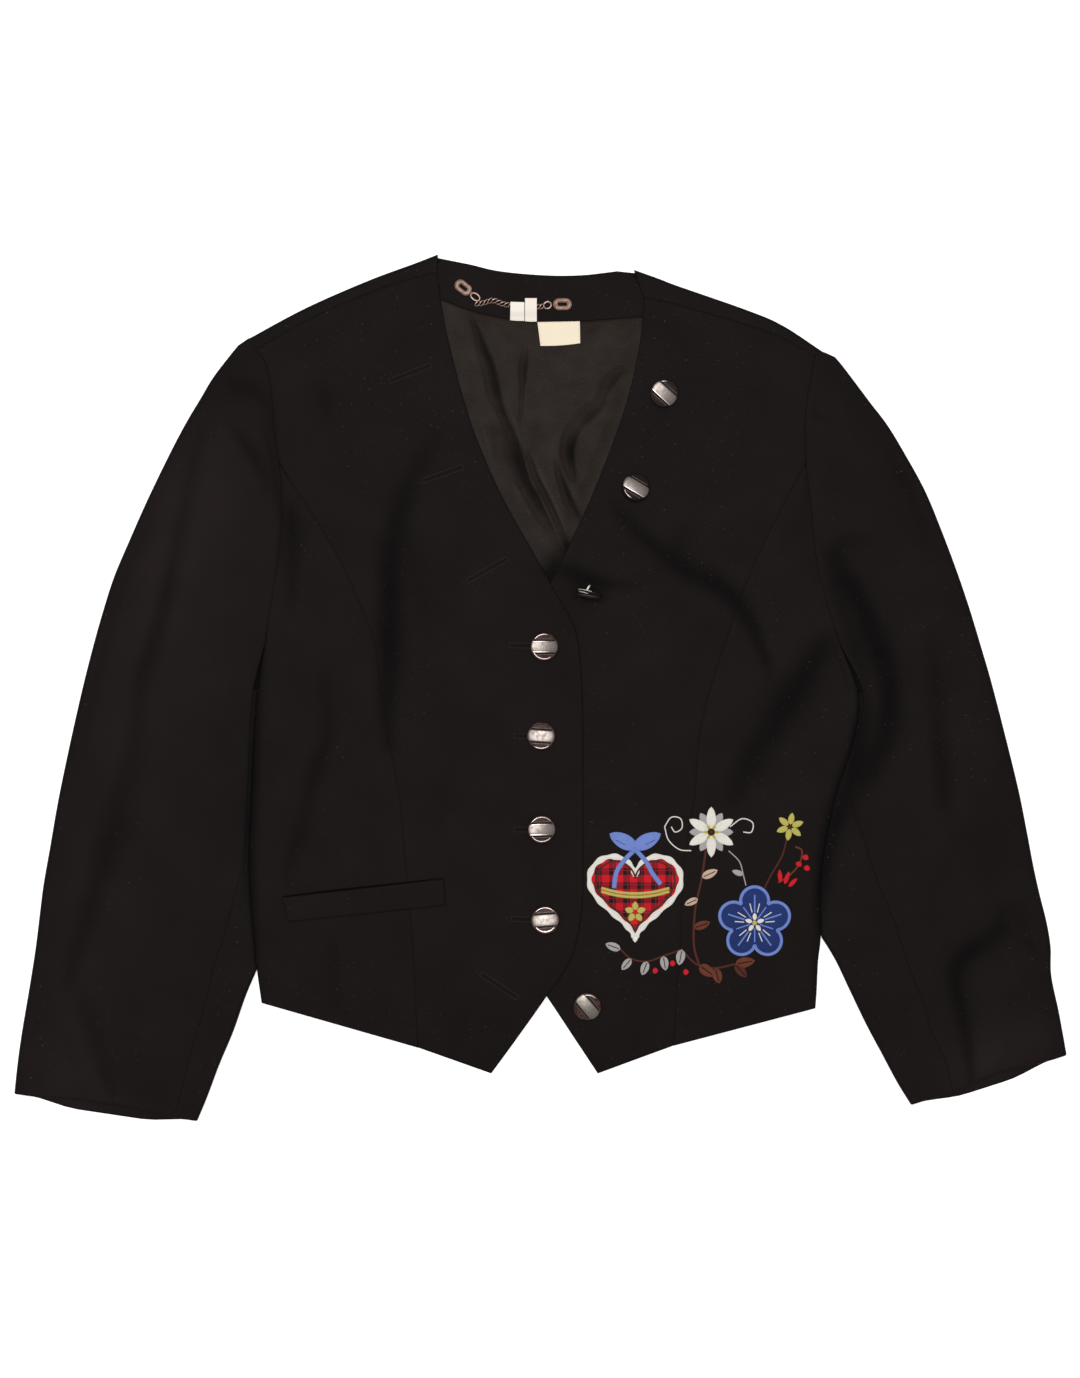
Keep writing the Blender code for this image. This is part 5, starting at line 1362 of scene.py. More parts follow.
def wall_between(plan: Array, tops: Array, edge: Array, sewn: Array | float = FAR, wall: float = WALL
                 ) -> tuple[Array, Array]:
    """Both faces of a lying wall, rounded towards its edges.

    Args:
        plan: Places of its points.
        tops: Heights of its upper face.
        edge: Distance of each point to the nearest free edge.
        sewn: Distance to the nearest edge that is sewn to a neighbour.
        wall: Its thickness.

    Returns:
        Outer and inner points.
    """
    drop = np.maximum(round_drop(edge, wall / 2), round_drop(sewn, SEAM_RADIUS))
    return raised(plan, tops - drop), raised(plan, tops - wall + drop)


def inset(plan: Array, left: float = 0.0, right: float = 0.0, top: float = 0.0, bottom: float = 0.0) -> Array:
    """The same plan with whole edges moved in, so that neighbours keep a gap.

    Args:
        plan: Places, as rows and columns.
        left: Millimetres that the first column moves.
        right: Millimetres that the last column moves.
        top: Millimetres that the last row moves.
        bottom: Millimetres that the first row moves.

    Returns:
        A new plan.
    """
    moved = plan.copy()
    width = np.linalg.norm(plan[:, -1] - plan[:, 0], axis=-1)
    across = unit(plan[:, -1] - plan[:, 0])
    shares = np.linalg.norm(plan - plan[:, :1], axis=-1) / np.maximum(width, 1e-6)[:, None]
    room = np.minimum(1.0, width / INSET_FADE)[:, None, None]
    fade_left = np.clip(1 - shares * width[:, None] / INSET_FADE, 0, 1)[..., None]
    fade_right = np.clip(1 - (1 - shares) * width[:, None] / INSET_FADE, 0, 1)[..., None]
    moved += across[:, None] * (fade_left * left - fade_right * right) * room
    count = min(INSET_ROWS, len(plan) // 3)
    for row in range(count):
        fade = 1 - row / count
        moved[row] += unit(plan[count] - plan[0]) * bottom * fade
        moved[-1 - row] += unit(plan[-1 - count] - plan[-1]) * top * fade
    return moved


@dataclass(frozen=True)
class Fronts:
    """The four pieces of the two fronts."""

    step: float = 0.11
    side_columns: int = 34
    centre_columns: int = 60
    hem_row_length: float = 18.0

    def side_piece(self, half: BodyHalf) -> ClothShell:
        """The side piece, from its side edge to the princess seam, ending in a tip at the armhole.

        Args:
            half: The half that it belongs to.

        Returns:
            Its shell.
        """
        t = np.append(along_rows(0.0, TIP_START, self.step, self.hem_row_length), TIP_ROW)
        side, seam = half.side_point(t), half.seam_point(t)
        side[-1] = seam[-1] = (side[-1] + seam[-1]) / 2
        width = np.linalg.norm(seam - side, axis=-1)
        u = across_shares(width, self.side_columns)
        u[-1] = 0.5
        values = curve(half.rows, t)
        side_z, seam_z = values[:, 2:3], values[:, 5:6]
        plan = side[:, None] + (seam - side)[:, None] * u[..., None]
        off_side = u * width[:, None]
        z = side_z + (seam_z - side_z) * smooth(u) + SIDE_BULGE * np.sin(math.pi * u)
        z = z + FACE_RELIEF.at(plan) * smooth(off_side / SIDE_FADE) * smooth(t / HEM_FADE_ROWS)[:, None]
        z = floored(z, np.minimum(side_z, CLOTH_FLOOR + SIDE_EDGE_RISE))
        crevice = 1.0 - smooth((t - CREVICE_ROWS[0]) / (CREVICE_ROWS[1] - CREVICE_ROWS[0]))[:, None]
        rest = np.clip(1.0 - off_side / ROLL_WIDTH, 0.0, 1.0)
        z = z - crevice * np.maximum(0.0, z - CLOTH_FLOOR - ROLL_RISE) * (1.0 - np.sqrt(1.0 - rest**2))
        off_seam = (1 - u) * width[:, None]
        z = z - seam_trough(off_seam, plan) * smooth(width / TIP_WIDTH)[:, None]
        off_hem = (t * self.hem_row_length)[:, None]
        is_free = crevice > OPEN_CREVICE
        free = np.minimum(np.where(is_free, off_side, FAR), off_hem)
        sewn = np.minimum(np.where(is_free, FAR, off_side), off_seam)
        plan = inset(plan, right=SEAM_GAP / 2)
        outward = unit(side - seam) * (SIDE_OVERLAP * crevice) * smooth(width / TIP_WIDTH)[:, None]
        plan = plan + outward[:, None] * np.clip(1 - off_side / OVERLAP_FADE, 0, 1)[..., None]
        return ClothShell().add_grid(*wall_between(plan, z, free, sewn))

    def centre_piece(self, half: BodyHalf, over: bool) -> ClothShell:
        """The centre piece, from the princess seam and the armhole to the front edge and the neck.

        Args:
            half: The half that it belongs to.
            over: Whether it is the front on top.

        Returns:
            Its shell.
        """
        t = along_rows(0.0, SHOULDER_ROW, self.step, self.hem_row_length, TOP_ROW_LENGTH)
        start = np.where((t <= SEAM_TOP_ROW)[:, None], half.seam_point(t), half.side_point(t))
        edge = half.edge_point(t)
        values = curve(half.rows, t)
        start_z = np.where(t <= SEAM_TOP_ROW, values[:, 5], values[:, 2])[:, None]
        edge_z = values[:, 8:9]
        width = np.linalg.norm(edge - start, axis=-1)
        u = across_shares(width, self.centre_columns)
        plan = start[:, None] + (edge - start)[:, None] * u[..., None]
        ends = half.shoulder_seam(np.array([0.0, 1.0]))
        straight = ends[0] + (ends[1] - ends[0]) * u[..., None]
        plan = plan + (half.shoulder_seam(u) - straight) * ((t / SHOULDER_ROW) ** NEAR_TOP_POWER)[:, None, None]
        low, high = OVER_RISE if over else UNDER_RISE
        profile = smooth((u - low) / (high - low))
        z = start_z + (edge_z - start_z) * profile
        side_width = np.where(t <= SEAM_TOP_ROW, np.linalg.norm(half.seam_point(t) - half.side_point(t), axis=-1), 0)
        fade = smooth((u * width[:, None] + side_width[:, None]) / SIDE_FADE)
        fade = fade * smooth(np.minimum(t, 2 * (SHOULDER_ROW - t)) / HEM_FADE_ROWS)[:, None]
        z = z + FACE_RELIEF.at(plan) * fade * (1 - profile**4)
        off_edge = (1 - u) * width[:, None]
        over_lining = (t[:, None] > NECK_ROW) & (off_edge < LINING_MARGIN + LINING_CLEARANCE)
        floor = np.minimum(np.where(over_lining, LEFT_EDGE_TOP, CLOTH_FLOOR), edge_z)
        z = np.where(z > floor + CLEAR_OF_FLOOR, z, floored(z, floor - 0.02, 0.2))
        off_start = u * width[:, None]
        z = z - seam_trough(off_start, plan)
        off_hem = (t * self.hem_row_length)[:, None]
        off_top = ((SHOULDER_ROW - t) * TOP_ROW_LENGTH)[:, None]
        z = z - seam_trough(off_top, plan, SHOULDER_SEAM_DEPTH)
        plan = inset(plan, left=SEAM_GAP / 2, top=SEAM_GAP / 2)
        return ClothShell().add_grid(*wall_between(plan, z, np.minimum(off_edge, off_hem),
                                                   np.minimum(off_start, off_top)))

    def make(self, shop: Workshop) -> None:
        for half, side_name, over in ((LEFT_HALF, "left", False), (RIGHT_HALF, "right", True)):
            node = f"front_{side_name}_side"
            shop.lay("wool_" + node, self.side_piece(half).mesh(node), WOOL, Slot.WOOL, node)
            node = f"front_{side_name}_centre"
            shop.lay("wool_" + node, self.centre_piece(half, over).mesh(node), WOOL, Slot.WOOL, node)


def fold_angles(count: int) -> Array:
    """Angles round a fold, from under it to on top."""
    return np.linspace(0.0, math.pi, count)


@dataclass(frozen=True)
class Back:
    """The back: flat on the surface, and turned over both shoulder folds up to the forward seams."""

    columns: int = 44
    fold_points: int = 15
    top_points: int = 12
    side_points: int = 120
    neck_points: int = 30

    def wrap(self, half: BodyHalf) -> tuple[Array, Array]:
        """The cloth from the floor round the shoulder fold and on top to the forward seam.

        Args:
            half: The half that it belongs to.

        Returns:
            Outer and inner points, one row for each line, from the armhole to the neck.
        """
        u = across_shares(np.array([SHOULDER_LENGTH]), self.columns)[0]
        rows = curve(half.shoulder, u * (len(half.shoulder) - 1))
        fold, seam = rows[:, :2].copy(), rows[:, 2:].copy()
        clear = np.array(half.shoulder[1][:2]) - np.array(half.shoulder[0][:2])
        shift = clear / np.linalg.norm(clear) * CORNER_SHIFT * np.clip(1 - u / CORNER_SHARE, 0, 1)[:, None]
        fold, seam = fold + shift, seam + shift
        inside = unit(seam - fold)
        hub = fold + inside * FOLD_RADIUS
        end = seam + unit(hub - seam) * SEAM_GAP / 2
        end_z = SEAM_Z_ARMHOLE + (SEAM_Z_NECK - SEAM_Z_ARMHOLE) * smooth(u)
        drop = np.maximum(round_drop(u * SHOULDER_LENGTH, SEAM_RADIUS), round_drop((1 - u) * SHOULDER_LENGTH))
        outer, inner = [], []
        for angle in fold_angles(self.fold_points):
            for line, radius, sign in ((outer, FOLD_RADIUS, -1.0), (inner, FOLD_RADIUS - WALL, 1.0)):
                r = radius + sign * drop
                line.append(raised(hub - inside * r[:, None] * math.sin(angle), FOLD_RADIUS - r * math.cos(angle)))
        reach = np.linalg.norm(end - hub, axis=-1)
        shares = np.append(np.linspace(0, TOP_EVEN_SHARE, self.top_points)[1:], 1 - EDGE_STEPS[::-1][1:] / TOP_LENGTH)
        for share in np.clip(shares, 0, 1):
            p = hub + (end - hub) * share
            z = FOLD_TOP + (end_z - FOLD_TOP) * share
            off = (1 - share) * reach
            z = z - seam_trough(off, p, SHOULDER_SEAM_DEPTH)
            rim = np.maximum(round_drop(off, SEAM_RADIUS), drop)
            outer.append(raised(p, z - rim))
            inner.append(raised(p, z - WALL + rim))
        return np.stack(outer, axis=1), np.stack(inner, axis=1)

    def base(self, right: tuple[Array, Array], left: tuple[Array, Array]) -> tuple[Array, Array]:
        """The flat lying part, between the hem, both sides, both shoulder folds and the neck edge.

        Args:
            right: Points of the wearer's right wrap.
            left: Points of the wearer's left wrap.

        Returns:
            Outer and inner points. The outer face is underneath.
        """
        neck = curve(NECK_EDGE, np.linspace(0, len(NECK_EDGE) - 1, self.neck_points))
        floor = raised(neck, 0.0)
        lid = floor + np.array([0, 0, WALL])
        top_outer = np.concatenate([right[0][:, 0], floor, left[0][::-1, 0]])
        top_inner = np.concatenate([right[1][:, 0], lid, left[1][::-1, 0]])
        s = run_of(top_outer[:, :2])
        s = s / s[-1]
        t = np.linspace(0, SHOULDER_ROW, self.side_points)
        sides = []
        for half, inward, corner in ((RIGHT_HALF, 1, top_outer[0, :2]), (LEFT_HALF, -1, top_outer[-1, :2])):
            line = half.side_point(t) - np.array([inward * GAP, 0.0])
            sides.append(np.concatenate([line, corner[None]]))
        r = np.linspace(0, 1, len(sides[0]))[:, None, None]
        hem = np.array([sides[0][0], *BACK_HEM, sides[1][0]])
        bottom = curve(hem, s * (len(hem) - 1))
        s = s[None, :, None]
        corners = between_corners((top_outer[0, :2], top_outer[-1, :2], bottom[-1], bottom[0]), s, r)
        plan = (1 - s) * sides[0][:, None] + s * sides[1][:, None] + (1 - r) * bottom[None] + (
            r * top_outer[None, :, :2]) - corners
        outer = raised(plan, 0.0)
        inner = outer + np.array([0, 0, WALL])
        outer[-1], inner[-1] = top_outer, top_inner
        return outer, inner

    def make(self, shop: Workshop) -> None:
        right, left = self.wrap(RIGHT_HALF), self.wrap(LEFT_HALF)
        shell = ClothShell()
        shell.add_grid(*(lines[:, ::-1] for lines in self.base(right, left)))
        shell.add_grid(*(lines[:, ::-1] for lines in right))
        shell.add_grid(*left)
        mesh = tidy_normals(shell.mesh("back"), 50.0)
        shop.lay("wool_back", mesh, WOOL, Slot.WOOL, "back")


@dataclass(frozen=True)
class Sleeve:
    """One sleeve: a top piece and an under piece, as rows across it."""

    side_name: str
    rows: tuple[SleeveRow, ...]
    half: BodyHalf
    inner_points: tuple[Place, ...]
    leaves_at: int
    step: float = 0.13
    columns: int = 52
    under_columns: int = 22
    floor_columns: int = 14
    fold_points: int = 11
    row_length: float = 24.0

    def inner_point(self, t: Array) -> Array:
        """A point of the inner side: on the body's edge first, and then on the sleeve's own."""
        shared = FOLD_ROW - self.leaves_at
        apex = self.half.rows[self.leaves_at]
        free = ((apex.side_x, apex.side_y),) + self.inner_points
        on_body = self.half.side_point(np.clip(FOLD_ROW - t, self.leaves_at, FOLD_ROW))
        return np.where((t <= shared)[:, None], on_body, curve(free, np.maximum(t - shared, 0)))

    def frame(self, t: Array) -> tuple[Array, Array, Array, Array, Array, Array]:
        """Outer points, directions across and to the cuff, widths, and the rows' other values."""
        values = curve(self.rows, t)
        outer = values[:, :2]
        across = self.inner_point(t) - outer
        width = np.linalg.norm(across, axis=-1)
        across = unit(across)
        down = np.stack([across[:, 1], -across[:, 0]], -1) * -self.half.side
        return outer, across, down, width, values[:, 2], values[:, 3]

    def placed(self, t: Array, d: Array, z: Array, bow: float = 0.0, end: Array | None = None) -> Array:
        """Points of rows, given as distances from the outer point and heights.

        Args:
            t: Row numbers.
            d: Distances, one row for each number.
            z: Heights, the same.
            bow: How far the middle of the cuff is moved along the sleeve.
            end: Distance at which the bow ends.

        Returns:
            Points in space.
        """
        outer, across, down, _, _, _ = self.frame(t)
        plan = outer[:, None] + across[:, None] * d[..., None]
        if end is not None:
            window = smooth((d - SLEEVE_RETURN) / CUFF_BOW_RISE) * smooth((end[:, None] - d) / CUFF_BOW_RISE)
            near = smooth(t - CUFF_ROW + 1)[:, None]
            plan = plan + down[:, None] * (bow * window * near)[..., None]
        return raised(plan, z)

    def seam_level(self, t: Array) -> Array:
        """Height of the sleeve's upper face at its inner seam."""
        side_z = curve(self.half.rows, np.clip(FOLD_ROW - t, 0, SHOULDER_ROW))[:, 2]
        return side_z + (SLEEVE_SEAM_TOP - side_z) * smooth(t - UNDERARM_SLEEVE_ROW + 1)

    def row_numbers(self) -> Array:
        """Row numbers from the shoulder to the cuff, close together at the cuff."""
        return along_rows(0.0, CUFF_ROW, self.step, 0.0, self.row_length)

    def off_cuff(self, t: Array) -> Array:
        """Distances of rows to the cuff."""
        return ((CUFF_ROW - t) * self.row_length)[:, None]

    def lying(self, t: Array, d: Array, z: Array, fade: Array, off_seam: Array) -> tuple[tuple[Array, Array], ...]:
        """Distances and heights of both faces where the cloth lies on top.

        Args:
            t: Row numbers.
            d: Distances from the outer point.
            z: Heights of the smooth form.
            fade: How much of the creases shows beside the fold.
            off_seam: Distances to the seam.

        Returns:
            The outer face's and the inner face's.
        """
        plan = self.placed(t, d, z)[..., :2]
        z = z + FACE_RELIEF.at(plan) * smooth(fade) * smooth(off_seam / SIDE_FADE)
        z = floored(z, CLOTH_FLOOR + ROLL_RISE) - seam_trough(off_seam, plan)
        drop = np.maximum(round_drop(off_seam, SEAM_RADIUS), round_drop(self.off_cuff(t)))
        return (d, z - drop), (d, z - WALL + drop)

    def joined(self, t: Array, parts: Sequence[Sequence[tuple[Array, Array]]], bow: float = 0.0,
               end: Array | None = None) -> tuple[Array, Array]:
        """Both faces of a grid.

        Args:
            t: Row numbers.
            parts: Parts of the grid side by side, each as distances and heights of both faces.
            bow: How far the middle of the cuff is moved along the sleeve.
            end: Distance at which the bow ends.

        Returns:
            Outer and inner points.
        """
        outer, inner = (self.placed(t, *(np.hstack(values) for values in zip(*face)), bow, end) for face in zip(*parts))
        return outer, inner

    def top_grid(self) -> tuple[Array, Array]:
        """The upper piece: a return on the floor, the outer fold and the face up to the seam."""
        t = self.row_numbers()
        _, _, _, width, seam_in, crown = self.frame(t)
        radius = np.minimum(FOLD_RADIUS, width / 3)[:, None]
        back = np.minimum(SLEEVE_RETURN, NARROW_RETURN * width)[:, None]
        end = (width - SEAM_GAP / 2 - np.maximum(seam_in, 0.0))[:, None]
        cuff = self.off_cuff(t)
        d = back + (radius - back) * RETURN_STEPS
        drop = round_drop(np.minimum((back - radius) * RETURN_STEPS, cuff))
        parts = [((d, drop), (d, WALL - drop))]
        angle = fold_angles(self.fold_points)[None]
        parts.append(tuple((radius - reach * np.sin(angle),
                            FOLD_RADIUS - (FOLD_RADIUS - radius + reach) * np.cos(angle))
                           for reach in (radius - round_drop(cuff), radius - WALL + round_drop(cuff))))
        f = across_shares((end - radius)[:, 0], self.columns, left=False)[:, 1:]
        narrow, wide = CROWN_WIDTHS
        rise = (crown * smooth((width - narrow) / (wide - narrow)))[:, None]
        z = FOLD_TOP + (self.seam_level(t)[:, None] - FOLD_TOP) * smooth(f)
        z = z + rise * np.maximum(np.sin(math.pi * np.clip(f, 0, 1)), 0.0) ** CROWN_POWER
        parts.append(self.lying(t, radius + (end - radius) * f, z, f * (end - radius) / CROWN_FADE,
                                (1 - f) * (end - radius)))
        return self.joined(t, parts, CUFF_BOW_TOP, end[:, 0])

    def floor_grid(self) -> tuple[Array, Array]:
        """The under piece where it lies on the floor."""
        t = np.sort(np.append(self.row_numbers(), [UNDERARM_SLEEVE_ROW - 0.001, UNDERARM_SLEEVE_ROW]))
        width = self.frame(t)[3]
        start = (np.minimum(SLEEVE_RETURN, NARROW_RETURN * width) + GAP)[:, None]
        end = (width - np.where(t >= UNDERARM_SLEEVE_ROW, FOLD_RADIUS, GAP / 2))[:, None]
        d = start + (end - start) * np.linspace(0, 1, self.floor_columns)[None]
        drop = np.broadcast_to(round_drop(self.off_cuff(t)), d.shape)
        return self.joined(t, [((d, drop), (d, WALL - drop))], CUFF_BOW_UNDER, end[:, 0])

    def wrap_grid(self) -> tuple[Array, Array]:
        """The under piece round the inner fold and on top, up to the seam."""
        t = self.row_numbers()
        t = np.concatenate([[UNDERARM_SLEEVE_ROW], t[t > UNDERARM_SLEEVE_ROW]])
        _, _, _, width, seam_in, _ = self.frame(t)
        width, seam_in = width[:, None], seam_in[:, None]
        drop = round_drop(self.off_cuff(t))
        angle = fold_angles(self.fold_points)[None]
        foot = np.where(angle == 0, width - FOLD_RADIUS, width - GAP / 2 - FOLD_RADIUS)
        fold = tuple((foot + r * np.sin(angle), FOLD_RADIUS - r * np.cos(angle))
                     for r in (FOLD_RADIUS - drop, FOLD_RADIUS - WALL + drop))
        hub, end = width - GAP / 2 - FOLD_RADIUS, width - seam_in + SEAM_GAP / 2
        length = np.abs(end - hub)
        f = across_shares(length[:, 0], self.under_columns, left=False)[:, 1:]
        z = FOLD_TOP + (SLEEVE_SEAM_TOP - FOLD_TOP) * smooth(f)
        face = self.lying(t, hub + (end - hub) * f, z, f * length / SIDE_FADE, (1 - f) * length)
        return self.joined(t, [fold, face])

    def make(self, shop: Workshop) -> None:
        """Make both pieces of the sleeve."""
        node = f"sleeve_{self.side_name}_under"
        under = ClothShell()
        for grid in (self.floor_grid(), self.wrap_grid()):
            under.add_grid(*grid)
        shop.lay("wool_" + node, under.mesh(node), WOOL, Slot.WOOL, node)
        node = f"sleeve_{self.side_name}_top"
        top = ClothShell().add_grid(*self.top_grid())
        shop.lay("wool_" + node, top.mesh(node), WOOL, Slot.WOOL, node)


@dataclass(frozen=True)
class NeckInside:
    """The back lining and the facing in the open neck."""

    columns: int = 150
    rows: int = 140

    def lining(self) -> ClothShell:
        """The back lining, where it shows and a little way under both fronts."""
        v = np.linspace(0, 1, self.rows)[:, None]
        u = np.linspace(0, 1, self.columns)[None]
        top = curve(FACING_LOWER, u[0] * (len(FACING_LOWER) - 1))[None]
        y = LINING_FOOT_Y + (top[..., 1] - LINING_FOOT_Y) * v
        narrowing = smooth((v - LINING_NARROWS_AT) / (1 - LINING_NARROWS_AT))
        first, last = FACING_LOWER[0][0], FACING_LOWER[-1][0]
        left_x, right_x = RIGHT_HALF.neck_x(y) - LINING_MARGIN, LEFT_HALF.neck_x(y) + LINING_MARGIN
        left_x = left_x + (first - left_x) * narrowing
        right_x = right_x + (last - right_x) * narrowing
        x = left_x + (right_x - left_x) * u + (top[..., 0] - (first + (last - first) * u)) * v**TOP_CURVE_POWER
        shown = np.minimum(x - RIGHT_HALF.neck_x(y), LEFT_HALF.neck_x(y) - x)
        fade = smooth((shown - LINING_HIDDEN) / LINING_FADE) * smooth((1 - v) / LINING_TOP_FADE)
        plan = np.stack([x, y], -1)
        z = LINING_BASE + LINING_RELIEF.at(plan)
        z = LINING_FLOOR + (floored(z, LINING_FLOOR, LINING_SOFTNESS) - LINING_FLOOR) * fade
        plan = inset(plan, top=SEAM_GAP / 2)
        rim = np.minimum(np.minimum(u, 1 - u) * LINING_WIDTH, np.minimum(v, 1 - v) * LINING_LENGTH)
        return ClothShell().add_grid(*wall_between(plan, z, rim, wall=LINING_WALL))

    def facing(self) -> ClothShell:
        """The facing between the neck edge and the lining."""
        u = np.linspace(0, 1, self.columns)
        low = curve(FACING_LOWER, u * (len(FACING_LOWER) - 1))
        high = curve(FACING_UPPER, u * (len(FACING_UPPER) - 1))
        v = across_shares(np.array([FACING_WIDTH]), 12)[0][:, None, None]
        plan = inset(low[None] + (high - low)[None] * v, bottom=SEAM_GAP / 2)
        length = np.linalg.norm(high - low, axis=-1)[None]
        rim = np.minimum(v[..., 0], 1 - v[..., 0]) * length
        z = LINING_TOP + FACING_RELIEF * FACING_WAVE.at(plan)
        return ClothShell().add_grid(*wall_between(plan, z, rim, wall=LINING_WALL))

    def make(self, shop: Workshop) -> None:
        """Make both."""
        lining = self.lining().mesh("lining", LINING_RELIEF)
        shop.lay("satin_back_lining", lining, SATIN, Slot.LINING, "back_lining")
        shop.lay(FACING_PIECE, self.facing().mesh("facing"), WOOL, Slot.WOOL, "back_neck_facing")


# Pieces that others lie on
FACING_PIECE = "wool_back_neck_facing"
RIGHT_FRONT = ("wool_front_right_side", "wool_front_right_centre")
LEFT_FRONT = ("wool_front_left_centre", "wool_front_left_side")

WOOL = WoolCloth("black_wool_twill", (0.0064, 0.0049, 0.0047), 0.5)
SATIN = LiningSatin("brown_lining_satin", (0.0163, 0.0107, 0.0084), 0.45)
TAPES = {
    "label_size": WovenTape("white_tape", (0.86, 0.8, 0.71), 0.75, (0.74, 0.67, 0.56)),
    "label_tab": WovenTape("ivory_tape", (0.85, 0.78, 0.69), 0.75, (0.72, 0.64, 0.52)),
    "label_care": WovenTape("cream_tape", (0.84, 0.735, 0.565), 0.75, (0.78, 0.66, 0.46)),
}
LABEL_THREAD = SatinStitch("label_thread", (0.74, 0.66, 0.53), 0.6)
COPPER = WornMetal("copper_plate", (0.112, 0.07, 0.053), 0.34, (0.05, 0.026, 0.02), 500.0, 0.00002, 0.25)
CHAIN_METAL = WornMetal("chain_metal", (0.4, 0.28, 0.235), 0.3, (0.06, 0.035, 0.028), 900.0, 0.00001, 0.3)
PEWTER = WornMetal("pewter_bar", (0.252, 0.218, 0.196), 0.33, (0.1, 0.088, 0.08), 1500.0, 0.00006, 0.5)
# Near-white metal for painted glints on button rims and bar lips
PAINTED_GLINT_METAL = WornMetal("painted_glint_edge", (0.78, 0.69, 0.65), 0.32, (0.3, 0.23, 0.21), 900.0, 0.00001, 0.1)
# Near-white metal for painted highlight lines and the shank of the standing button
PAINTED_HIGHLIGHT_LINE = WornMetal("painted_highlight_line", (0.95, 0.87, 0.83), 0.55, (0.6, 0.5, 0.48), 900.0, 0.00001, 0.1)
# Dull metal for thin lines beside a bar, also a darker pewter as painted shade on the standing bar
DULL_LINE_AND_SHADED_BAR = WornMetal("dull_line_and_shaded_bar", (0.11, 0.08, 0.072), 0.45, (0.05, 0.035, 0.03), 900.0, 0.00001, 0.1)
RESIN = ButtonResin("marbled_resin", (0.026, 0.0112, 0.0092), 0.42)
# Darker copies of the resin, as painted shade on some buttons
SHADED_RESIN = ButtonResin("shaded_resin", (0.011, 0.0055, 0.0048), 0.5, (0.022, 0.0105, 0.0092))
DEEP_SHADED_RESIN = ButtonResin("deep_shaded_resin", (0.004, 0.0022, 0.002), 0.6, (0.009, 0.004, 0.0034))
# Near-black cloth as painted shadow in the pocket's mouth
MOUTH_SHADOW_CLOTH = SatinStitch("pocket_mouth_shadow_cloth", (0.0014, 0.0012, 0.0013), 0.85, 0.0005)
# Near-black strips as painted shadow in the grooves beside a button's bar
GROOVE_SHADOW = ButtonResin("painted_groove_shadow", (0.0012, 0.001, 0.001), 0.8, (0.002, 0.0015, 0.0014))
HOLE_THREAD = SatinStitch("buttonhole_thread", (0.019, 0.0165, 0.0155), 0.6, 0.0005)
SLIT_THREAD = SatinStitch("buttonhole_slit", (0.0042, 0.0035, 0.0034), 0.75, 0.0005)
SHANK_THREAD = SatinStitch("black_sewing_thread", (0.009, 0.0075, 0.007), 0.6)


class LoopMesh:
    """Closed rings of points joined one after another, with texture places along and round them."""

    def __init__(self) -> None:
        """Start empty."""
        self.verts: list[tuple[float, ...]] = []
        self.faces: list[list[int]] = []
        self.uvs: list[list[Place]] = []
        self.numbers: list[int] = []

    def add_tube(self, rings: Array, closed: bool = False, material: int = 0) -> None:
        """Join rings of points into a tube, with an end face on both ends of an open one.

        Args:
            rings: Points as rings, places on the ring and x, y, z, in millimetres.
            closed: Whether the last ring joins the first.
            material: Material number of its faces.
        """
        count, sides = rings.shape[:2]
        base = len(self.verts)
        self.verts += [tuple(p) for p in (rings.reshape(-1, 3) * MM).tolist()]
        middle = rings.mean(axis=1)
        along = run_of(middle) * MM
        girth = np.linalg.norm(np.roll(rings[0], -1, axis=0) - rings[0], axis=-1)
        around = np.concatenate([[0.0], np.cumsum(girth)]) * MM
        steps = count if closed else count - 1
        along = np.append(along, along[-1] * (1 + 1 / count))
        for i in range(steps):
            j = (i + 1) % count
            for k in range(sides):
                m = (k + 1) % sides
                self.faces.append([base + i * sides + k, base + i * sides + m, base + j * sides + m,
                                   base + j * sides + k])
                self.uvs.append([(around[k], along[i]), (around[k + 1], along[i]), (around[k + 1], along[i + 1]),
                                 (around[k], along[i + 1])])
                self.numbers.append(material)
        if not closed:
            for ring in (list(range(base, base + sides))[::-1],
                         list(range(base + (count - 1) * sides, base + count * sides))):
                self.faces.append(ring)
                self.uvs.append([(0.0, 0.0)] * sides)
                self.numbers.append(material)

    def mesh(self, name: str, sharp: float = 40.0) -> Mesh:
        """The finished mesh.

        Args:
            name: Its name.
            sharp: Angle in degrees above which an edge stays sharp.

        Returns:
            A mesh with texture places and material numbers.
        """
        mesh = bpy.data.meshes.new(name)
        mesh.from_pydata(self.verts, [], self.faces)
        layer = mesh.uv_layers.new(name="cloth")
        layer.data.foreach_set("uv", np.array([c for face in self.uvs for p in face for c in p], np.float32))
        mesh.polygons.foreach_set("material_index", self.numbers)
        return tidy_normals(mesh, sharp)


def rings_round(path: Array, first: Array, second: Array, radius: Array | float, sides: int) -> Array:
    """Rings of points round a path, from two directions across it at each of its points."""
    angle = full_turn(sides)[None, :, None]
    radius = np.broadcast_to(np.asarray(radius, float), (len(path),))[:, None, None]
    return path[:, None] + radius * (first[:, None] * np.cos(angle) + second[:, None] * np.sin(angle))


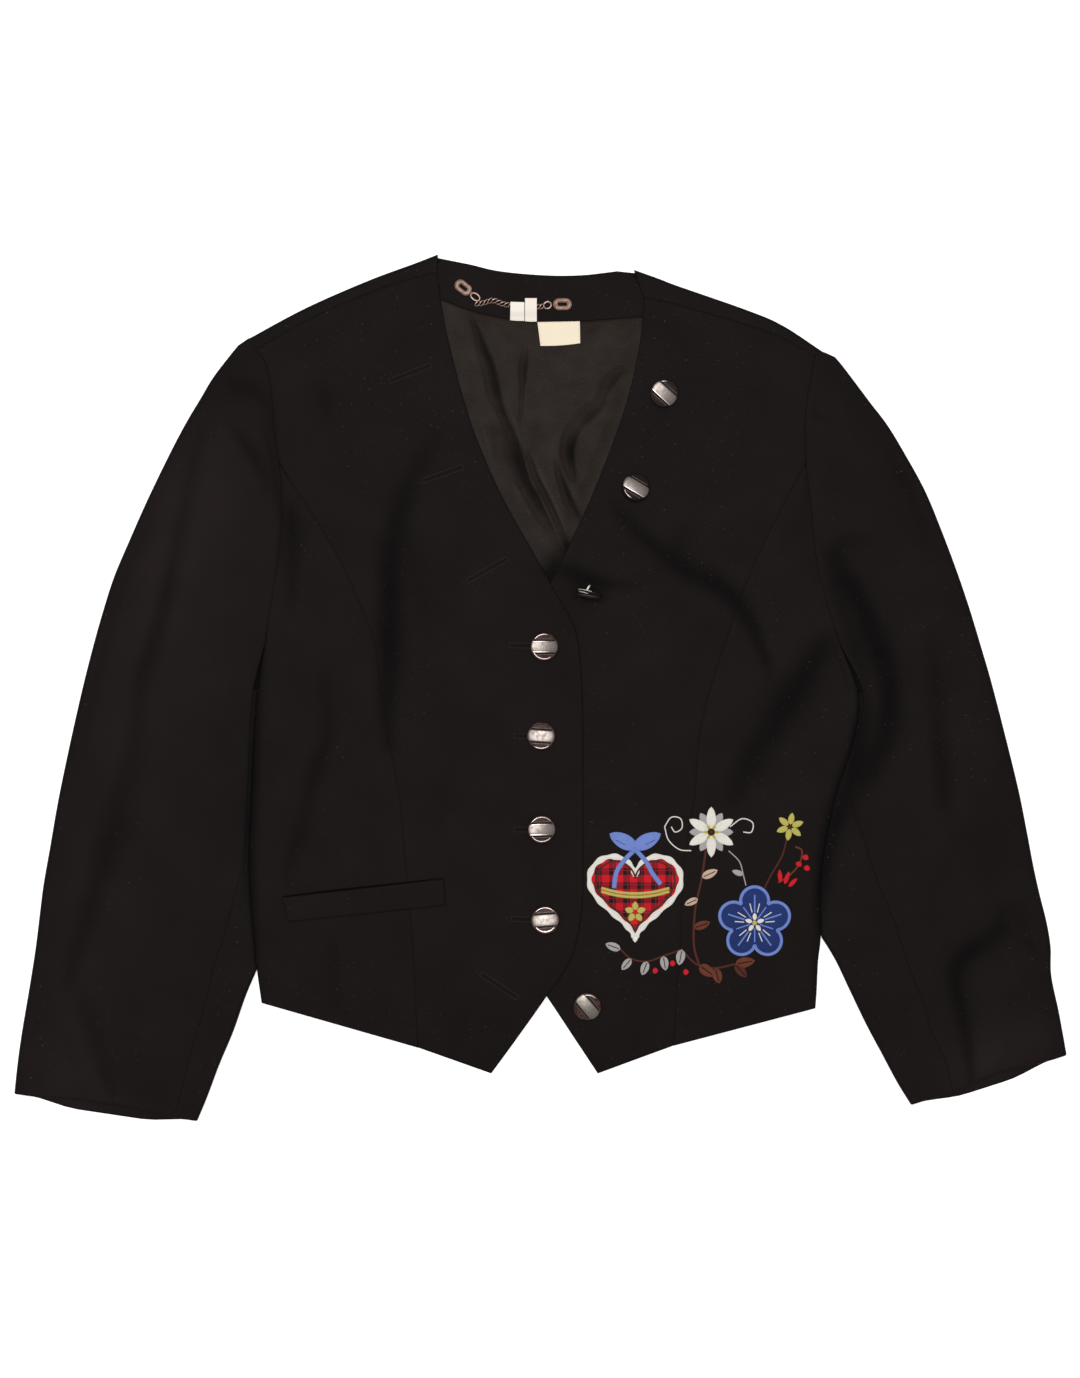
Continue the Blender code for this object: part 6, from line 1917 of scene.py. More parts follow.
def tube_rings(path: Array, radius: Array | float, sides: int, flatness: float = 1.0, closed: bool = False) -> Array:
    """Rings of points round a path that lies about level.

    Args:
        path: Points of the path, in millimetres.
        radius: Its radius, one for all or one for each point.
        sides: Points on each ring.
        flatness: Height over width.
        closed: Whether the path is a loop.

    Returns:
        Rings of points.
    """
    ways = np.roll(path, -1, axis=0) - np.roll(path, 1, axis=0) if closed else np.gradient(path, axis=0)
    along = unit(ways)
    flat = unit(np.cross(np.array([0, 0, 1.0]), along))
    return rings_round(path, flat, np.cross(along, flat) * flatness, radius, sides)


def spread(points: Array, step: float) -> Array:
    """The same plan line with points a fixed step apart, on a smooth curve through the given ones."""
    fine = curve(points, np.linspace(0, len(points) - 1, 40 * len(points)))
    run = run_of(fine)
    places = np.linspace(0, run[-1], max(3, int(round(run[-1] / step)) + 1))
    return np.stack([np.interp(places, run, fine[:, k]) for k in range(fine.shape[1])], -1)


class Stitching:
    """Raised stitched columns that lie on the cloth below them."""

    FOOT_DEPTH = 0.12
    FINE_STEP = 0.25
    LEAST_HALF = 0.05
    FULL_RISE_HALF = 0.5
    ROUNDNESS = 0.96

    def __init__(self, shop: Workshop, ground: Sequence[str]) -> None:
        """Sew onto the named pieces."""
        self.shop = shop
        self.ground = list(ground)
        self.mesh = LoopMesh()

    def column(self, points: Sequence[Sequence[float]], widths: Sequence[float] | float, rise: float = 0.45,
               material: int = 0, step: float = 0.8, sides: int = 10, closed: bool = False) -> None:
        """Add one column of stitches.

        Args:
            points: Its middle line in plan, in millimetres.
            widths: Its full width, one for all or one for each point.
            rise: Height of its middle over its edges.
            material: Material number.
            step: Spacing of its rings.
            sides: Points across it.
            closed: Whether it runs round to its start.
        """
        points = np.asarray(points, float)
        if closed:
            points = np.concatenate([points, points[:1]])
        sizes = np.broadcast_to(np.asarray(widths, float), (len(points),)) if np.ndim(widths) == 0 else (
            np.append(widths, widths[0]) if closed else np.asarray(widths, float))
        line = spread(np.concatenate([points, sizes[:, None]], axis=-1), step)
        along = np.gradient(line[:, :2], axis=0)
        if closed:
            line, along = line[:-1], along[:-1]
        along = unit(along)
        across = np.stack([-along[:, 1], along[:, 0]], -1)
        share = np.linspace(-1, 1, sides)
        half = np.maximum(line[:, 2:3] / 2, self.LEAST_HALF)
        plan = line[:, None, :2] + across[:, None] * (half * share[None])[..., None]
        floor = self.shop.height(plan, self.ground)
        bulge = np.sqrt(1 - share[None] ** 2 * self.ROUNDNESS) * np.minimum(1.0, half / self.FULL_RISE_HALF)
        crown = floor + rise * bulge
        upper = raised(plan, crown)
        lower = raised(plan, floor - self.FOOT_DEPTH)[:, ::-1]
        self.mesh.add_tube(np.concatenate([upper, lower[:, 1:-1]], axis=1), closed=closed, material=material)

    def finish(self, name: str, finishes: Sequence[Finish], slot: Slot) -> Piece:
        """Add all the stitches so far as one piece."""
        return self.shop.add(name, self.mesh.mesh(name), finishes, slot)

    def dashes(self, points: Sequence[Sequence[float]], length: float, gap: float, width: float,
               material: int = 0) -> None:
        """Add a row of single stitches along a line.

        Args:
            points: The line.
            length: Length of a stitch.
            gap: Space between stitches.
            width: Width of a stitch.
            material: Material number.
        """
        line = spread(np.asarray(points, float), self.FINE_STEP)
        steps, run = length / self.FINE_STEP, 0
        while run + steps < len(line):
            self.column(line[int(run):int(run + steps) + 1:2], width, 0.3, material, 0.5, 6)
            run += (length + gap) / self.FINE_STEP


@dataclass(frozen=True)
class Patch:
    """A strip of cloth that follows what it lies on. Its corners run round from the upper left one."""

    corners: tuple[Place, ...]
    wall: float
    lift: float
    reach: float
    columns: int = 26
    rows: int = 16
    bow: float = 0.0
    curl: float = 0.0
    curl_reach: float = 0.45
    curl_middle: float = 0.4
    ramp: float = 0.0
    feet: tuple[int, int] = (17, 9)

    def shell(self, shop: Workshop, supports: Sequence[str]) -> ClothShell:
        """Lay the strip.

        Args:
            shop: The workshop with what it lies on.
            supports: Names of the pieces below.

        Returns:
            Its shell.
        """
        length, height = math.dist(*self.corners[:2]), math.dist(self.corners[0], self.corners[3])
        u = across_shares(np.array([length]), self.columns)[0]
        v = across_shares(np.array([height]), self.rows)[0]
        s, r = u[None, :, None], v[:, None, None]
        plan = between_corners(self.corners, s, r)
        plan = plan + np.array([0.0, -self.bow]) * (np.sin(math.pi * s) * (1 - r))
        coarse_u, coarse_v = (np.linspace(0, 1, count) for count in self.feet)
        feet_plan = between_corners(self.corners, coarse_u[None, :, None], coarse_v[:, None, None])
        feet = shop.height(feet_plan, supports, self.reach)
        by_row = np.stack([np.interp(u, coarse_u, row) for row in feet])
        feet = np.stack([np.interp(v, coarse_v, by_row[:, k]) for k in range(len(u))], axis=1)
        if self.ramp:
            low, high = feet[0].max(), feet.max()
            feet = np.broadcast_to(low + (high - low) * smooth(v[:, None] / self.ramp), feet.shape)
        rim = np.minimum(np.minimum(u, 1 - u)[None] * length, np.minimum(v, 1 - v)[:, None] * height)
        outwards = self.curl_middle + (1 - self.curl_middle) * (2 * u[None] - 1) ** 2
        curled = self.curl * np.clip(1 - v[:, None] / self.curl_reach, 0, 1) ** 2 * outwards
        top = feet + self.lift + self.wall + curled
        return ClothShell().add_grid(*wall_between(plan, top, rim, wall=self.wall))


@dataclass(frozen=True)
class PocketWelt:
    """The welt of the low pocket on the right front, and a near-black strip as painted shadow in the pocket's mouth."""

    def make(self, shop: Workshop) -> None:
        shell = Patch(WELT_CORNERS, WALL, GAP * 0.6, 2.0, 70, 18).shell(shop, RIGHT_FRONT)
        shop.lay("wool_pocket_welt", shell.mesh("welt"), WOOL, Slot.WOOL, "pocket_welt")
        self.mouth(shop)

    @staticmethod
    def mouth(shop: Workshop) -> None:
        """Lay a near-black strip, painted shadow in the pocket's mouth, along the welt's upper edge, widest near the
        side seam.
        """
        work = Stitching(shop, RIGHT_FRONT)
        start, end = (np.array(corner) + (0, 0.55) for corner in WELT_CORNERS[:2])
        work.column([start + (end - start) * share for share in MOUTH_PLACES], MOUTH_WIDTHS, 0.25, sides=6, step=2.0)
        work.finish("pocket_mouth_shadow", [MOUTH_SHADOW_CLOTH], Slot.WOOL)


@dataclass(frozen=True)
class Hanger:
    """The hanger at the back neck: two oval plates, two rings and a curb chain."""

    plate_length: float = 14.5
    plate_width: float = 9.3
    slot_length: float = 6.6
    slot_width: float = 2.2
    wire: float = 0.8
    link_wire: float = 0.55
    link_length: float = 4.7
    link_width: float = 3.1
    link_tilt: float = 42.0
    link_turn: float = 38.0
    link_step: float = 3.3
    ring_tilt: float = 12.0
    lift: float = 0.15
    sides: int = 10

    @staticmethod
    def stadium(length: float, width: float, count: int) -> Array:
        """Points round a long shape with round ends."""
        half, radius = (length - width) / 2, width / 2
        angle = 2 * math.pi * (np.arange(count) + 0.5) / count
        ends = np.stack([np.copysign(half, np.cos(angle)), np.zeros(count)], -1)
        return ends + circle(radius, angle)

    @staticmethod
    def spin(degrees: float) -> Array:
        """Matrix that turns rows of places in plan by an angle."""
        turn = math.radians(degrees)
        return np.array([[math.cos(turn), math.sin(turn)], [-math.sin(turn), math.cos(turn)]])

    def plate(self, place: Sequence[float], foot: float) -> LoopMesh:
        """One oval plate with a slot, a raised rim and a raised edge round the slot.

        Args:
            place: Its middle and its angle in degrees.
            foot: Height that it lies at.

        Returns:
            Its mesh.
        """
        hole = self.stadium(self.slot_length, self.slot_width, 48)
        edge = self.stadium(self.plate_length, self.plate_width, 48)
        mesh = LoopMesh()
        mesh.add_tube(np.array([raised((hole + (edge - hole) * share) @ self.spin(place[2]) + np.array(place[:2]),
                                       foot + z) for share, z in PLATE_PROFILE]), closed=True)
        return mesh

    def oval(self, centre: Place, size: tuple[float, float], angle: float, tilt: float, foot: float, wire: float
             ) -> Array:
        """Rings of points round an oval wire loop, leaning about its long axis.

        Args:
            centre: Its middle.
            size: Its length and width between wire middles.
            angle: Direction of its length.
            tilt: How far it leans, in degrees.
            foot: Height of its lowest point.
            wire: Wire radius.

        Returns:
            Rings of points.
        """
        flat = circle(1.0, full_turn(26)) * np.array(size) / 2
        lean = math.radians(tilt)
        plan = np.stack([flat[:, 0], flat[:, 1] * math.cos(lean)], -1) @ self.spin(angle)
        path = raised(plan, flat[:, 1] * math.sin(lean))
        path[:, 2] -= path[:, 2].min()
        return tube_rings(path + np.array([*centre, foot + wire]), wire, self.sides, closed=True)

    def make(self, shop: Workshop) -> None:
        """Make the plates, the rings and the chain."""
        for node, place in PLATES.items():
            foot = self.foot(shop, place[:2])
            shop.add("copper_" + node, self.plate(place, foot).mesh(node, 60.0), [COPPER], Slot.COPPER, [node])
        for node, (x, y, length, width, angle) in RINGS.items():
            mesh = LoopMesh()
            foot = self.foot(shop, (x, y))
            mesh.add_tube(self.oval((x, y), (length, width), angle, self.ring_tilt, foot, self.wire), closed=True)
            shop.add("copper_" + node, mesh.mesh(node, 60.0), [CHAIN_METAL], Slot.COPPER, [node])
        route = spread(np.array(CHAIN_ROUTE), self.link_step)
        foot = self.foot(shop, CHAIN_ROUTE[0])
        mesh = LoopMesh()
        for point, way in zip(route, unit(np.gradient(route, axis=0))):
            angle = math.degrees(math.atan2(way[1], way[0])) + self.link_turn
            mesh.add_tube(self.oval(tuple(point), (self.link_length, self.link_width), angle, self.link_tilt, foot,
                                    self.link_wire), closed=True)
        shop.add("copper_hanger_chain", mesh.mesh("chain", 60.0), [CHAIN_METAL], Slot.COPPER, ["hanger_chain"])

    def foot(self, shop: Workshop, place: Sequence[float]) -> float:
        """Height that a part of the hanger lies at, just over the facing."""
        return float(shop.height(place, [FACING_PIECE])) + self.lift


@dataclass(frozen=True)
class Labels:
    """Two small tabs and one large bare label, sewn on at the facing's lower edge."""

    wall: float = 0.4

    def make(self, shop: Workshop) -> None:
        below = ["satin_back_lining", FACING_PIECE, "copper_hanger_chain"]
        for node, corners in LABELS.items():
            large = node == "label_care"
            patch = Patch(corners, self.wall, 0.2, 1.6, 24, 16, bow=0.6 if large else 0.2,
                          curl=1.1 if large else 0.0, ramp=0.0 if large else 0.6)
            piece = shop.add("tape_" + node, patch.shell(shop, below).mesh(node), [TAPES[node]], Slot.LABEL, [node])
            stitches = Stitching(shop, ["tape_" + node])
            upper_left, upper_right, lower_right, lower_left = (np.array(c) for c in corners)
            for start, end in ((lower_left, lower_right),) if not large else (
                    (upper_left, upper_right), (upper_left, lower_left), (upper_right, lower_right)):
                middle = (upper_left + lower_right) / 2
                a, b = start + (middle - start) * 0.07, end + (middle - end) * 0.07
                stitches.dashes([a, (a + b) / 2, b], 1.3, 0.8, 0.35)
            thread = stitches.finish("stitches_" + node, [LABEL_THREAD], Slot.LABEL)
            shop.declare_sheet(piece)


@dataclass(frozen=True)
class Button:
    """A round button: a domed resin disc with painted highlight arcs on its rim, and a hammered pewter bar right across
    it.
    """

    radius: float = 10.5
    bar_half: float = 4.4
    bar_inset: float = 0.35
    crown: float = 0.9
    segments: int = 72

    def disc(self, mesh: LoopMesh) -> None:
        """Add the turned disc, its rounded rim and its domed face."""
        mesh.add_tube(np.array([raised(circle(r, full_turn(self.segments)), z) for r, z in DISC_PROFILE]))

    def bar(self, mesh: LoopMesh) -> None:
        """Add the bar, and beside it near-black strips as painted shadow in its grooves, and thin dull lines."""
        shares, z = np.array(BAR_SECTION).T
        y = shares * self.bar_half
        ends = np.sqrt(self.radius**2 - y**2) - self.bar_inset
        rings = [np.stack([ends * s, y, np.where(z > z[0], z - self.fall(s), z)], -1)
                 for s in (*(-share for share in BAR_SHARES[:0:-1]), *BAR_SHARES)]
        mesh.add_tube(np.array(rings), material=1)
        for sign in (-1, 1):
            for off, wire, z, number, flatness in ((0.35, 0.55, 3.15, 3, 0.3), (1.4, 0.32, 3.14, 4, 0.6)):
                y = sign * (self.bar_half + off)
                end = math.sqrt(8.9**2 - y**2)
                path = np.array([(x, y, z) for x in np.linspace(-end, end, 14)])
                mesh.add_tube(tube_rings(path, wire, 8, flatness), material=number)

    def fall(self, share: float) -> float:
        """How far the bar's top has come down at a share of its half length."""
        return self.crown * share**2 + 0.4 * max(0.0, (abs(share) - 0.9) / 0.1) ** 2

    @staticmethod
    def glint_line(mesh: LoopMesh, path: Array, wire: float) -> None:
        """Add a painted highlight line that grows thin towards both ends."""
        taper = wire * (0.25 + 0.75 * np.sin(math.pi * np.linspace(0, 1, len(path))) ** 0.5)
        mesh.add_tube(tube_rings(path, taper, 8, 0.7), material=2)

    def paint_glints(self, mesh: LoopMesh, look: ButtonLook) -> None:
        """Add the painted highlight arcs on the rim and the painted highlight lips of the bar."""
        for start, end, radius, wire in look.arcs:
            a = np.radians(np.linspace(start - look.bar_angle, end - look.bar_angle, 40))
            height = 3.25 if radius > 9.0 else 3.12
            self.glint_line(mesh, raised(circle(radius, a), height), wire)
        for side, start, end in look.lips:
            x = np.linspace(start, end, 18)
            z = 4.02 - self.crown * (x / self.radius) ** 2
            self.glint_line(mesh, np.stack([x, np.full_like(x, side * (self.bar_half - 0.6)), z], -1), 0.62)

    def stand(self, mesh: LoopMesh) -> None:
        """Add the wire shank of the standing button and the two painted highlight lines on the disc's side, in
        near-white metal.
        """
        a = full_turn(24)
        loop = np.stack([-1.2 + 0.4 * np.cos(a) - 0.95 * np.sin(a), 1.25 * np.cos(a), -2.9 + 2.5 * np.sin(a)], -1)
        mesh.add_tube(self.loop_rings(loop), closed=True, material=2)
        for start, end, right, left in STANDING_GLINTS:
            a = np.radians(np.linspace(start, end, 20))
            reach = self.radius + 0.1
            self.glint_line(mesh, raised(circle(reach, a), np.linspace(right, left, 20)), 0.48)

    def make(self, shop: Workshop) -> None:
        """Make the eight buttons, seven lying and one standing on its edge."""
        below = ["wool_front_left_centre", "wool_front_right_centre"]
        for number, look in enumerate(BUTTONS, start=1):
            mesh = LoopMesh()
            self.disc(mesh)
            self.bar(mesh)
            self.paint_glints(mesh, look)
            turn = Matrix.Rotation(math.radians(look.bar_angle), 4, "Z")
            standing = number == STANDING_BUTTON
            foot = float(shop.height((look.x, look.y), below, 3.0 if standing else 6.0)) + GAP
            if standing:
                self.stand(mesh)
                turn = turn @ Matrix.Rotation(math.radians(STANDING_TILT), 4, "X")
            else:
                way = math.radians(look.way + 90)
                axis = Vector((math.cos(way), math.sin(way), 0))
                turn = Matrix.Rotation(math.radians(look.lean), 4, axis) @ turn
            data = mesh.mesh(f"button_{number}", 35.0)
            data.transform(turn)
            lowest = min(v.co.z for v in data.vertices)
            data.transform(Matrix.Translation((look.x * MM, look.y * MM, foot * MM - lowest)))
            # Darker resin copies are painted shade
            resin = (RESIN, SHADED_RESIN, DEEP_SHADED_RESIN)[look.shade]
            # On the standing button the bar gets a darker metal as painted shade, and its lines and shank painted
            # highlight
            face, edge = (DULL_LINE_AND_SHADED_BAR, PAINTED_HIGHLIGHT_LINE) if standing else (PEWTER, PAINTED_GLINT_METAL)
            shop.add(f"dressed_button_{number}", data, [resin, face, edge, GROOVE_SHADOW, DULL_LINE_AND_SHADED_BAR], Slot.BUTTON,
                     [f"button_{number}"])
            self.sew(shop, number, (look.x, look.y), foot, standing)

    @staticmethod
    def loop_rings(path: Array, wire: float = 0.42, sides: int = 8) -> Array:
        """Rings of points round a standing wire loop, thicker on its left limb."""
        away = unit(path - path.mean(axis=0))
        out = unit(np.cross(away, np.roll(path, -1, axis=0) - np.roll(path, 1, axis=0)))
        return rings_round(path, away, out, wire * (1.0 - 0.3 * path[:, 0] / np.abs(path[:, 0]).max()), sides)

    @staticmethod
    def sew(shop: Workshop, number: int, place: Place, foot: float, standing: bool) -> None:
        """Add the five threads of the shank between a button and the cloth.

        Args:
            shop: The workshop.
            number: The button's number.
            place: Its place in plan.
            foot: Height of its underside.
            standing: Whether it stands on its edge.
        """
        mesh = LoopMesh()
        reach, lean = (8.6, 7.0) if standing else (0.4, 0.0)
        s = np.linspace(0, 1, 9)
        for x, y in circle(0.55, full_turn(5)):
            path = np.stack([place[0] + x * (1 - s * 0.3), place[1] + y + lean * (1 - s),
                             foot - 0.6 + (reach + 0.6) * s], -1)
            along = unit(np.gradient(path, axis=0))
            side = unit(np.cross(along, np.array([1.0, 0.2, 0.0])))
            mesh.add_tube(rings_round(path, side, np.cross(along, side), 0.3, 7))
        shop.add(f"shank_button_{number}", mesh.mesh(f"shank_{number}"), [SHANK_THREAD], Slot.BUTTON)


@dataclass(frozen=True)
class Buttonholes:
    """Worked buttonholes on the right front: two close columns of stitches, joined at both ends."""

    places: tuple[tuple[float, float, float, float], ...] = (
        (-113.5, 230.0, -82.5, 242.0),
        (-89.0, 155.0, -58.0, 166.0),
        (-55.0, 80.0, -25.0, 97.0),
        (-23.5, 32.0, 4.0, 31.5),
        (-20.0, -36.0, 4.0, -36.0),
        (-20.0, -106.0, 4.0, -106.0),
        (-22.0, -173.0, 4.0, -174.0),
        (-45.0, -214.0, -17.0, -232.5),
    )
    spacing: float = 3.8
    lip: float = 0.65
    slit: float = 0.55
    slit_start: float = 1.5
    eye_distance: float = 3.4

    def make(self, shop: Workshop) -> None:
        """Make all eight as one piece."""
        work = Stitching(shop, ["wool_front_right_centre"])
        for x1, y1, x2, y2 in self.places:
            start, end = np.array([x1, y1]), np.array([x2, y2])
            way = unit(end - start)
            side = np.array([-way[1], way[0]]) * self.spacing / 2
            middle = (start + end) / 2
            for shift in (-side, side):
                work.column([start + shift, middle + shift, end + shift], self.lip, 0.4, step=1.0, sides=7)
            work.column([start + way * self.slit_start, middle, end], self.slit, 0.12, 1, step=1.0, sides=6)
            for corner in (start, end):
                work.column([corner - side, corner, corner + side], self.lip, 0.4, step=0.5, sides=7)
            eye = start - way * self.eye_distance
            work.column([eye - way, eye, eye + way], 0.5, 0.3, step=0.5, sides=6)
        work.finish("buttonholes", [HOLE_THREAD, SLIT_THREAD], Slot.WOOL)


class Thread(Enum):
    """Embroidery threads, numbered as the materials of a stitched piece."""

    WHITE = 0
    BLUE = 1
    YELLOW = 2
    BROWN = 3
    RED = 4
    GREY = 5
    BEIGE = 6
    RUST = 7
    BLACK = 8


THREAD_COLORS = {
    Thread.WHITE: (0.80, 0.77, 0.70),
    Thread.BLUE: (0.17, 0.25, 0.62),
    Thread.YELLOW: (0.52, 0.46, 0.11),
    Thread.BROWN: (0.085, 0.027, 0.018),
    Thread.RED: (0.62, 0.016, 0.025),
    Thread.GREY: (0.40, 0.38, 0.38),
    Thread.BEIGE: (0.60, 0.43, 0.33),
    Thread.RUST: (0.15, 0.042, 0.024),
    Thread.BLACK: (0.008, 0.007, 0.007),
}
THREADS = [SatinStitch(f"{thread.name.lower()}_embroidery_thread", color, 0.55)
           for thread, color in THREAD_COLORS.items()]
CHECK = CheckedCloth("red_checked_flannel", (0.52, 0.008, 0.018), 0.85)
NAVY_CLOTH = WoolCloth("navy_felt", (0.015, 0.03, 0.12), 0.75, (0.04, 0.07, 0.2), (1.0, 1.0, 1.0),
                       (0.01, 0.02, 0.08), 0.9, 0.06, 0.0008)


class Petal(NamedTuple):
    """A filled petal, leaf or berry: its foot, direction in degrees, length, width and thread."""

    x: float
    y: float
    angle: float
    length: float
    width: float
    thread: Thread


class Stem(NamedTuple):
    """A stitched line through places in plan, with its width and thread."""

    places: tuple[Place, ...]
    width: float
    thread: Thread


SPRIG_STEMS = (
    Stem(((124, -121), (121, -142), (116, -166), (115, -192), (119, -208)), 1.7, Thread.BROWN),
    Stem(((185, -112), (181, -126), (173, -140), (168, -150)), 1.3, Thread.BROWN),
    Stem(((178, -146), (186, -141), (194, -132), (196, -122), (191, -119)), 1.3, Thread.RUST),
    Stem(((106, -196), (112, -203), (119, -208), (131, -210), (146, -207)), 1.5, Thread.BROWN),
    Stem(((93, -104), (98, -97), (105, -98), (106, -105), (101, -108), (98, -104)), 0.9, Thread.WHITE),
    Stem(((93, -104), (96, -114), (104, -121), (113, -122)), 0.9, Thread.WHITE),
    Stem(((142, -104), (151, -98), (159, -101), (158, -108), (152, -108)), 0.9, Thread.WHITE),
    Stem(((141, -122), (149, -130), (152, -140), (154, -148)), 0.9, Thread.GREY),
    Stem(((60, -196), (68, -203), (80, -205), (92, -201), (106, -196)), 1.4, Thread.BROWN),
)
SPRIG_PETALS = (
    Petal(121, -142, 25, 13, 6.0, Thread.BEIGE),
    Petal(118, -158, 205, 11, 5.0, Thread.BEIGE),
    Petal(115, -180, 20, 13, 6.0, Thread.RUST),
    Petal(119, -208, -35, 14, 8.0, Thread.RUST),
    Petal(131, -210, -75, 12, 7.0, Thread.RUST),
    Petal(146, -207, 10, 15, 7.5, Thread.RUST),
    Petal(146, -207, -50, 13, 6.5, Thread.BROWN),
    Petal(106, -196, -100, 12, 6.5, Thread.GREY),
    Petal(92, -201, -80, 11, 6.0, Thread.GREY),
    Petal(80, -205, -110, 11, 6.0, Thread.GREY),
    Petal(68, -203, -130, 11, 5.5, Thread.GREY),
    Petal(60, -196, 160, 12, 6.0, Thread.GREY),
    Petal(97, -206.5, 0, 4.2, 4.2, Thread.RED),
    Petal(84, -212, 0, 4.2, 4.2, Thread.RED),
    Petal(107, -213, 0, 4.2, 4.2, Thread.RED),
    Petal(193, -134, 70, 4.4, 4.4, Thread.RED),
    Petal(198, -129, 70, 4.4, 4.4, Thread.RED),
    Petal(199, -137, 70, 4.4, 4.4, Thread.RED),
    Petal(180, -146, 95, 10, 3.2, Thread.RED),
    Petal(183, -147, 70, 10, 3.2, Thread.RED),
    Petal(186, -149, 45, 9, 3.0, Thread.RED),
    Petal(152, -140, 160, 9, 4.0, Thread.GREY),
)
BOW_STEMS = (
    Stem(((71, -121), (63, -129), (57, -138), (55, -150)), 3.4, Thread.BLUE),
    Stem(((71, -121), (79, -130), (84, -139), (90, -147)), 3.4, Thread.BLUE),
)
BOW_PETALS = (
    Petal(72, -120, 152, 23, 11.0, Thread.BLUE),
    Petal(70, -120, 28, 23, 11.0, Thread.BLUE),
    Petal(68.5, -123, 60, 6.5, 6.0, Thread.BLUE),
)


@dataclass(frozen=True)
class Applique:
    """A folk design on the wearer's left front: a checked heart with a bow, flowers, leaves and berries."""

    outline_points: int = 132
    scallops: int = 22
    ground: tuple[str, ...] = LEFT_FRONT

    def heart(self, share: float = 1.0) -> Array:
        """Outline of the heart, smaller or larger by a share."""
        a = full_turn(self.outline_points)
        x = 16 * np.sin(a) ** 3
        y = 13 * np.cos(a) - 5 * np.cos(2 * a) - 2 * np.cos(3 * a) - np.cos(4 * a)
        return np.stack([-x, y], -1) * HEART_SIZE * share + np.array(HEART_CENTRE)

    def gentian(self, share: float = 1.0) -> Array:
        """Outline of the gentian with its five round petals."""
        a = full_turn(self.outline_points)
        petal = np.abs(np.cos(5 * (a - math.pi / 2) / 2)) ** 0.7
        return circle(GENTIAN_RADIUS * (0.62 + 0.38 * petal) * share, a) + np.array(GENTIAN_CENTRE)

    def padded(self, shop: Workshop, outline: Array, centre: Place, rise: float) -> ClothShell:
        """A padded shape of cloth that follows the front below it.

        Args:
            shop: The workshop with the fronts.
            outline: Its edge in plan.
            centre: Its middle.
            rise: How far its middle stands over its edge.

        Returns:
            Its shell.
        """
        shares = np.array([1.0, 0.985, 0.96, 0.92, 0.84, 0.72, 0.56, 0.38, 0.2, 0.0])[:, None, None]
        ring = np.concatenate([outline, outline[:1]])[None]
        plan = np.array(centre) + (ring - np.array(centre)) * shares
        foot = shop.height(plan, self.ground)
        lift = 0.25 + 0.75 * np.sqrt(np.clip(1 - shares[..., 0] ** 12, 0, 1)) + rise * (1 - shares[..., 0] ** 3)
        return ClothShell().add_grid(raised(plan, foot + lift), raised(plan, foot + 0.05), level=True)

    @staticmethod
    def petal(work: Stitching, petal: Petal) -> None:
        """Stitch one filled petal as a column that is wide in its middle."""
        s = np.linspace(0, 1, 9)
        points = polar((petal.x, petal.y), petal.length * s, petal.angle)
        widths = petal.width * np.maximum(np.sin(math.pi * s**0.85), 0.0) ** 0.65 + 0.25
        work.column(points, widths, 0.75, petal.thread.value, 0.7, 12)

    def ring_of_petals(self, work: Stitching, centre: Place, count: int, inner: float, size: tuple[float, float],
                       turn: float, thread: Thread) -> None:
        """Stitch equal petals round a middle.

        Args:
            work: The stitching to add to.
            centre: The middle.
            count: Number of petals.
            inner: Distance of their feet from the middle.
            size: Length and width of a petal.
            turn: Direction of the first, in degrees.
            thread: Its thread.
        """
        for k in range(count):
            angle = turn + 360.0 * k / count
            self.petal(work, Petal(*polar(centre, inner, angle), angle, *size, thread))

    def sew_heart(self, shop: Workshop) -> None:
        """Make the heart, its scalloped edge, its lines and the bow."""
        cloth = self.padded(shop, self.heart(0.97), HEART_CENTRE, 0.5).mesh("heart_cloth")
        shop.add("heart_cloth", cloth, [CHECK], Slot.RED, ["applique_heart"])
        edge = Stitching(shop, (*self.ground, "heart_cloth"))
        a = full_turn(self.outline_points)
        edge.column(self.heart(), 3.9 + 0.9 * np.cos(self.scallops * a), 0.7, Thread.WHITE.value, 0.7, 9, True)
        edge.finish("heart_scallops", THREADS, Slot.RED)
        work = Stitching(shop, (*self.ground, "heart_cloth", "heart_scallops"))
        work.column(self.heart(0.86), 1.3, 0.4, Thread.BROWN.value, 0.7, 7, True)
        for shift in (0.0, -2.6):
            work.column([(45.5, -150 + shift), (58, -153 + shift), (71, -154 + shift), (84, -153 + shift),
                         (96.5, -150 + shift)], 2.1, 0.6, Thread.YELLOW.value)
        self.ring_of_petals(work, (71, -168), 5, 1.5, (6.5, 4.4), 90, Thread.YELLOW)
        self.petal(work, Petal(69.2, -168, 0, 3.6, 3.6, Thread.RED))
        for stem in BOW_STEMS:
            work.column(stem.places, stem.width, 0.8, stem.thread.value)
        work.finish("heart_lines", THREADS, Slot.RED)
        bow = Stitching(shop, (*self.ground, "heart_cloth", "heart_scallops", "heart_lines"))
        for petal in BOW_PETALS:
            self.petal(bow, petal)
        for x, angle in ((66, 152), (76, 28)):
            a = math.radians(angle)
            bow.column([(x + 3 * math.cos(a), -117.5), (x + 11 * math.cos(a), -114)], 0.8, 1.0, Thread.BLACK.value)
        bow.finish("heart_bow", THREADS, Slot.RED)

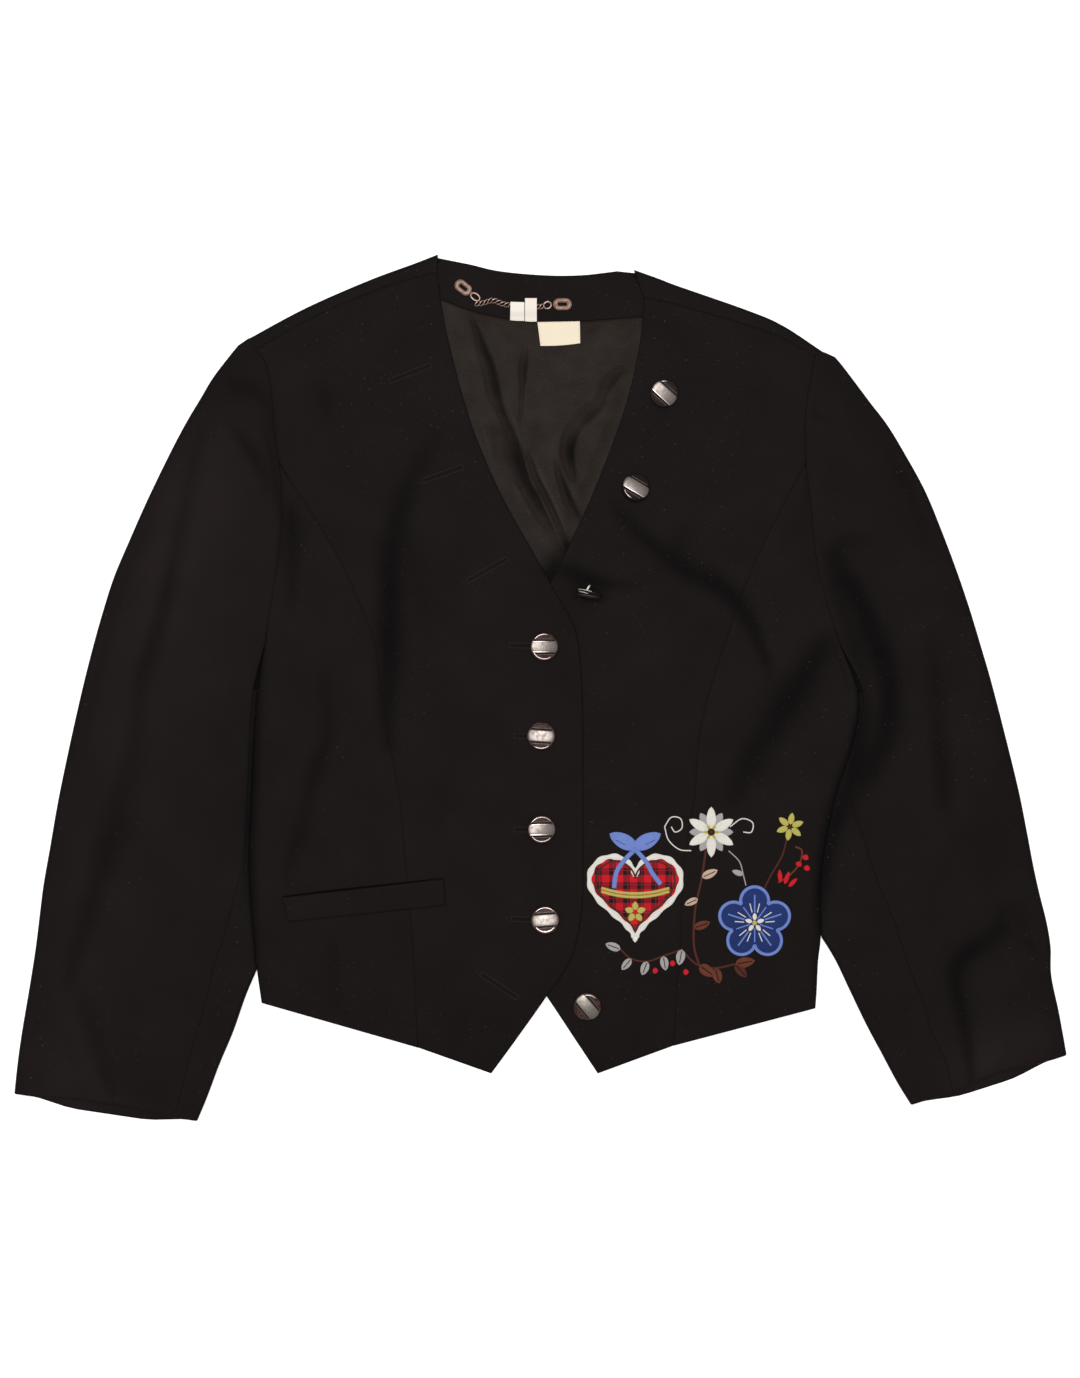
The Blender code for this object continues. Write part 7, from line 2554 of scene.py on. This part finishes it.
    def sew_gentian(self, shop: Workshop) -> None:
        """Make the gentian, its satin edge and its veins."""
        cloth = self.padded(shop, self.gentian(0.97), GENTIAN_CENTRE, 0.4).mesh("gentian_cloth")
        shop.add("gentian_cloth", cloth, [NAVY_CLOTH], Slot.NAVY, ["applique_gentian"])
        work = Stitching(shop, (*self.ground, "gentian_cloth"))
        work.column(self.gentian(), 2.3, 0.7, Thread.BLUE.value, 0.7, 9, True)
        veins = ((0, (8, 14.5, 21), 1.2, Thread.BLUE), (14, (8, 11.5, 15), 0.8, Thread.WHITE),
                 (-14, (8, 11.5, 15), 0.8, Thread.WHITE), (36, (4, 14.5), 1.0, Thread.BLUE))
        for k in range(5):
            for turn, reaches, width, thread in veins:
                line = polar(GENTIAN_CENTRE, reaches, 90 + 72 * k + turn)
                work.column(line, width, 0.5, thread.value, 0.7, 7)
        self.ring_of_petals(work, GENTIAN_CENTRE, 5, 2.0, (5.5, 3.0), 90, Thread.WHITE)
        self.petal(work, Petal(GENTIAN_CENTRE[0] - 1.9, GENTIAN_CENTRE[1], 0, 3.8, 3.8, Thread.YELLOW))
        work.finish("gentian_stitches", THREADS, Slot.NAVY)

    def sew_sprigs(self, shop: Workshop) -> None:
        """Make the edelweiss, the yellow flower, the stems, the leaves and the berries."""
        work = Stitching(shop, (*self.ground, "heart_scallops", "gentian_stitches"))
        for stem in SPRIG_STEMS:
            work.column(stem.places, stem.width, 0.5, stem.thread.value, 0.8, 8)
        work.finish("sprig_stems", THREADS, Slot.RED)
        work = Stitching(shop, (*self.ground, "heart_scallops", "gentian_stitches", "sprig_stems"))
        for petal in SPRIG_PETALS:
            self.petal(work, petal)
        self.ring_of_petals(work, (128, -108), 6, 3.0, (13.5, 6.4), 0, Thread.GREY)
        self.ring_of_petals(work, (187, -104), 6, 1.6, (9.0, 4.4), 20, Thread.YELLOW)
        work.finish("sprig_leaves", THREADS, Slot.RED)
        work = Stitching(shop, (*self.ground, "sprig_leaves"))
        self.ring_of_petals(work, (128, -108), 6, 2.5, (16.5, 6.8), 30, Thread.WHITE)
        self.ring_of_petals(work, (128, -108), 6, 2.4, (3.6, 3.2), 0, Thread.YELLOW)
        self.petal(work, Petal(126.3, -108, 0, 3.4, 3.4, Thread.BROWN))
        self.petal(work, Petal(185.6, -104, 0, 2.8, 2.8, Thread.BROWN))
        for petal in SPRIG_PETALS[:12]:
            line = polar((petal.x, petal.y), petal.length * np.array([0.12, 0.5, 0.85]), petal.angle)
            dark = petal.thread in (Thread.GREY, Thread.BEIGE)
            work.column(line, 0.7, 0.95, (Thread.BROWN if dark else Thread.BLACK).value, 0.7, 6)
        work.finish("sprig_blossoms", THREADS, Slot.RED)

    def make(self, shop: Workshop) -> None:
        """Make the whole design."""
        self.sew_heart(shop)
        self.sew_gentian(shop)
        self.sew_sprigs(shop)


@dataclass(frozen=True)
class PhotoStudio:
    """The floor, the light and the camera that looks straight down."""

    view_height: float = 1.0335
    distance: float = 2.7
    cloth_level: float = 0.005
    floor_level: float = -0.0003
    centre: Place = (-0.000375, -0.00075)
    lamp_power: float = 285.0
    lamp_size: float = 4.0
    lamp_place: tuple[float, float, float] = (-0.37, 0.61, 6.0)
    sky: float = 0.4
    floor_glow: float = 0.4

    def make_floor(self) -> None:
        """Lay a wide pale floor just under the jacket."""
        mesh = bpy.data.meshes.new("floor")
        count, half = 25, 4.0
        places = np.linspace(-half, half, count)
        verts = [(float(x), float(y), self.floor_level) for y in places for x in places]
        faces = [[j * count + i, j * count + i + 1, (j + 1) * count + i + 1, (j + 1) * count + i]
                 for j in range(count - 1) for i in range(count - 1)]
        mesh.from_pydata(verts, [], faces)
        w, shader, material = Finish("pale_paper", (0.93, 0.93, 0.93), 1.0).start(
            Specular_IOR_Level=0.0, Emission_Strength=self.floor_glow)
        grain = w.noise(w.node("TexCoord").outputs["Object"], 60.0, 2.0)
        w.join(w.mix(grain, (0.93, 0.93, 0.93), (0.96, 0.96, 0.96)), shader, "Base Color")
        w.join(w.span(grain, 0.0, 1.0, 0.9, 1.0), shader, "Roughness")
        shader.inputs["Emission Color"].default_value = (1.0, 1.0, 1.0, 1.0)
        mesh.materials.append(material)
        new_object("floor", mesh)

    def make_light(self) -> None:
        """Hang one large soft lamp high over the jacket, with weak light from all round."""
        data = bpy.data.lights.new("soft_lamp", "AREA")
        data.shape = "DISK"
        data.size = self.lamp_size
        data.energy = self.lamp_power
        lamp = new_object("soft_lamp", data)
        lamp.location = self.lamp_place
        lamp.rotation_euler = Vector(lamp.location).to_track_quat("Z", "Y").to_euler()
        world = bpy.data.worlds.new("soft_sky")
        world.use_nodes = True
        background = world.node_tree.nodes["Background"]
        background.inputs[0].default_value = (1.0, 1.0, 1.0, 1.0)
        background.inputs[1].default_value = self.sky
        bpy.context.scene.world = world

    def make_camera(self) -> None:
        """Set the camera straight above the middle of the picture."""
        data = bpy.data.cameras.new("camera")
        data.sensor_width = 36.0
        data.lens = 36.0 * self.distance / self.view_height
        data.clip_end = 30.0
        camera = new_object("camera", data)
        camera.location = (*self.centre, self.cloth_level + self.distance)
        bpy.context.scene.camera = camera
        bpy.context.scene.view_settings.view_transform = "Standard"

    def make(self) -> None:
        """Set up the whole studio."""
        self.make_floor()
        self.make_light()
        self.make_camera()


def main() -> None:
    """Build the jacket from the lowest layer up, and report each piece."""
    logging.basicConfig(level=logging.INFO, format="%(name)s %(message)s", force=True)
    PhotoStudio().make()
    shop = Workshop()
    Back().make(shop)
    NeckInside().make(shop)
    Fronts().make(shop)
    Sleeve("right", RIGHT_SLEEVE, RIGHT_HALF, RIGHT_SLEEVE_INNER, RIGHT_LEAVES_BODY_AT).make(shop)
    Sleeve("left", LEFT_SLEEVE, LEFT_HALF, LEFT_SLEEVE_INNER, LEFT_LEAVES_BODY_AT).make(shop)
    PocketWelt().make(shop)
    Hanger().make(shop)
    Labels().make(shop)
    Button().make(shop)
    Buttonholes().make(shop)
    Applique().make(shop)


if __name__ == "__main__":
    main()
